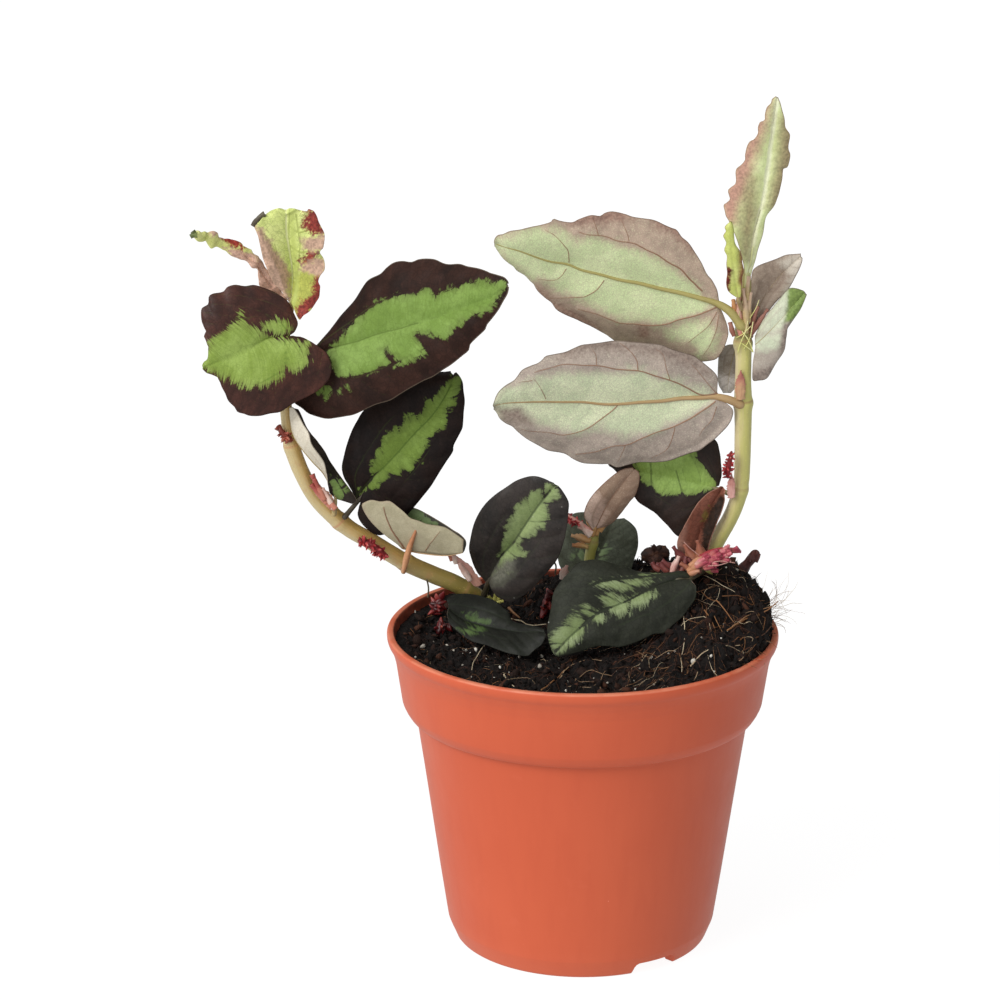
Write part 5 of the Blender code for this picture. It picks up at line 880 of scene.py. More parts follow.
def make_leaf(name, spec, number):
    skin = spec["skin"]
    rows, cols = spec["size"]
    t, s, grid, across, width = blade(spec, rows, cols)
    n = 2 * cols + 1
    normal = grid_normal(grid)
    # turn the normals to the viewer, judged on the whole blade or on half of it
    part = normal[:, :cols] if spec.get("half") == "a" else normal
    toward = unit(EYE - grid.mean(axis=(0, 1)))
    if (part @ toward).mean() < 0:
        normal = -normal
    up = normal if spec["view"] == "upper" else -normal     # towards the upper side of the leaf
    # run along the midrib and signed distance across, mm
    run = np.concatenate([[0.0], np.cumsum(np.linalg.norm(np.diff(grid[:, cols], axis=0), axis=1))])
    length = run[-1]
    u = np.repeat(run[:, None], n, axis=1)
    edge = np.minimum(np.minimum(np.maximum(width - np.abs(across), 0), (length - u) * 0.8 + 0.05), u * 1.5 + 0.15)
    seen_px = seen(grid).reshape(-1, 2)
    # folded flap towards the viewer
    if "flap" in spec:
        poly, rise = spec["flap"]
        deep = np.maximum(field(seen_px, [poly]), 0).reshape(rows, n)
        grid = grid + toward * (np.minimum(deep, 2.5) * rise * 0.4)[..., None]
    # veins: drawn ones where given, or a regular pinnate pattern
    halfwide = np.maximum(width, 0.4)
    rel = np.abs(across) / halfwide
    big = length > 35
    step = 7.5 if big else max(3.2, length / 7)
    phase = (u - 0.55 * np.abs(across) - 0.10 * np.abs(across) ** 1.5 + 0.35 * step * (across > 0)) / step
    phase = phase + 0.10 * noise(np.stack([u, across], -1), 9.0, seed=number)
    lateral = np.abs(phase - np.round(phase)) * step * 0.8
    basal = np.abs(rel - (0.55 - 0.10 * (u / length))) * halfwide + 4.0 * ease(u / length, 0.55, 0.85)
    drawn = None
    if spec.get("veins"):
        drawn = np.full(len(seen_px), 60.0)
        for line, r in spec["veins"]:
            drawn = np.minimum(drawn, gap_to_line(seen_px, smooth(line, 40)) / PX + max(0.0, 0.3 - r))
        drawn = drawn.reshape(rows, n)
    midrib = np.abs(across)
    pattern = drawn if drawn is not None else np.minimum(lateral + 0.12, basal)
    if spec.get("marks"):
        m = np.full(len(seen_px), 60.0)
        for line in spec["marks"]:
            m = np.minimum(m, gap_to_line(seen_px, smooth(line, 40)) / PX)
        pattern_top = np.minimum(pattern + 0.05, m.reshape(rows, n))
    else:
        pattern_top = np.minimum(pattern, midrib)
    # quilting between the veins, wavy margin
    quilt = spec.get("quilt", (0.34 if spec["view"] == "under" else 0.22) if big else 0.16)
    ridge = np.minimum(pattern, midrib)
    body = ease(edge, 0.0, 2.0)
    puff = (1 - np.exp(-(ridge / 1.7) ** 2)) * quilt * body
    wave = spec.get("ripple", 0.55 if big else 0.3)
    edgy = np.exp(-(edge / (3.2 if big else 1.6)) ** 2)
    wobble = noise(np.stack([u, across * 0.3], -1), spec.get("crimp", 5.5 if big else 3.0), seed=number + 50, octaves=2)
    slow = noise(np.stack([u, across], -1), 16.0, seed=number + 90)
    ends = ease(u / length, 0.0, 0.08) * (1 - ease(u / length, 0.96, 1.0))
    grid = grid + up * (puff + (wobble * wave * edgy + slow * (0.5 if big else 0.2) * body) * ends)[..., None]
    normal2 = grid_normal(grid)
    if (normal2 * up).sum(axis=2).mean() < 0:
        normal2 = -normal2
    thick = np.clip(0.10 + 0.16 * np.sqrt(np.maximum(edge, 0)), 0.10, 0.42) * (1.0 if big else 0.8)
    raised = np.exp(-(np.minimum(pattern, midrib * 0.8) / 0.32) ** 2)
    top = grid + normal2 * (thick / 2 - 0.08 * raised * body)[..., None]
    low = grid - normal2 * (thick / 2 + (0.14 if big else 0.04) * raised * body)[..., None]

    green = spec.get("green")
    if green is None:
        if spec["view"] == "under":
            g = edge - (0.42 * halfwide.max()) + 0.5
        else:
            g = np.full((rows, n), 20.0)
        g = np.asarray(g).reshape(-1)
    else:
        g = field(seen_px, green)
        if spec.get("half") == "a":
            g = np.where((np.arange(n) < cols)[None, :].repeat(rows, 0).reshape(-1), -3.0, g)
    pale = spec.get("pale")
    if pale is None:
        p = g + 0.5 if green is not None else np.full(rows * n, 20.0)
    elif not pale:
        p = np.full(rows * n, -8.0)
    else:
        p = field(seen_px, pale)
    red = field(seen_px, spec["red"]) if spec.get("red") else np.full(rows * n, -30.0)
    blush = field(seen_px, spec["blush"]) if spec.get("blush") else np.full(rows * n, -30.0)
    lay = np.stack([u - 0.5 * np.abs(across), across, np.zeros_like(u) + number * 13.0], axis=-1).reshape(-1, 3)
    both = dict(green=np.tile(g, 2), pale=np.tile(p, 2), red=np.tile(red, 2), blush=np.tile(blush, 2), edge=np.tile(edge.reshape(-1), 2),
                across=np.tile(across.reshape(-1), 2), vein=np.concatenate([pattern_top.reshape(-1), pattern.reshape(-1)]), side=np.repeat([0.0, 1.0], rows * n), lay=np.tile(lay, (2, 1)))
    shells = Shells()
    m = rows * n
    cross = np.cross(grid[1, cols] - grid[0, cols], grid[rows // 2, n - 1] - grid[rows // 2, 0])
    i, j = rows // 2, cols // 2
    a, b, c = grid[i, j], grid[i + 1, j], grid[i, j + 1]
    flip = np.dot(np.cross(c - a, b - a), normal2[i, j]) < 0
    faces = [sheet_faces(rows, n, 0, flip), sheet_faces(rows, n, m, not flip)]
    loop = np.concatenate([np.arange(n), np.arange(1, rows) * n + n - 1, (rows - 1) * n + np.arange(n - 2, -1, -1), np.arange(rows - 2, 0, -1) * n])
    nxt = np.roll(loop, -1)
    rim = np.stack([loop, loop + m, nxt + m, nxt], axis=-1)
    faces.append(rim if not flip else rim[:, ::-1])
    shells.add(np.vstack([top.reshape(-1, 3), low.reshape(-1, 3)]), faces, 0, **both)

    # stalk and midrib: one tapering rib that stands out of the lower side
    keep = np.linspace(1, rows - 3, 46 if big else 28).astype(int)
    rib_r = spec.get("rib", 0.62 if big else 0.36) * (1 - 0.80 * np.linspace(0, 1, len(keep)) ** 0.7)
    rib = grid[keep, cols] - normal2[keep, cols] * (thick[keep, cols] * 0.5 + rib_r * 0.35)[:, None]
    if spec.get("stalk"):
        st = smooth(spec["stalk"], 14)
        line3 = at(st[:, 0], st[:, 1], st[:, 2])
        first = unit(line3[0] - line3[1])
        line3 = np.vstack([line3[0] + first * 1.6, line3[0] + first * 0.8, line3])
        r3 = np.concatenate([[st[0, 3] * 1.15] * 2, st[:, 3]])
        r3 = np.linspace(1, 0.86, len(r3)) * r3
        gapv = rib[0] - line3[-1]
        line3 = np.vstack([line3, line3[-1] + gapv * 0.5])
        r3 = np.concatenate([r3, [(r3[-1] + rib_r[0]) / 2]])
        path, radii = np.vstack([line3, rib]), np.concatenate([r3, rib_r])
    else:
        path, radii = rib, rib_r
    # even out the steps
    d = np.concatenate([[0], np.cumsum(np.linalg.norm(np.diff(path, axis=0), axis=1))])
    want = np.linspace(0, d[-1], 90 if big else 56)
    path = np.stack([np.interp(want, d, path[:, k]) for k in range(3)], axis=1)
    for _ in range(2):
        path[1:-1] = (path[:-2] + 2 * path[1:-1] + path[2:]) / 4
    radii = np.interp(want, d, radii)
    # the rib's colour turns with the side facing the key light: painted light and shade
    tube(shells, path, radii, sides=10, mat=1, light=(-0.5, -0.6, 0.6))
    flat_seen, flat_pts = seen_px, (grid - normal2 * (thick / 2)[..., None]).reshape(-1, 3)
    flat_norm = normal2.reshape(-1, 3)
    if spec.get("half") == "a":
        near = np.tile(np.arange(n) <= cols, rows)
        flat_seen, flat_pts, flat_norm = flat_seen[near], flat_pts[near], flat_norm[near]
    for line, r in spec.get("veins", []):
        fine = smooth(line, max(12, int(len(line) * 7)))
        idx, w, pts = on_blade(flat_seen, flat_pts, fine[:, :2])
        nn = unit(np.einsum("nk,nkj->nj", w, flat_norm[idx]))
        for _ in range(2):
            pts[1:-1] = (pts[:-2] + 2 * pts[1:-1] + pts[2:]) / 4
        rr = (r if name == "leaf_left_pale" else 0.74 * r) * (1 - 0.6 * np.linspace(0, 1, len(pts)))
        # painted light from above: the vein's colour turns with the side facing up
        tube(shells, pts - nn * 0.05, rr, sides=6, mat=2, light=(0, 0, 1))
    mats = [leaf_skins[skin], rib_skins.get(skin, rib_skins["plain"]), vein_skin]
    return shells.make(name.replace("leaf_", "blade_"), mats, [name])


# ------------------------------------------------------------------ camera, light and floor
scene = bpy.context.scene
cam_data = bpy.data.cameras.new("camera")
cam = bpy.data.objects.new("camera", cam_data)
scene.collection.objects.link(cam)
cam.location = Vector(EYE * MM)
cam.rotation_euler = (math.pi / 2 - TILT, 0.0, 0.0)
cam_data.sensor_width = 36.0
cam_data.sensor_fit = "AUTO"
cam_data.lens = 36.0 * FOCAL / 1000.0
cam_data.clip_start, cam_data.clip_end = 0.05, 60.0
scene.camera = cam

scene.view_settings.view_transform = "Standard"
scene.view_settings.look = "None"
scene.view_settings.exposure = 0.0
scene.view_settings.gamma = 1.0

KEY_FROM = np.array((-0.62, -0.60, 0.60))
world = bpy.data.worlds.new("studio")
scene.world = world
world.use_nodes = True
wt = world.node_tree
coord = wt.nodes.new("ShaderNodeTexCoord")
dot = wt.nodes.new("ShaderNodeVectorMath")
dot.operation = "DOT_PRODUCT"
wt.links.new(coord.outputs["Generated"], dot.inputs[0])
dot.inputs[1].default_value = tuple(KEY_FROM / np.linalg.norm(KEY_FROM))
spread = wt.nodes.new("ShaderNodeMapRange")
spread.interpolation_type = "SMOOTHSTEP"
wt.links.new(dot.outputs["Value"], spread.inputs["Value"])
for key, value in (("From Min", -0.5), ("From Max", 0.95), ("To Min", 0.05), ("To Max", 0.93)):
    spread.inputs[key].default_value = value
wt.links.new(spread.outputs["Result"], wt.nodes["Background"].inputs["Strength"])
wt.nodes["Background"].inputs["Color"].default_value = (1.0, 1.0, 1.0, 1.0)


def sun(name, towards, strength, angle, colour=(1, 1, 1)):
    data = bpy.data.lights.new(name, "SUN")
    data.energy, data.angle, data.color = strength, math.radians(angle), colour
    ob = bpy.data.objects.new(name, data)
    scene.collection.objects.link(ob)
    ob.rotation_euler = Vector(towards).to_track_quat("-Z", "Y").to_euler()
    return ob


sun("key", tuple(-KEY_FROM), 1.72, 34.0, (1.0, 0.99, 0.97))

floor_shader = Shader("studio_floor", 0.9)
floor_shader.colour(floor_shader.mix(floor_shader.step(floor_shader.noise(400.0, 2.0), 0.3, 0.7), (0.11, 0.11, 0.11, 1), (0.13, 0.13, 0.13, 1)))
floor_shader.p.inputs["Specular IOR Level"].default_value = 0.0
floor_shader.p.inputs["Emission Color"].default_value = (1, 1, 1, 1)
floor_shader.p.inputs["Emission Strength"].default_value = 0.94
ray = floor_shader.node("ShaderNodeLightPath").outputs["Is Camera Ray"]
floor_shader.put(floor_shader.p.inputs["Emission Strength"], floor_shader.math("MULTIPLY_ADD", ray, 0.32, 0.62))
bm = bmesh.new()
bmesh.ops.create_grid(bm, x_segments=2, y_segments=2, size=8.0)
me = bpy.data.meshes.new("floor")
bm.to_mesh(me)
bm.free()
floor = bpy.data.objects.new("floor", me)
scene.collection.objects.link(floor)
me.materials.append(floor_shader.m)

# ------------------------------------------------------------------ pot
def pot_material():
    s = Shader("pot_plastic", 0.42, Coat_Weight=0.0)
    s.p.inputs["Specular IOR Level"].default_value = 0.30
    broad, mid, tiny = s.noise(60.0, 2.0), s.noise(7.0, 3.0), s.noise(0.5, 2.0)
    flow = s.noise(1.0, 3.0, 0.5, s.scaled(s.place, (260.0, 260.0, 40.0)))
    c = s.mix(s.step(broad, 0.3, 0.7), rgb(201, 90, 58), rgb(206, 95, 62))
    c = s.mix(s.step(flow, 0.4, 0.8, 0.0, 0.20), c, rgb(190, 80, 52))
    c = s.mix(s.step(mid, 0.62, 0.8, 0.0, 0.20), c, rgb(212, 104, 74))
    speck = s.math("MULTIPLY", s.step(s.cells(9.0), 0.012, 0.030, 1.0, 0.0), s.step(s.noise(30.0, 1.0), 0.42, 0.55))
    c = s.mix(s.math("MULTIPLY", speck, 0.75), c, rgb(232, 158, 132))
    dirt = s.math("MULTIPLY", s.step(s.cells(14.0), 0.008, 0.022, 1.0, 0.0), s.step(s.noise(23.0, 1.0), 0.5, 0.6))
    c = s.mix(s.math("MULTIPLY", dirt, 0.6), c, rgb(130, 60, 44))
    up = s.node("ShaderNodeSeparateXYZ")
    s.put(up.inputs[0], s.place)
    # painted highlights: thin lighter lines along the collar's lower edge and the top of the lip, broken up by noise
    collar_edge_highlight = s.step(s.math("ABSOLUTE", s.math("SUBTRACT", up.outputs[2], 0.07362)), 0.00012, 0.00042, 1.0, 0.0)
    lip = s.step(up.outputs[2], 0.0983, 0.0987, 0.0, 1.0)
    edge_highlight = s.math("MULTIPLY", s.math("MAXIMUM", collar_edge_highlight, lip), s.step(s.noise(11.0, 3.0), 0.35, 0.6, 0.15, 0.6))
    c = s.mix(edge_highlight, c, rgb(226, 146, 116))
    foot = s.step(s.math("ADD", up.outputs[2], s.sway(mid, 0.006)), 0.001, 0.012, 0.22, 0.0)
    c = s.mix(foot, c, rgb(214, 112, 80))
    # painted shade: the inside of the pot is darkened towards (70, 42, 36), in blotches
    inner = s.step(s.attr("inner"), 0.3, 0.7)
    c = s.mix(s.math("MULTIPLY", inner, s.step(s.noise(5.0, 3.0), 0.35, 0.7, 0.55, 0.85)), c, rgb(70, 42, 36))
    s.colour(c)
    s.rough(s.math("ADD", s.math("MULTIPLY_ADD", mid, 0.14, 0.33), s.math("MULTIPLY", tiny, 0.06)))
    s.bump(s.math("ADD", s.math("MULTIPLY", flow, 0.8), mid), 0.10, 0.5)
    s.bump(tiny, 0.02, 0.4)
    return s.m


def lathe(profile, sides):
    verts, index = [], []
    for r, z in profile:
        if r < 1e-6:
            index.append(np.full(sides, len(verts)))
            verts.append((0.0, 0.0, z))
        else:
            a = 2 * math.pi * np.arange(sides) / sides
            index.append(len(verts) + np.arange(sides))
            verts.extend(zip(r * np.cos(a), r * np.sin(a), np.full(sides, z)))
    tri, quad = [], []
    for lo, hi in zip(index[:-1], index[1:]):
        nl, nh = np.roll(lo, -1), np.roll(hi, -1)
        if lo[0] == lo[1]:
            tri.append(np.stack([lo, nh, hi], axis=-1))
        elif hi[0] == hi[1]:
            tri.append(np.stack([lo, nl, hi], axis=-1))
        else:
            quad.append(np.stack([lo, nl, nh, hi], axis=-1))
    return np.array(verts), tri, quad


def rounded(profile, radius=0.5, steps=3):
    """Rounds each inner corner of a profile with a short arc."""
    out = [profile[0]]
    for a, b, c in zip(profile[:-2], profile[1:-1], profile[2:]):
        a, b, c = map(np.array, (a, b, c))
        la, lc = np.linalg.norm(a - b), np.linalg.norm(c - b)
        r = min(radius, la * 0.45, lc * 0.45)
        p, q = b + (a - b) / la * r, b + (c - b) / lc * r
        for k in range(steps + 1):
            w = k / steps
            out.append(tuple((1 - w) ** 2 * p + 2 * w * (1 - w) * b + w * w * q))
    out.append(profile[-1])
    return out


def plain_mesh(name, verts, faces):
    me = bpy.data.meshes.new(name)
    me.from_pydata([tuple(v) for v in verts], [], [tuple(f) for f in faces])
    bm = bmesh.new()
    bm.from_mesh(me)
    bmesh.ops.recalc_face_normals(bm, faces=bm.faces)
    if bm.calc_volume(signed=True) < 0:
        bmesh.ops.reverse_faces(bm, faces=bm.faces)
    bm.to_mesh(me)
    bm.free()
    ob = bpy.data.objects.new(name, me)
    scene.collection.objects.link(ob)
    return ob


def make_pot():
    outer = [(0.0, 0.0), (PAD_R, 0.0), (PAD_R + 0.2, FLOOR_LOW), (FOOT_IN_R - 0.6, FLOOR_LOW), (FOOT_IN_R, 0.0),
             (FOOT_R - 0.6, 0.0), (FOOT_R, 0.7), (41.5, 6.0), (43.9, 22.0), (46.3, 39.0), (48.7, 55.8), (51.15, 72.3), (51.7, 73.5),
             (53.6, 73.75), (54.6, 75.3), (55.4, 77.0), (56.3, 83.0), (57.3, 89.8), (58.0, 92.6), (58.9, 94.9), (59.6, 95.9),
             (59.95, 97.0), (60.0, 98.4), (59.6, 99.0)]
    inner = [(58.1, 99.0), (57.7, 98.4), (57.4, 96.5), (56.4, 93.0), (55.6, 90.0), (53.6, 76.5), (49.2, 70.5), (44.0, 34.0), (39.9, FLOOR_TOP + 0.3), (39.0, FLOOR_TOP), (0.0, FLOOR_TOP)]
    profile = rounded(outer + inner, 0.45, 2)
    verts, tri, quad = lathe(profile, 168)
    ob = plain_mesh("pot_fine", verts * MM, [f for g in tri + quad for f in g])
    cutters = []
    for i in range(6):
        a = math.radians(60.0 * i + 17.3)
        cx, cy = DRAIN_RING_R * math.cos(a), DRAIN_RING_R * math.sin(a)
        k = 2 * math.pi * np.arange(28) / 28 + 0.13
        ring = np.stack([cx + DRAIN_R * np.cos(k), cy + DRAIN_R * np.sin(k)], -1)
        v = np.vstack([np.c_[ring, np.full(28, FLOOR_LOW - 1)], np.c_[ring, np.full(28, FLOOR_TOP + 1)]]) * MM
        j = np.arange(28)
        f = [tuple(range(28))[::-1], tuple(range(28, 56))] + [(x, (x + 1) % 28, 28 + (x + 1) % 28, 28 + x) for x in j]
        cutters.append(plain_mesh(f"cutter_{i}", v, f))
    for i, ang in enumerate(NOTCH_ANGLES):
        verts, steps = [], 10
        lines = []
        for r in (FOOT_IN_R - 2.5, FOOT_R + 4.0):
            # slanting sides with rounded upper corners
            prof = [(-NOTCH_HALF, -1.0), (-NOTCH_HALF + 0.3, 0.6), (-NOTCH_HALF + 1.1, 2.4), (-NOTCH_HALF + 1.9, 3.3), (-NOTCH_HALF + 3.2, NOTCH_TOP)]
            prof += [(-NOTCH_HALF + 3.2 + (2 * NOTCH_HALF - 6.4) * k / steps, NOTCH_TOP) for k in range(1, steps)]
            prof += [(-x, z) for x, z in prof[4::-1]]
            lines.append([(r * math.sin(math.radians(ang + b)), -r * math.cos(math.radians(ang + b)), z) for b, z in prof])
        m = len(lines[0])
        v = np.array(lines[0] + lines[1]) * MM
        f = [tuple(range(m)), tuple(range(m, 2 * m))[::-1]] + [(k, m + k, m + (k + 1) % m, (k + 1) % m) for k in range(m)]
        cutters.append(plain_mesh(f"cutter_notch_{i}", v, f))
    for c in cutters:
        mod = ob.modifiers.new(c.name, "BOOLEAN")
        mod.operation, mod.object, mod.solver = "DIFFERENCE", c, "EXACT"
    dg = bpy.context.evaluated_depsgraph_get()
    done = bpy.data.meshes.new_from_object(ob.evaluated_get(dg))
    ob.modifiers.clear()
    ob.data = done
    for c in cutters:
        bpy.data.objects.remove(c, do_unlink=True)
    done.shade_smooth()
    done.set_sharp_from_angle(angle=math.radians(38))
    co = np.zeros(len(done.vertices) * 3, np.float32)
    done.vertices.foreach_get("co", co)
    co = co.reshape(-1, 3) / MM
    r = np.hypot(co[:, 0], co[:, 1])
    # points on the inside, which the pot's material darkens as painted shade
    inside_for_shade = ((co[:, 2] > FLOOR_TOP - 0.05) & (r < pot_inner(np.clip(co[:, 2], FLOOR_TOP, 99)) + 0.25)).astype(np.float32)
    done.attributes.new("inner", "FLOAT", "POINT").data.foreach_set("value", inside_for_shade)
    done.materials.clear()
    done.materials.append(pot_material())
    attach(ob, "root")
    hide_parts("pot")
    return ob


make_pot()

# ------------------------------------------------------------------ soil
def soil_top(x, y):
    """The soil's level with the ring that is pressed up against the pot's wall."""
    base = soil_level(x, y)
    return base + 3.9 * ease(np.hypot(x, y), 48.5, 55.0) * (1 - ease(base, 93.5, 98.0))


def soil_relief(x, y):
    """Height of the soil's uneven surface, mm."""
    p = np.stack([np.asarray(x, float), np.asarray(y, float)], axis=-1)
    base = soil_top(p[..., 0], p[..., 1])
    r = np.hypot(p[..., 0], p[..., 1])
    calm = 1 - 0.8 * ease(r, 50.0, 57.0) * (1 - ease(base, 95.5, 99.0))
    p = p + np.stack([noise(p, 5.0, 70), noise(p, 5.0, 71)], -1) * 1.2
    rough = 1 + 0.75 * ease(base, 95.0, 103.0)
    calm = calm * rough
    lumps = noise(p, 8.0, 3, 2) * 1.7 + (0.5 - np.abs(noise(p, 4.0, 5))) * 2.0 + (0.5 - np.abs(noise(p, 1.9, 9))) * 1.5 + noise(p, 1.1, 10) * 0.6 + noise(p, 0.62, 11) * 0.45
    return base - 0.6 + lumps * calm


def make_soil():
    n = 252
    a = np.linspace(-1, 1, n)
    gx, gy = np.meshgrid(a, a, indexing="ij")
    swap = np.abs(gx) > np.abs(gy)
    with np.errstate(divide="ignore", invalid="ignore"):
        r = np.where(swap, gx, gy)
        ang = np.where(swap, (math.pi / 4) * np.nan_to_num(gy / gx), math.pi / 2 - (math.pi / 4) * np.nan_to_num(gx / gy))
    ux, uy = r * np.cos(ang), r * np.sin(ang)
    rim_r = 55.9
    theta = np.arctan2(uy, ux)
    lev = soil_top(rim_r * np.cos(theta), rim_r * np.sin(theta))
    reach = pot_inner(np.clip(lev, 5.5, 99.0)) - 0.12
    x, y = ux * reach, uy * reach
    z = soil_relief(x, y)
    top = np.stack([x, y, z], axis=-1).reshape(-1, 3)
    # overhangs and grit in all three directions
    wob = np.stack([noise(top, 2.4, 21, 2), noise(top, 2.4, 22, 2)], -1) * 0.5 * (1 - ease(np.hypot(top[:, 0], top[:, 1]), 50, 55))[:, None]
    top[:, :2] += wob
    i, j = np.meshgrid(np.arange(n - 1), np.arange(n - 1), indexing="ij")
    q = (i * n + j).reshape(-1)
    faces = np.stack([q, q + n, q + n + 1, q + 1], axis=-1)
    ring = np.concatenate([np.arange(n) * n, (n - 1) * n + np.arange(1, n), np.arange(n - 2, -1, -1) * n + n - 1, np.arange(n - 2, 0, -1)])
    verts, quads = [top], [faces]
    last, ang_r = ring, np.arctan2(top[ring, 1], top[ring, 0])
    count = len(top)
    # the ragged side of the heap above the rim
    for k in range(1, 6):
        zz = top[ring, 2] + (np.minimum(top[ring, 2] - 0.05, 98.6) - top[ring, 2]) * k / 5
        rr = pot_inner(np.clip(zz, 5.5, 99.0)) - 0.12
        rag = np.stack([rr * np.cos(ang_r), rr * np.sin(ang_r), zz], -1)
        above = ease(zz, 99.0, 99.8)
        rr = rr + above * (noise(rag, 2.6, 24, 2) * 1.3 + noise(rag, 0.9, 25) * 0.6 - 0.5)
        verts.append(np.stack([rr * np.cos(ang_r), rr * np.sin(ang_r), zz], -1))
        cur = count + np.arange(len(ring))
        quads.append(np.stack([last, cur, np.roll(cur, -1), np.roll(last, -1)], axis=-1))
        last, count = cur, count + len(ring)
    for zz in (90.0, 76.5, 70.5, 38.0, 6.2):
        rr = pot_inner(zz) - 0.25
        lvl = np.stack([rr * np.cos(ang_r), rr * np.sin(ang_r), np.full(len(ring), zz)], -1)
        verts.append(lvl)
        cur = count + np.arange(len(ring))
        quads.append(np.stack([last, cur, np.roll(cur, -1), np.roll(last, -1)], axis=-1))
        last, count = cur, count + len(ring)
    verts.append(np.array([[0.0, 0.0, 6.2]]))
    tri = np.stack([last, np.full(len(ring), count), np.roll(last, -1)], axis=-1)
    verts = np.vstack(verts)
    # facing out: test the top
    f = faces[len(faces) // 2]
    nz = np.cross(verts[f[1]] - verts[f[0]], verts[f[3]] - verts[f[0]])[2]
    allq = np.vstack(quads)
    if nz < 0:
        allq, tri = allq[:, ::-1], tri[:, ::-1]
    shells = Shells()
    tint = 0.30 + 0.34 * noise(verts, 1.4, 40, 2) + 0.22 * noise(verts, 7.0, 41)
    shells.add(verts, [allq, tri], 0, tint=np.clip(tint, 0, 1))
    earth = tinted_material("potting_soil", [(0.0, (9, 6, 5)), (0.42, (21, 13, 10)), (0.75, (44, 26, 19)), (1.0, (84, 50, 34))], rough=0.7, bump=0.7, grain=0.5, spec=0.26, dust=(58, 36, 27))
    return shells.make("soil_fine", [earth], ["soil"]), earth


SOIL, EARTH = make_soil()


def on_soil(px, py, lift=0.4):
    """Where the sight line through (px, py) meets the soil."""
    y = np.arange(-60.0, 62.0, 0.4)
    p = at(px, py, y)
    inside_pot = np.hypot(p[:, 0], p[:, 1]) < 57.0
    hit = np.where(inside_pot & (p[:, 2] <= soil_level(p[:, 0], p[:, 1]) + lift))[0]
    if len(hit):
        q = p[hit[0]].copy()
    elif inside_pot.any():
        k = int(np.argmin(np.where(inside_pot, p[:, 2] - soil_level(p[:, 0], p[:, 1]), 1e9)))
        q = p[k].copy()
    else:
        q = p[int(np.argmin(np.hypot(p[:, 0], p[:, 1])))].copy()
    return q


def traced(line, lift):
    """A line of the front elevation laid on the soil; past the edge of the soil it keeps its depth."""
    pts = [on_soil(line[0][0], line[0][1], lift)]
    for x, y in line[1:]:
        q = on_soil(x, y, lift)
        last = pts[-1][1]
        if np.hypot(q[0], q[1]) > 55.0 or abs(q[1] - last) > 9.0:
            q = at(x, y, last + float(np.clip(q[1] - last, -1.5, 1.5)))
        pts.append(q)
    return np.array(pts)


def scatter(rng, n, reach=55.5, inner=0.0):
    r = reach * np.sqrt(rng.uniform((inner / reach) ** 2, 1, n))
    a = rng.uniform(0, 2 * math.pi, n)
    return np.stack([r * np.cos(a), r * np.sin(a)], -1)


def on_cliff(rng, n):
    """Places on the side of the heap that stands above the rim."""
    a = rng.uniform(-math.pi, math.pi, 12 * n)
    x, y = 57.3 * np.cos(a), 57.3 * np.sin(a)
    lev = soil_level(x, y)
    ok = lev > 99.8
    a, lev = a[ok][:n], lev[ok][:n]
    z = rng.uniform(99.0, lev)
    r = 57.0 + rng.uniform(-0.8, 0.5, len(a))
    return np.stack([r * np.cos(a), r * np.sin(a), z], -1)


def make_crumbs():
    rng = np.random.default_rng(7)
    shells = Shells()
    p = scatter(rng, 420, 53.0)
    size = rng.gamma(2.2, 0.30, 420).clip(0.35, 1.7)
    z = soil_relief(p[:, 0], p[:, 1]) + size * rng.uniform(-0.3, 0.35, 420)
    crumbs(shells, np.c_[p, z], size, rng, level=2, rough=0.95, tint=rng.beta(1.3, 4.0, 420), stretch=(0.45, 1.45))
    p = scatter(rng, 2600, 54.8)
    size = rng.uniform(0.2, 0.66, 2600)
    z = soil_relief(p[:, 0], p[:, 1]) + size * rng.uniform(-0.1, 0.8, 2600)
    crumbs(shells, np.c_[p, z], size, rng, level=1, rough=0.8, tint=rng.beta(1.2, 3.4, 2600), stretch=(0.35, 1.7))
    q = on_cliff(rng, 260)
    crumbs(shells, q, rng.uniform(0.3, 1.1, len(q)), rng, level=1, rough=0.8, tint=rng.beta(1.2, 2.8, len(q)), stretch=(0.4, 1.7))
    # bark chips and husks
    p = scatter(rng, 260, 54.0)
    size = rng.uniform(0.5, 1.2, 260)
    z = soil_relief(p[:, 0], p[:, 1]) + size * 0.4
    crumbs(shells, np.c_[p, z], size, rng, level=1, rough=0.5, tint=rng.uniform(0.6, 1.0, 260), stretch=(0.2, 2.2))
    return shells.make("soil_crumbs", [EARTH])


make_crumbs()


def make_perlite():
    rng = np.random.default_rng(11)
    spots = [(423, 649, 0.85), (433, 643, 0.4), (447, 649, 0.35), (454, 653, 0.35), (466, 649, 0.45), (470, 653, 0.35), (476, 652, 0.8), (463, 664, 0.35), (540, 667, 0.6), (567, 682, 0.5), (693, 664, 0.7), (415, 617, 0.4),
             (620, 676, 0.35), (640, 668, 0.3), (665, 677, 0.45), (711, 665, 0.5), (654, 686, 0.3), (566, 690, 0.35), (500, 668, 0.35), (600, 684, 0.35)]
    pts = np.array([on_soil(x, y) for x, y, _ in spots])
    size = np.array([s for _, _, s in spots])
    p = scatter(rng, 150, 54.0)
    z = soil_relief(p[:, 0], p[:, 1]) + 0.3
    extra = rng.gamma(3.0, 0.08, 150).clip(0.1, 0.5)
    shells = Shells()
    pts[:, 2] = soil_relief(pts[:, 0], pts[:, 1]) + size * 0.4
    crumbs(shells, np.vstack([pts, np.c_[p, z]]), np.concatenate([size, extra]), rng, level=2, rough=0.6, tint=rng.uniform(0.2, 1.0, len(pts) + 150))
    m = tinted_material("perlite", [(0.0, (120, 112, 100)), (0.5, (196, 190, 178)), (1.0, (232, 228, 218))], rough=0.8, bump=0.15, grain=0.35)
    return shells.make("perlite_grains", [m])


make_perlite()


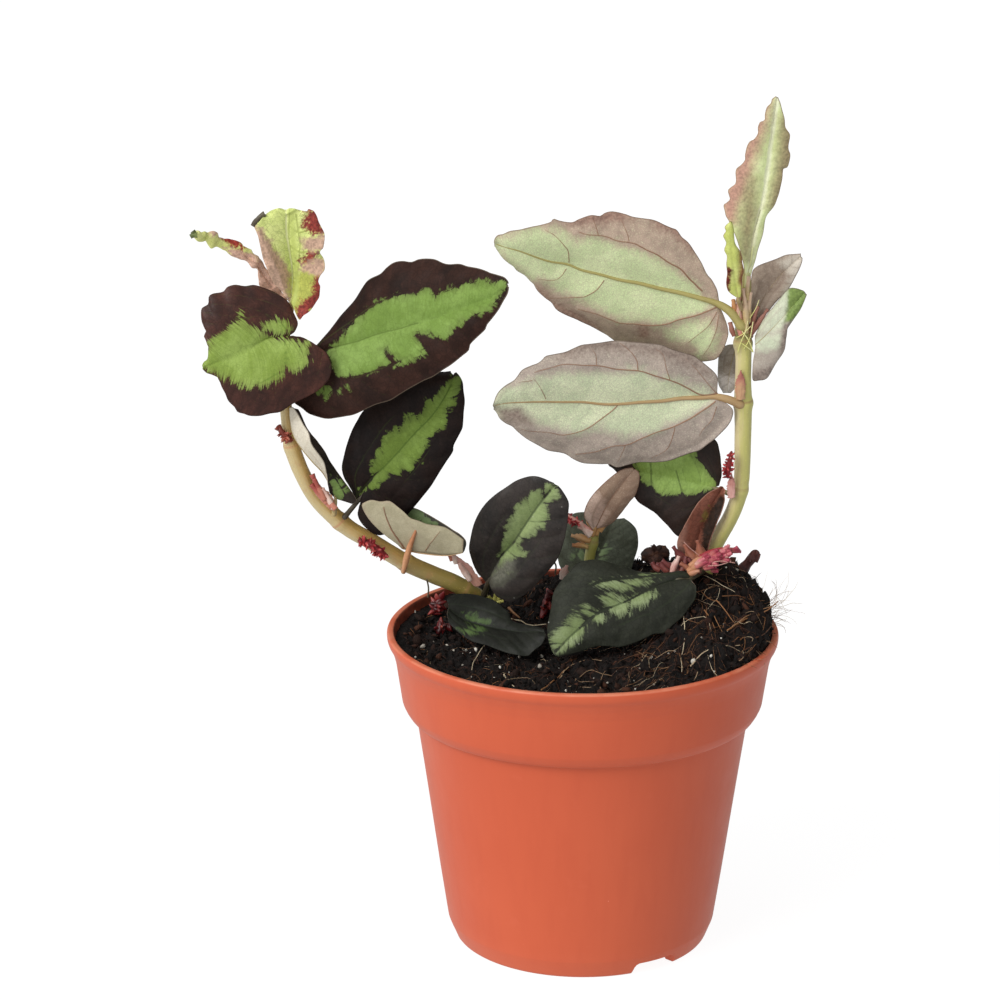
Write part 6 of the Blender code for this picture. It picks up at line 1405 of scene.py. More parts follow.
def make_fibres():
    rng = np.random.default_rng(23)
    shells = Shells()

    def lay_root(points, r, tint, wander=0.5, sink=False):
        pts = np.asarray(points, float)
        line = smooth(pts, max(10, len(pts) * 5))
        jig = np.stack([noise(line[:, :2] + 50 * k, 4.0, 60 + k) for k in range(3)], -1) * wander
        tube(shells, line + jig, r * (1 - 0.5 * np.linspace(0, 1, len(line))), sides=5, tint=tint)

    # roots that can be made out on the front elevation: line, radius, tint (0 dark brown, 1 pale), height above the soil
    roots = [([(497, 611), (504, 616), (512, 620), (520, 621), (532, 625), (547, 624)], 0.38, 0.95, 1.6), ([(509, 608), (514, 613), (520, 618)], 0.7, 0.62, 1.8),
             ([(487, 628), (489, 635), (488, 642), (480, 652), (474, 662), (472, 670)], 0.26, 0.95, 1.5), ([(427, 650), (429, 657), (430, 665)], 0.16, 0.85, 0.5),
             ([(504, 675), (509, 682), (515, 688)], 0.34, 0.95, 0.8), ([(498, 684), (504, 683.5), (510, 685)], 0.22, 0.9, 0.8),
             ([(542, 690), (556, 679), (570, 665), (580, 660)], 0.34, 0.60, 0.8), ([(560, 678), (568, 667), (580, 662), (590, 659), (602, 660)], 0.24, 0.75, 1.0),
             ([(575, 680), (590, 671), (602, 674), (612, 676)], 0.16, 0.72, 0.8), ([(600, 690), (602, 677), (606, 670)], 0.16, 0.72, 1.0),
             ([(684, 613), (684.5, 640), (681.5, 655), (682, 672)], 0.22, 0.95, 1.8), ([(700, 573), (716, 582), (728, 588), (735, 592)], 0.17, 0.98, 2.4),
             ([(630, 650), (638, 656), (645, 666)], 0.2, 0.35, 0.8), ([(697, 633), (704, 640), (710, 648)], 0.2, 0.7, 1.2), ([(690, 666), (697, 659), (706, 651), (722, 646), (740, 645)], 0.3, 0.85, 1.5),
             ([(706, 649), (716, 652), (726, 655)], 0.34, 0.97, 1.4), ([(697, 672), (695, 678), (692, 684)], 0.18, 0.75, 0.8), ([(705, 610), (712, 622), (716, 632)], 0.25, 0.6, 1.5), ([(712, 612), (716, 620), (722, 631)], 0.22, 0.62, 1.5),
             ([(727, 630), (742, 621), (757, 616), (769, 608), (778, 601)], 0.42, 0.58, 2.0), ([(732, 626), (748, 616), (762, 609), (776, 604)], 0.3, 0.66, 2.4), ([(740, 640), (748, 633), (754, 624), (760, 620)], 0.26, 0.55, 1.6),
             ([(716, 600), (724, 608), (731, 618), (736, 626)], 0.28, 0.6, 1.6), ([(722, 596), (738, 596), (750, 600), (764, 600)], 0.2, 0.5, 1.4), ([(700, 590), (708, 598), (720, 602)], 0.22, 0.55, 1.4),
             ([(752, 640), (764, 634), (772, 626)], 0.3, 0.35, 1.2), ([(745, 650), (753, 646), (764, 638)], 0.22, 0.3, 1.0)]
    for line, r, tint, lift in roots:
        fine = smooth(line, 9)
        lay_root(traced(fine[:, :2], lift), r * 0.74, tint, 0.25)
    def hairs(paths, radius, tint):
        """Many fine three-sided fibres; paths is fibres x points x 3."""
        paths = np.asarray(paths, float)
        m, n, _ = paths.shape
        tang = unit(np.gradient(paths, axis=1))
        ref = unit(rng.normal(size=(m, 1, 3)))
        side = unit(np.cross(tang, ref))
        up = np.cross(tang, side)
        slim = np.sin(np.linspace(0.25, math.pi - 0.12, n)) ** 0.4
        r = np.asarray(radius)[:, None, None, None] * slim[None, :, None, None]
        a = 2 * math.pi * np.arange(3) / 3
        pts = paths[:, :, None] + r * (side[:, :, None] * np.cos(a)[None, None, :, None] + up[:, :, None] * np.sin(a)[None, None, :, None])
        start = (np.arange(m) * n * 3)[:, None, None]
        i, j = np.meshgrid(np.arange(n - 1), np.arange(3), indexing="ij")
        q = np.stack([i * 3 + j, i * 3 + (j + 1) % 3, (i + 1) * 3 + (j + 1) % 3, (i + 1) * 3 + j], -1).reshape(1, -1, 4)
        quads = (q + start).reshape(-1, 4)
        caps = (np.array([[2, 1, 0], [(n - 1) * 3, (n - 1) * 3 + 1, (n - 1) * 3 + 2]])[None] + start).reshape(-1, 3)
        shells.add(pts.reshape(-1, 3), [quads, caps], 0, tint=np.repeat(tint, n * 3))

    def crawl(p, n, length, curl, lift, spin=None):
        """Fibres that wander over the soil from the points p."""
        m = len(p)
        ang = rng.uniform(0, 2 * math.pi, m) if spin is None else spin
        bend = rng.normal(0, curl, m)
        step = length / (n - 1)
        out = np.empty((m, n, 2))
        q = p.copy()
        for k in range(n):
            out[:, k] = q
            ang = ang + bend + rng.normal(0, curl * 0.7, m)
            q = q + step[:, None] * np.stack([np.cos(ang), np.sin(ang)], -1)
        r = np.hypot(out[..., 0], out[..., 1])
        out *= np.minimum(1, 56.5 / np.maximum(r, 1e-6))[..., None]
        z = soil_relief(out[..., 0], out[..., 1])
        for _ in range(2):
            z[:, 1:-1] = (z[:, :-2] + 2 * z[:, 1:-1] + z[:, 2:]) / 4
        z = z + 0.1 + lift[:, None] * np.sin(np.linspace(0.1, math.pi - 0.2, n))[None]
        return np.concatenate([out, z[..., None]], -1)

    # peat: short dark strands everywhere
    p = scatter(rng, 1600, 54.6)
    hairs(crawl(p, 6, rng.uniform(1.2, 4.6, 1600), 0.35, rng.uniform(0.1, 1.0, 1600)), rng.uniform(0.05, 0.15, 1600), np.where(rng.uniform(size=1600) < 0.84, rng.uniform(0.0, 0.26, 1600), rng.uniform(0.3, 0.6, 1600)))
    # finer, paler roots, most of them on the heaped side
    p = scatter(rng, 120, 53.0)
    hairs(crawl(p, 10, rng.uniform(4, 12, 120), 0.14, rng.uniform(0.2, 1.2, 120)), rng.uniform(0.04, 0.09, 120), rng.beta(1.3, 1.8, 120))
    p = np.stack([rng.uniform(14, 54, 300), rng.uniform(-40, 22, 300)], -1)
    p = p[np.hypot(p[:, 0], p[:, 1]) < 54]
    m = len(p)
    hairs(crawl(p, 10, rng.uniform(5, 17, m), 0.11, rng.uniform(0.2, 2.0, m)), rng.uniform(0.05, 0.13, m), np.where(rng.uniform(size=m) < 0.72, rng.beta(2.0, 4.5, m), rng.uniform(0.5, 0.95, m)))
    # strands that hang out of the heap's side and the fuzz past the lip
    q = on_cliff(rng, 150)
    drift = unit(q * np.array([1, 1, 0]))
    t = np.linspace(0, 1, 9)[None, :, None]
    swing = rng.normal(0, 1, (len(q), 1, 3)) * np.array([2.0, 2.0, 2.4])
    paths = q[:, None] - drift[:, None] * 1.0 + drift[:, None] * t * rng.uniform(0.6, 3.2, (len(q), 1, 1)) + swing * t ** 1.5 + np.cumsum(rng.normal(0, 0.16, (len(q), 9, 3)), axis=1)
    hairs(paths, rng.uniform(0.05, 0.11, len(q)), rng.beta(2.0, 2.0, len(q)))
    paths, tints = [], []
    for k in range(40):
        sx, sy = rng.uniform(758, 778), rng.uniform(594, 626)
        start = at(sx, sy, rng.uniform(-6.0, 10.0) + (626 - sy) * 0.25)
        ang, bend = rng.normal(-0.55, 0.6), rng.normal(0, 0.10)
        reach = rng.gamma(3.0, 4.4)
        pts = [np.array([sx, sy])]
        for i in range(10):
            pts.append(pts[-1] + reach / 6 * np.array([math.cos(ang), math.sin(ang)]))
            ang += bend + rng.normal(0, 0.13)
        pts = np.array(pts)
        pts[:, 0] = np.minimum(pts[:, 0], 808 + rng.uniform(-6, 2))
        paths.append(at(pts[:, 0], pts[:, 1], start[1] + np.linspace(0, rng.uniform(-7, 3), 11)))
        tints.append(rng.uniform(0.45, 1.0))
    hairs(paths, rng.uniform(0.035, 0.085, len(paths)), np.array(tints))
    m = tinted_material("root_fibres", [(0.0, (26, 16, 13)), (0.3, (74, 42, 28)), (0.62, (150, 104, 66)), (1.0, (222, 206, 174))], rough=0.6, bump=0.05, grain=0.5, spec=0.35)
    return shells.make("root_fibres", [m])


make_fibres()

# ------------------------------------------------------------------ leaves
leaf_skins = {k: leaf_material("leaf_" + k, **v) for k, v in SKINS.items()}
# rib and vein skins: second colour on the side facing the tube's light direction, first on the side turned away
# (painted light and shade)
rib_skins = {k: skin_material("rib_" + k, lo, hi, blotchy=0.15, speck=0.1, rough=0.45) for k, (lo, hi) in RIBS.items()}
rib_skins["plain"] = skin_material("rib_plain", (150, 128, 92), (172, 152, 104), blotchy=0.3, rough=0.45)
vein_skin = skin_material("vein_skin", (146, 108, 84), (158, 122, 96), blotchy=0.15, speck=0.0, rough=0.5)
for number, (name, spec) in enumerate(LEAVES.items()):
    make_leaf(name, spec, number)

# ------------------------------------------------------------------ stems
# each stem's light direction picks the side that takes the skin's second colour: partly painted light and shade, partly
# the stem's own two tones
STEMS = {
    "stem_left": dict(
        line=[(504, 660, 21, 2.6), (500, 634, 20.5, 2.6), (492, 613, 18.5, 2.65), (479, 599, 15.4, 2.7), (458, 585, 12, 2.7), (433, 574.5, 10, 2.7),
              (409, 564, 8, 2.7), (388, 552, 6.5, 2.65), (369, 540, 5, 2.6), (350, 529, 3.5, 2.6), (333, 515, 2, 2.65), (315, 496, 0.5, 2.5),
              (302, 473, -1.5, 2.45), (293, 450, -3, 2.45), (289.5, 436, -3.4, 2.1), (287, 418, -3.4, 1.85), (285.5, 400, -3.0, 1.8), (284, 372, -2.4, 1.7),
              (284, 345, -1.6, 1.6), (287, 322, -1.6, 1.5), (290, 306, -2.2, 1.3)],
        nodes=[(466, 588, 0.3), (406, 562, 0.3), (341, 521, 0.22), (292, 446, 0.20), (284, 352, 0.3)], light=(0.75, 0.1, 0.6), skin="left"),
    "stem_right": dict(
        line=[(703, 600, 10, 2.5), (706, 562, 9.5, 2.6), (717, 540, 8, 2.6), (729, 520, 6.5, 2.4), (737.5, 500, 5, 2.4), (741.5, 480, 4, 2.4), (742.5, 450, 3, 2.5),
              (743, 420, 2.2, 2.6), (743, 402, 1.8, 2.8), (743, 385, 1.5, 2.5), (743.5, 360, 1.2, 2.4), (743, 343, 1.2, 2.6), (742.5, 325, 1.2, 2.1), (744, 305, 1.0, 1.9),
              (746, 285, 0.5, 1.6), (747, 269, 0.0, 1.0)],
        nodes=[(742, 490, 0.3), (743, 403, 0.35), (743, 343, 0.4), (745, 300, 0.2)], light=(0.9, -0.35, 0.0), skin="right"),
    "stem_middle": dict(
        line=[(585, 660, 15, 1.6), (586, 634, 14, 1.6), (587, 595, 14, 1.6), (589, 562, 14, 1.6), (592, 545, 14, 1.6), (595, 533, 13.5, 1.4)],
        nodes=[(588, 572, 0.25), (592, 543, 0.3)], light=(0.8, -0.3, 0.2), skin="middle"),
    "stem_stub": dict(
        line=[(729, 592, 22, 1.45), (738, 576, 22, 1.5), (747, 564, 21.5, 1.5), (755.5, 554, 21, 1.5)],
        nodes=[(743, 569, 0.35)], light=(0.8, -0.3, 0.2), skin="stub"),
}

# stem skins: first colour on the side turned from each stem's light direction, second on the side facing it; partly the
# stem's own two tones, partly painted light and shade
stem_skins = {
    "left": skin_material("stem_left_skin", (204, 186, 138), (194, 158, 86), stripe=None, blotch=(190, 132, 96), blotchy=0.34, speck=0.35, rough=0.40, tip=(150, 134, 66), tip_at=(62.0, 34.0)),
    "right": skin_material("stem_right_skin", (212, 196, 152), (196, 192, 110), blotch=(158, 124, 84), blotchy=0.22, speck=0.3, rough=0.40, tip=(158, 150, 88), tip_at=(84.0, 93.0)),
    "middle": skin_material("stem_middle_skin", (190, 186, 112), (168, 164, 84), blotch=(150, 110, 80), blotchy=0.2, speck=0.25, rough=0.42),
    "stub": skin_material("stem_stub_skin", (86, 36, 30), (64, 26, 22), blotch=(40, 18, 16), blotchy=0.6, speck=0.3, rough=0.62),
}


def make_stem(name, spec):
    line = smooth(spec["line"], 600)
    centre = at(line[:, 0], line[:, 1], line[:, 2])
    radius = line[:, 3].copy()
    run = np.concatenate([[0.0], np.cumsum(np.linalg.norm(np.diff(centre, axis=0), axis=1))])
    count = max(24, int(run[-1] / 0.75))
    ring = np.zeros(len(run))
    for px, py, amp in spec["nodes"]:
        k = int(np.argmin(np.hypot(line[:, 0] - px, line[:, 1] - py)))
        radius += amp * np.exp(-((run - run[k]) / 1.5) ** 2) - 0.5 * amp * np.exp(-((run - run[k] - 2.2) / 0.7) ** 2) * 0.5
        ring = np.maximum(ring, np.exp(-((run - run[k] - 0.9) / 0.45) ** 2))
    want = np.linspace(0, run[-1], count)
    centre = np.stack([np.interp(want, run, centre[:, k]) for k in range(3)], axis=1)
    radius, ring = np.interp(want, run, radius), np.interp(want, run, ring)
    knotty = 0.012 if name != "stem_stub" else 0.07
    shells = Shells()
    tube(shells, centre, radius, sides=28, light=spec["light"], ring=ring,
         wave=lambda a, b: knotty * np.sin(b * 7 + a * 9) + knotty * noise(np.stack(np.broadcast_arrays(a * run[-1], np.cos(b) * 3, np.sin(b) * 3), -1), 2.5, 77, 2) * 1.6)
    ob = shells.make(name.replace("stem_", "stalk_"), [stem_skins[spec["skin"]]], [name])
    return centre, radius


PATHS = {name: make_stem(name, spec) for name, spec in STEMS.items()}

# ------------------------------------------------------------------ sheathing scales
SCALES = {
    "scale_left_lower": dict(a=[(330, 510), (322, 500), (317, 486)], mid=[(333, 509), (326, 498), (318, 483)], b=[(337, 507), (331, 495), (321, 484)], ym=[-4.0, -4.4], ya=[-3.8, -4.4], yb=[-4.0, -4.2]),
    "scale_left_base": dict(a=[(474, 586), (461, 571), (452, 556)], mid=[(478, 586), (466, 570), (455, 555)], b=[(483, 584), (471, 567), (461, 556)], ym=[7.5, 4], ya=[7.5, 4], yb=[7.5, 4]),
    "scale_right_joint": dict(a=[(736, 399), (735, 386), (738, 371)], mid=[(740, 400), (740.5, 386), (741, 370)], b=[(745, 399), (746, 385), (744, 371)], ym=[-2.0, -1.7], ya=[-1.6, -1.4], yb=[-2.0, -1.7]),
    "scale_right_lower": dict(a=[(728, 498), (727, 487), (729, 475)], mid=[(732, 498), (731, 486), (732, 474)], b=[(735.5, 497), (735, 486), (734.5, 474)], ym=[1.0, 0.5], ya=[1.5, 0.5], yb=[0.6, -0.4]),
}


def scale_material(name, base, tip, vein):
    s = Shader(name, 0.5, Sheen_Weight=0.1)
    lay = s.attr("lay", "Vector")
    mid, fine = s.noise(2.0, 3.0), s.noise(0.5, 2.0)
    lines = s.noise(1.0, 2.0, 0.6, s.scaled(lay, (0.25, 3.4, 1.0)))
    c = s.mix(s.step(s.math("ADD", s.attr("up"), s.sway(mid, 0.7)), 0.2, 0.85), rgb(*base), rgb(*tip))
    c = s.mix(s.step(lines, 0.52, 0.72, 0.0, 0.55), c, rgb(*vein))
    c = s.mix(s.step(fine, 0.5, 0.8, 0.0, 0.25), c, rgb(*[int(x * 0.8) for x in base]))
    s.colour(c)
    s.rough(s.math("MULTIPLY_ADD", fine, 0.2, 0.4))
    s.bump(lines, 0.15, 0.7)
    return s.m


scale_skins = {
    "scale_left_lower": scale_material("stipule_a", (206, 140, 108), (222, 172, 148), (176, 98, 76)),
    "scale_left_base": scale_material("stipule_b", (212, 158, 138), (214, 160, 148), (170, 96, 84)),
    "scale_right_joint": scale_material("stipule_c", (190, 150, 112), (172, 104, 92), (158, 100, 82)),
    "scale_right_lower": scale_material("stipule_d", (208, 160, 150), (190, 130, 120), (170, 100, 92)),
}


def thin_blade(shells, spec, rows, cols, thick, mat=0, seed=0, fringe=0.0):
    t = np.linspace(0.0, 1.0, rows)
    edges = {}
    for key, depth in (("a", "ya"), ("mid", "ym"), ("b", "yb")):
        line = smooth(spec[key], 200)
        pos = np.linspace(0, 1, 200)
        edges[key] = at(np.interp(t, pos, line[:, 0]), np.interp(t, pos, line[:, 1]), ramp(spec[depth], t))
    s = np.linspace(-1, 1, 2 * cols + 1)
    grid = np.where((s < 0)[None, :, None], edges["mid"][:, None] + (edges["a"] - edges["mid"])[:, None] * np.abs(s)[None, :, None],
                    edges["mid"][:, None] + (edges["b"] - edges["mid"])[:, None] * np.abs(s)[None, :, None])
    point = np.sqrt(np.maximum(0.02, 1 - ease(t, 0.55, 1.0) ** 1.5))[:, None, None]
    mean = edges["mid"][:, None]
    grid = mean + (grid - mean) * point
    normal = grid_normal(grid)
    toward = unit(EYE - grid.mean(axis=(0, 1)))
    if (normal @ toward).mean() < 0:
        normal = -normal
    curl = spec.get("curl", 0.5)
    grid = grid + normal * (curl * (1 - s ** 2) * 1.0)[None, :, None] + normal * (0.25 * noise(grid, 1.8, 300 + seed, 2))[..., None]
    if fringe:
        grid = grid + unit(grid - mean) * (fringe * noise(np.stack([t[:, None] * 20 + 0 * s, s[None, :] * 2 + 0 * t[:, None]], -1), 0.8, 310 + seed) * (np.abs(s) > 0.85)[None, :])[..., None]
    n = 2 * cols + 1
    top, low = grid + normal * thick / 2, grid - normal * thick / 2
    m = rows * n
    i, j = rows // 2, cols // 2
    flip = np.dot(np.cross(grid[i, j + 1] - grid[i, j], grid[i + 1, j] - grid[i, j]), normal[i, j]) < 0
    faces = [sheet_faces(rows, n, 0, flip), sheet_faces(rows, n, m, not flip)]
    loop = np.concatenate([np.arange(n), np.arange(1, rows) * n + n - 1, (rows - 1) * n + np.arange(n - 2, -1, -1), np.arange(rows - 2, 0, -1) * n])
    nxt = np.roll(loop, -1)
    rim = np.stack([loop, loop + m, nxt + m, nxt], axis=-1)
    faces.append(rim if not flip else rim[:, ::-1])
    length = np.linalg.norm(edges["mid"][-1] - edges["mid"][0])
    wide = np.linalg.norm(edges["b"] - edges["a"], axis=1).max()
    lay = np.stack([np.repeat(t[:, None] * length, n, 1), np.repeat(s[None] * wide / 2, rows, 0), np.full((rows, n), seed * 7.0)], -1).reshape(-1, 3)
    up = np.repeat(t[:, None], n, 1).reshape(-1)
    shells.add(np.vstack([top.reshape(-1, 3), low.reshape(-1, 3)]), faces, mat, lay=np.tile(lay, (2, 1)), up=np.tile(up, 2), tint=np.full(2 * m, (seed * 0.37) % 1.0))


for k, (name, spec) in enumerate(SCALES.items()):
    shells = Shells()
    thin_blade(shells, spec, 30, 9, 0.22, seed=k, fringe=0.35)
    shells.make(name.replace("scale_", "stipule_"), [scale_skins[name]], [name])

# ------------------------------------------------------------------ buds
BUDS = {
    "bud_left_upper": dict(line=[(279.5, 426, -6, 1.0), (281, 431, -6.6, 1.5), (286, 437, -6.6, 1.5), (291, 441, -6.2, 0.9)], count=22, size=0.8, kind="brownred"),
    "bud_left_lower": dict(line=[(359, 541, 0.3, 1.0), (367, 543, 0, 1.9), (377, 549, -0.5, 2.1), (386, 556, 0, 1.4)], count=46, size=0.95, kind="crimson"),
    "bud_pot_left": dict(line=[(434, 613, 5, 1.0), (436, 605, 5, 1.6), (442, 597, 5.3, 1.5)], count=15, size=1.5, kind="deep"),
    "bud_pot_front": dict(line=[(437, 630, 9.5, 1.1), (445, 626, 9.5, 1.5), (451, 626, 9.5, 1.0)], count=11, size=1.35, kind="deep"),
    "bud_centre": dict(line=[(544, 614, 20, 1.1), (546, 606, 20, 1.9), (548, 597, 20, 1.6), (549, 591, 20, 0.9)], count=20, size=1.35, kind="deep"),
    "bud_middle_shoot": dict(line=[(561, 516, 11, 1.1), (567, 517, 10.5, 1.9), (575, 521, 10.5, 1.6), (590, 530, 11, 1.2)], count=40, size=0.78, to=0.62, core=0.95, kind="crimson"),
    "bud_right_base": dict(line=[(694, 566, -1, 1.8), (706, 558, -2, 3.4), (720, 552, -3, 2.6), (733, 550, -4, 1.4)], count=5, size=0.8, kind="pinkred"),
    "bud_right_stem": dict(line=[(728, 477, -0.6, 1.0), (728, 470, -1.2, 1.5), (730, 460, -1.6, 1.3), (731.5, 452, -2, 0.7)], count=40, size=0.66, kind="crimson"),
}

bud_skins = {
    "crimson": tinted_material("bud_crimson", [(0.0, (88, 16, 20)), (0.45, (150, 36, 40)), (0.8, (196, 84, 82)), (1.0, (230, 180, 166))], rough=0.45, bump=0.06, grain=0.6, spec=0.4),
    "pinkred": tinted_material("bud_pinkred", [(0.0, (140, 40, 48)), (0.45, (188, 76, 82)), (0.8, (214, 128, 120)), (1.0, (236, 200, 184))], rough=0.45, bump=0.06, grain=0.6, spec=0.4),
    "deep": tinted_material("bud_deep", [(0.0, (54, 8, 10)), (0.45, (104, 20, 22)), (0.8, (150, 54, 46)), (1.0, (196, 130, 110))], rough=0.4, bump=0.06, grain=0.6, spec=0.5),
    "brownred": tinted_material("bud_brownred", [(0.0, (96, 34, 26)), (0.45, (150, 66, 50)), (0.8, (190, 110, 86)), (1.0, (220, 176, 146))], rough=0.45, bump=0.06, grain=0.6, spec=0.4),
}


def leaflet(shells, base, tip, wide, y0, y1, curl=0.6, seed=0, mat=0, bow=0.0, blunt=0.3, rows=16, cols=5, thick=0.22):
    """A small pointed bract between two points of the front elevation."""
    b, t_ = np.array(base, float), np.array(tip, float)
    d = (t_ - b) / np.linalg.norm(t_ - b)
    nrm = np.array([-d[1], d[0]])
    m_ = b * 0.55 + t_ * 0.45 + nrm * bow
    spec = dict(a=[tuple(b - nrm * wide * 0.3), tuple(m_ - nrm * wide / 2), tuple(t_ - nrm * wide * blunt / 2)], mid=[tuple(b), tuple(m_), tuple(t_)],
                b=[tuple(b + nrm * wide * 0.3), tuple(m_ + nrm * wide / 2), tuple(t_ + nrm * wide * blunt / 2)], ym=[y0, y1], ya=[y0 + 0.5, y1 + 0.4], yb=[y0 + 0.5, y1 + 0.4], curl=curl)
    thin_blade(shells, spec, rows, cols, thick, seed=seed, mat=mat, fringe=0.2)


def tepal(shells, base, along, length, wide, tint, rng):
    """One narrow bud scale: a bent drop."""
    v, f = ICO[2]
    o = unit(np.asarray(along, float))
    x = unit(np.cross(o, rng.normal(size=3)))
    z = np.cross(o, x)
    h = v[:, 2]
    taper = 1 - 0.55 * np.clip(h, -0.2, 1) ** 2
    bend = 0.35 * wide * h ** 2
    keel = 1 + 0.12 * np.cos(np.arctan2(v[:, 1], v[:, 0]) * 3)
    pts = np.asarray(base)[None] + (v[:, :1] * (taper * keel * wide)[:, None] + bend[:, None]) * x + v[:, 1:2] * (taper * keel * wide * 0.72)[:, None] * z + (h * length)[:, None] * o
    shells.add(pts, [f], 0, tint=np.clip(tint + 0.34 * h, 0, 1))


for k, (name, spec) in enumerate(BUDS.items()):
    rng = np.random.default_rng(200 + k)
    shells = Shells()
    line = smooth(spec["line"], 24)
    core = at(line[:, 0], line[:, 1], line[:, 2])
    rad = line[:, 3]
    mats = [bud_skins[spec["kind"]]]
    tube(shells, core, rad * 0.55, sides=12, tint=spec.get("core", 0.2))
    tang, side, upd = frames(core)
    if name == "bud_right_base":
        # a spray of overlapping bracts that point along the shoot
        mats += [scale_material("bract_rose", (190, 108, 104), (160, 54, 74), (136, 40, 58)), scale_material("bract_blush", (214, 162, 148), (200, 106, 116), (176, 84, 94)),
                 scale_material("bract_tan", (190, 132, 94), (190, 134, 106), (150, 90, 64))]
        way = np.array([0.90, -0.43])
        for i in range(46):
            t = rng.uniform(0, 0.86)
            c = np.array([696.0, 568.0]) + t * np.array([34.0, -17.0])
            off = rng.normal(0, 3.6 * (1 - 0.5 * t))
            c = c + off * np.array([0.43, 0.90])
            turn = math.radians(rng.normal(0, 16) + off * 3.5)
            d = np.array([way[0] * math.cos(turn) - way[1] * math.sin(turn), way[0] * math.sin(turn) + way[1] * math.cos(turn)])
            size = rng.uniform(8, 13) * (1 - 0.25 * t)
            y = -2.0 - 2.6 * math.sqrt(max(0.0, 1 - (off / 9) ** 2)) - 2.2 * t + rng.normal(0, 0.35)
            leaflet(shells, c, c + d * size, rng.uniform(4.6, 7.2), y + 0.8, y - 0.5, curl=0.75, blunt=0.55, seed=300 + i, mat=1 + int(rng.choice(2, p=[0.62, 0.38])), rows=12, cols=4)
        for i, (q0, q1, w) in enumerate([((688, 571), (704, 562), 9), ((690, 566), (706, 556), 8), ((686, 575), (700, 570), 7)]):
            leaflet(shells, q0, q1, w, -2.0, -3.6, curl=0.8, seed=360 + i, mat=3)
        for i in range(5):
            leaflet(shells, (727 + i, 553 - i * 0.6), (738 + i * 0.8, 547 + i * 1.2), 4.0, -4.6, -6.0 + i * 0.3, curl=0.5, seed=370 + i, mat=1, rows=12, cols=4)
    for i in range(spec["count"]):
        t = rng.uniform(spec.get("from", 0.0), spec.get("to", 1.0))
        j = min(23, int(t * 23))
        ang = rng.uniform(0, 2 * math.pi)
        out = unit(side[j] * math.cos(ang) + upd[j] * math.sin(ang) + tang[j] * rng.normal(0.15, 0.45))
        reach = rad[j] * rng.uniform(0.35, 0.8)
        size = spec["size"] * rng.uniform(0.7, 1.2)
        tepal(shells, core[j] + out * reach, out + 0.25 * rng.normal(size=3), size * rng.uniform(1.3, 1.9), size * rng.uniform(0.55, 0.8), rng.uniform(0.05, 0.62), rng)
    shells.make(name + "_cluster", mats, [name])

# sheath at the foot of the right stem, and a withered leaf
rng = np.random.default_rng(5)
shells = Shells()
for k, (base_p, tip_p, wide, y0, y1, mat) in enumerate([((694, 573), (673, 546), 13, 1.5, 2.4, 0), ((686, 574), (662, 560), 10, 0.8, 1.8, 0), ((700, 571), (684, 544), 12, 0.4, 2.6, 2), ((704, 568), (697, 540), 12, -0.2, 1.6, 2),
                                                       ((676, 573), (656, 564), 7, 2.0, 2.5, 0), ((688, 576), (671, 571), 6, -0.5, 0.0, 2), ((672, 573), (679, 556), 7, -0.6, -0.2, 1), ((668, 572), (660, 562), 6, 1.0, 1.6, 0),
                                                       ((681, 572), (686, 556), 5, -0.6, 0.4, 0), ((692, 575), (680, 563), 6, -1.2, -0.6, 2), ((700, 573), (688, 558), 6, -1.2, -0.4, 0), ((660, 570), (652, 562), 4, 1.8, 2.6, 0)]):
    leaflet(shells, base_p, tip_p, wide, y0, y1, curl=0.8, seed=20 + k, mat=mat, rows=20, cols=6, blunt=0.2, bow=rng.normal(0, 1.2))
for line in [[(714, 562), (722, 561), (735, 563)], [(708, 566), (720, 565), (731, 561)], [(700, 556), (690, 548), (684, 542)]]:
    fine = smooth(line, 8)
    tube(shells, at(fine[:, 0], fine[:, 1], np.full(8, -7.0 if line[0][0] > 705 else 0.0)), 0.12, sides=6, mat=1, up=0.2)
# the torn top of the old stem
for k, (q0, q1, w) in enumerate([((749, 561), (752.5, 551.5), 3.6), ((751, 560), (755, 550.5), 3.4), ((754, 560), (757.5, 551), 3.6), ((756, 562), (759.5, 553.5), 3.2), ((752, 562), (756.5, 552.5), 4)]):
    leaflet(shells, q0, q1, w, 19.7, 19.9, curl=0.5, seed=140 + k, mat=3, rows=12, cols=4, blunt=0.55)
shells.make("bract_right_base_fine", [scale_material("stipule_e", (118, 56, 46), (104, 42, 40), (74, 26, 26)), scale_material("stipule_f", (206, 156, 144), (220, 184, 174), (180, 106, 100)),
                                      scale_material("stipule_g", (160, 104, 72), (148, 86, 64), (116, 62, 44)), scale_material("stipule_h", (78, 34, 28), (96, 44, 34), (48, 20, 18))], ["bract_right_base"])

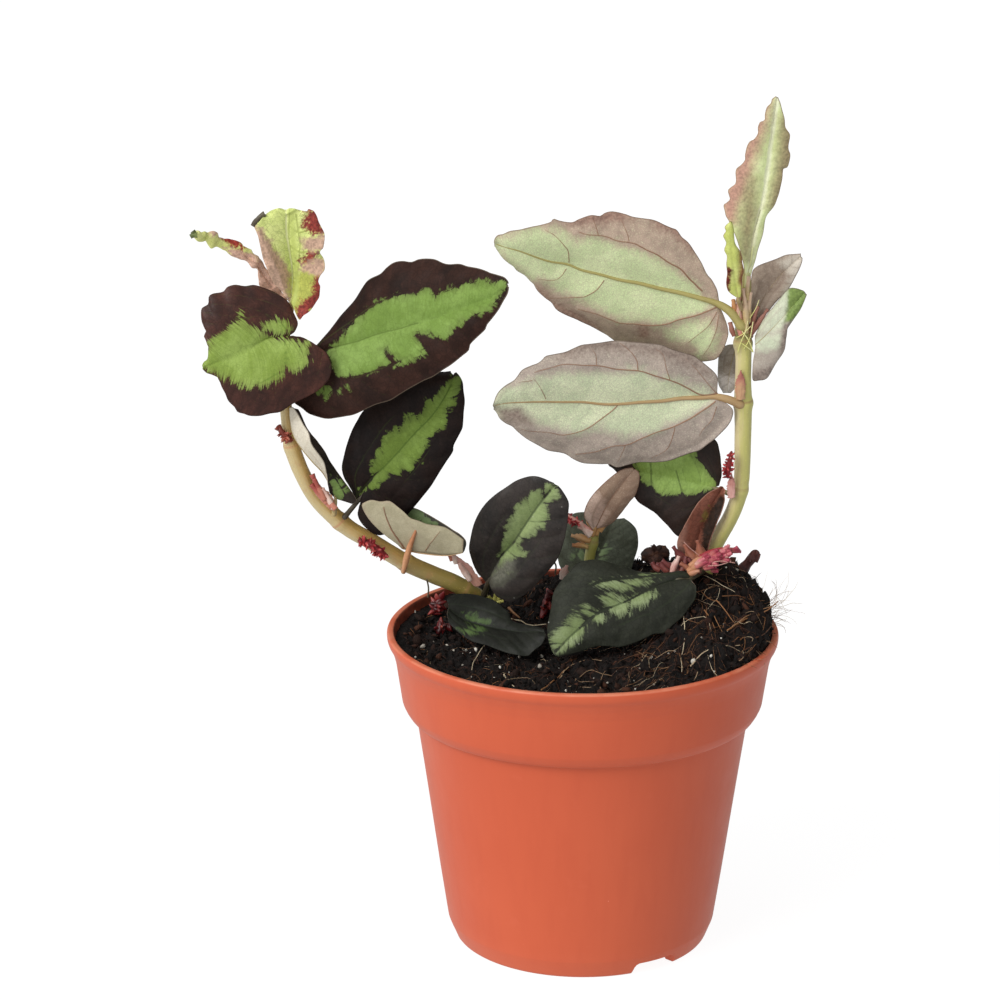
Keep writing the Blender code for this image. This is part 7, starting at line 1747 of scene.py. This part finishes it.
# papery bits at the tip of the right shoot
shells = Shells()
for k, (base_p, tip_p, wide, y0, y1, mat) in enumerate([((741, 336), (738, 300), 8, -1.4, -2.0, 0), ((746, 333), (743, 288), 7, -1.6, -2.2, 1), ((736, 318), (733, 299), 6, -1.2, -2.4, 2), ((749, 322), (751, 292), 5, -0.6, -1.2, 1),
                                                       ((748, 338), (768, 309), 6, 0.4, 1.2, 3), ((750, 334), (758, 306), 5, 0.6, 0.9, 3), ((738, 312), (741, 282), 5, -1.8, -2.2, 0), ((734, 336), (730, 322), 5, -1.8, -1.2, 3), ((747, 300), (749, 276), 4, -1.2, -1.6, 1)]):
    leaflet(shells, base_p, tip_p, wide, y0, y1, curl=0.6, seed=60 + k, mat=mat, rows=22, cols=5, blunt=0.25, bow=rng.normal(0, 0.8))
for k, (line, r) in enumerate([([(738, 352), (741, 342), (746, 330), (748, 318)], 0.17), ([(741, 343), (747, 347), (753, 352)], 0.15), ([(753, 352), (749, 341), (742, 331)], 0.17), ([(736, 338), (743, 334), (751, 326)], 0.13),
                               ([(744, 349), (750, 338), (753, 322)], 0.15), ([(740, 330), (739, 314), (743, 300)], 0.13), ([(750, 318), (756, 308), (759, 300)], 0.12), ([(736, 326), (734, 312), (736, 300)], 0.12)]):
    fine = smooth(line, 12)
    tube(shells, at(fine[:, 0], fine[:, 1], -1.9 - 0.5 * np.sin(np.linspace(0, 3.1, 12))), r, sides=6, mat=4, up=np.linspace(0, 1, 12))
shells.make("tip_sheath", [scale_material("sheath_a", (196, 132, 112), (208, 166, 146), (160, 92, 74)), scale_material("sheath_b", (190, 168, 118), (212, 182, 156), (168, 128, 92)), scale_material("sheath_c", (186, 124, 74), (196, 140, 92), (140, 84, 50)),
                           scale_material("sheath_d", (140, 84, 68), (160, 108, 92), (104, 56, 44)), scale_material("sheath_e", (214, 214, 130), (226, 222, 160), (190, 184, 104))])

# papery bits of the young shoot in the middle, and of the joint over the soil
shells = Shells()
for k, (base_p, tip_p, wide, y0, y1, mat) in enumerate([((596, 535), (606, 509), 6, 12.2, 10.6, 0), ((592, 536), (599, 512), 5, 11.6, 10.4, 0), ((600, 531), (609, 519), 5, 12.0, 10.8, 0), ((590, 541), (571, 535), 8, 12.0, 11.0, 0), ((588, 547), (572, 545), 6, 12.4, 11.6, 1),
                                                       ((594, 528), (586, 514), 4, 11.0, 10.2, 1), ((592, 533), (578, 526), 5, 11.0, 10.2, 2), ((590, 536), (580, 522), 4, 10.8, 10.0, 2), ((562, 579), (567, 565), 9, 4.0, 3.6, 2)]):
    leaflet(shells, base_p, tip_p, wide, y0, y1, curl=0.7, seed=80 + k, mat=mat, rows=18, cols=5, blunt=0.3, bow=rng.normal(0, 0.9))
for k, (base_p, tip_p, wide) in enumerate([((494, 602), (496, 592), 3.4), ((495, 602), (502, 595), 3.2), ((494, 602), (488, 596), 3.2), ((495, 602), (504, 601), 2.8), ((494, 602), (489, 601), 2.6)]):
    leaflet(shells, base_p, tip_p, wide, 13.2, 11.6, curl=0.6, seed=95 + k, mat=3, rows=12, cols=4)
for k, (q0, q1, w, yy) in enumerate([((265, 213.5), (255, 223), 3.2, -8.4), ((259, 219), (253, 226), 3.0, -8.2), ((197, 235), (190.5, 236.5), 4.6, -14.6), ((194, 236), (192.5, 231), 2.6, -14.4)]):
    leaflet(shells, q0, q1, w, yy, yy - 0.3, curl=0.8, seed=180 + k, mat=4 if k < 2 else 6, rows=14, cols=4, blunt=0.4, bow=1.0)
stem7 = smooth([(403.4, 571.5, 3.2, 0.55), (404.6, 567, 2.4, 0.8), (406.4, 559, 0.8, 1.0), (409.4, 548, -1.2, 0.9), (413.4, 537, -3.9, 0.6), (418.4, 524.5, -7.2, 0.26)], 40)
tube(shells, at(stem7[:, 0], stem7[:, 1], stem7[:, 2]), stem7[:, 3], sides=14, mat=7, up=np.linspace(0, 1, 40))
for line, yy in [([(427, 580), (428.5, 588), (428, 597)], 6.4), ([(553, 560), (556, 566), (555, 574)], 4.0)]:
    fine = smooth(line, 10)
    tube(shells, at(fine[:, 0], fine[:, 1], np.full(10, yy)), 0.26, sides=8, mat=4, up=0.5)
for k, (q0, q1, w, mat) in enumerate([((331, 507), (314, 478), 7, 5), ((327, 503), (311, 484), 6, 5), ((334, 508), (322, 488), 6, 2), ((325, 500), (312, 474), 5, 5), ((336, 509), (327, 494), 5, 5)]):
    leaflet(shells, q0, q1, w, -4.6 - 0.25 * k, -5.0 + 0.3 * k, curl=0.9, seed=160 + k, mat=mat, rows=18, cols=5, blunt=0.4, bow=rng.normal(0, 1.2))
for k, (q0, q1, w, mat) in enumerate([((452, 560), (447, 547), 5, 5), ((456, 563), (452, 551), 5, 2), ((470, 580), (459, 562), 7, 2)]):
    leaflet(shells, q0, q1, w, 4.2 + 1.4 * (k == 2), 3.4 + 0.6 * (k == 2), curl=0.8, seed=170 + k, mat=mat, rows=16, cols=4, blunt=0.4)
shells.make("shoot_bracts", [scale_material("shoot_a", (196, 150, 96), (206, 164, 120), (160, 104, 66)), scale_material("shoot_b", (206, 170, 110), (190, 130, 84), (150, 92, 60)), scale_material("shoot_c", (226, 200, 186), (214, 170, 156), (186, 124, 112)),
                             scale_material("shoot_d", (206, 202, 116), (190, 184, 96), (150, 140, 70)), scale_material("shoot_e", (84, 76, 52), (70, 60, 44), (44, 36, 28)), scale_material("shoot_f", (188, 118, 96), (162, 74, 64), (132, 56, 50)),
                             scale_material("shoot_g", (116, 128, 66), (86, 98, 48), (70, 78, 40)), scale_material("shoot_h", (206, 148, 104), (186, 124, 84), (166, 104, 72))])

shells = Shells()
v, f = ICO[3]
for c, r, seed in [((652, 556, 26), 3.2, 1), ((661, 552, 26), 2.7, 2), ((656, 560, 24), 2.2, 3)]:
    centre = at(*c)
    fold = 1 + 0.30 * noise(v, 0.55, 400 + seed, 3) - 0.25 * np.abs(noise(v, 0.8, 420 + seed))
    shells.add(centre + v * fold[:, None] * r * np.array([1.15, 0.8, 0.85]), [f], 0, tint=np.clip(0.4 + 0.5 * noise(v, 0.5, 430 + seed), 0, 1))
for k in range(10):
    a = rng.uniform(0, 2 * math.pi)
    spec = dict(a=[(648 + 3 * k % 14, 561), (650 + 2 * k % 14, 555), (650 + 13 * math.cos(a), 553 + 8 * math.sin(a))], mid=[(651 + 3 * k % 14, 561), (653 + 2 * k % 12, 554), (656 + 13 * math.cos(a), 553 + 8 * math.sin(a))],
                b=[(655 + 3 * k % 12, 561), (658 + 2 * k % 10, 554), (659 + 13 * math.cos(a), 554 + 8 * math.sin(a))], ym=[26, 25], ya=[26.5, 24], yb=[25.5, 26], curl=0.8)
    thin_blade(shells, spec, 12, 4, 0.25, seed=40 + k, fringe=0.5)
shells.make("dry_leaf_fine", [tinted_material("dry_leaf", [(0.0, (34, 18, 14)), (0.5, (66, 38, 28)), (1.0, (112, 74, 52))], rough=0.7, bump=0.3, grain=0.9, spec=0.4)], ["dry_leaf_ball"])
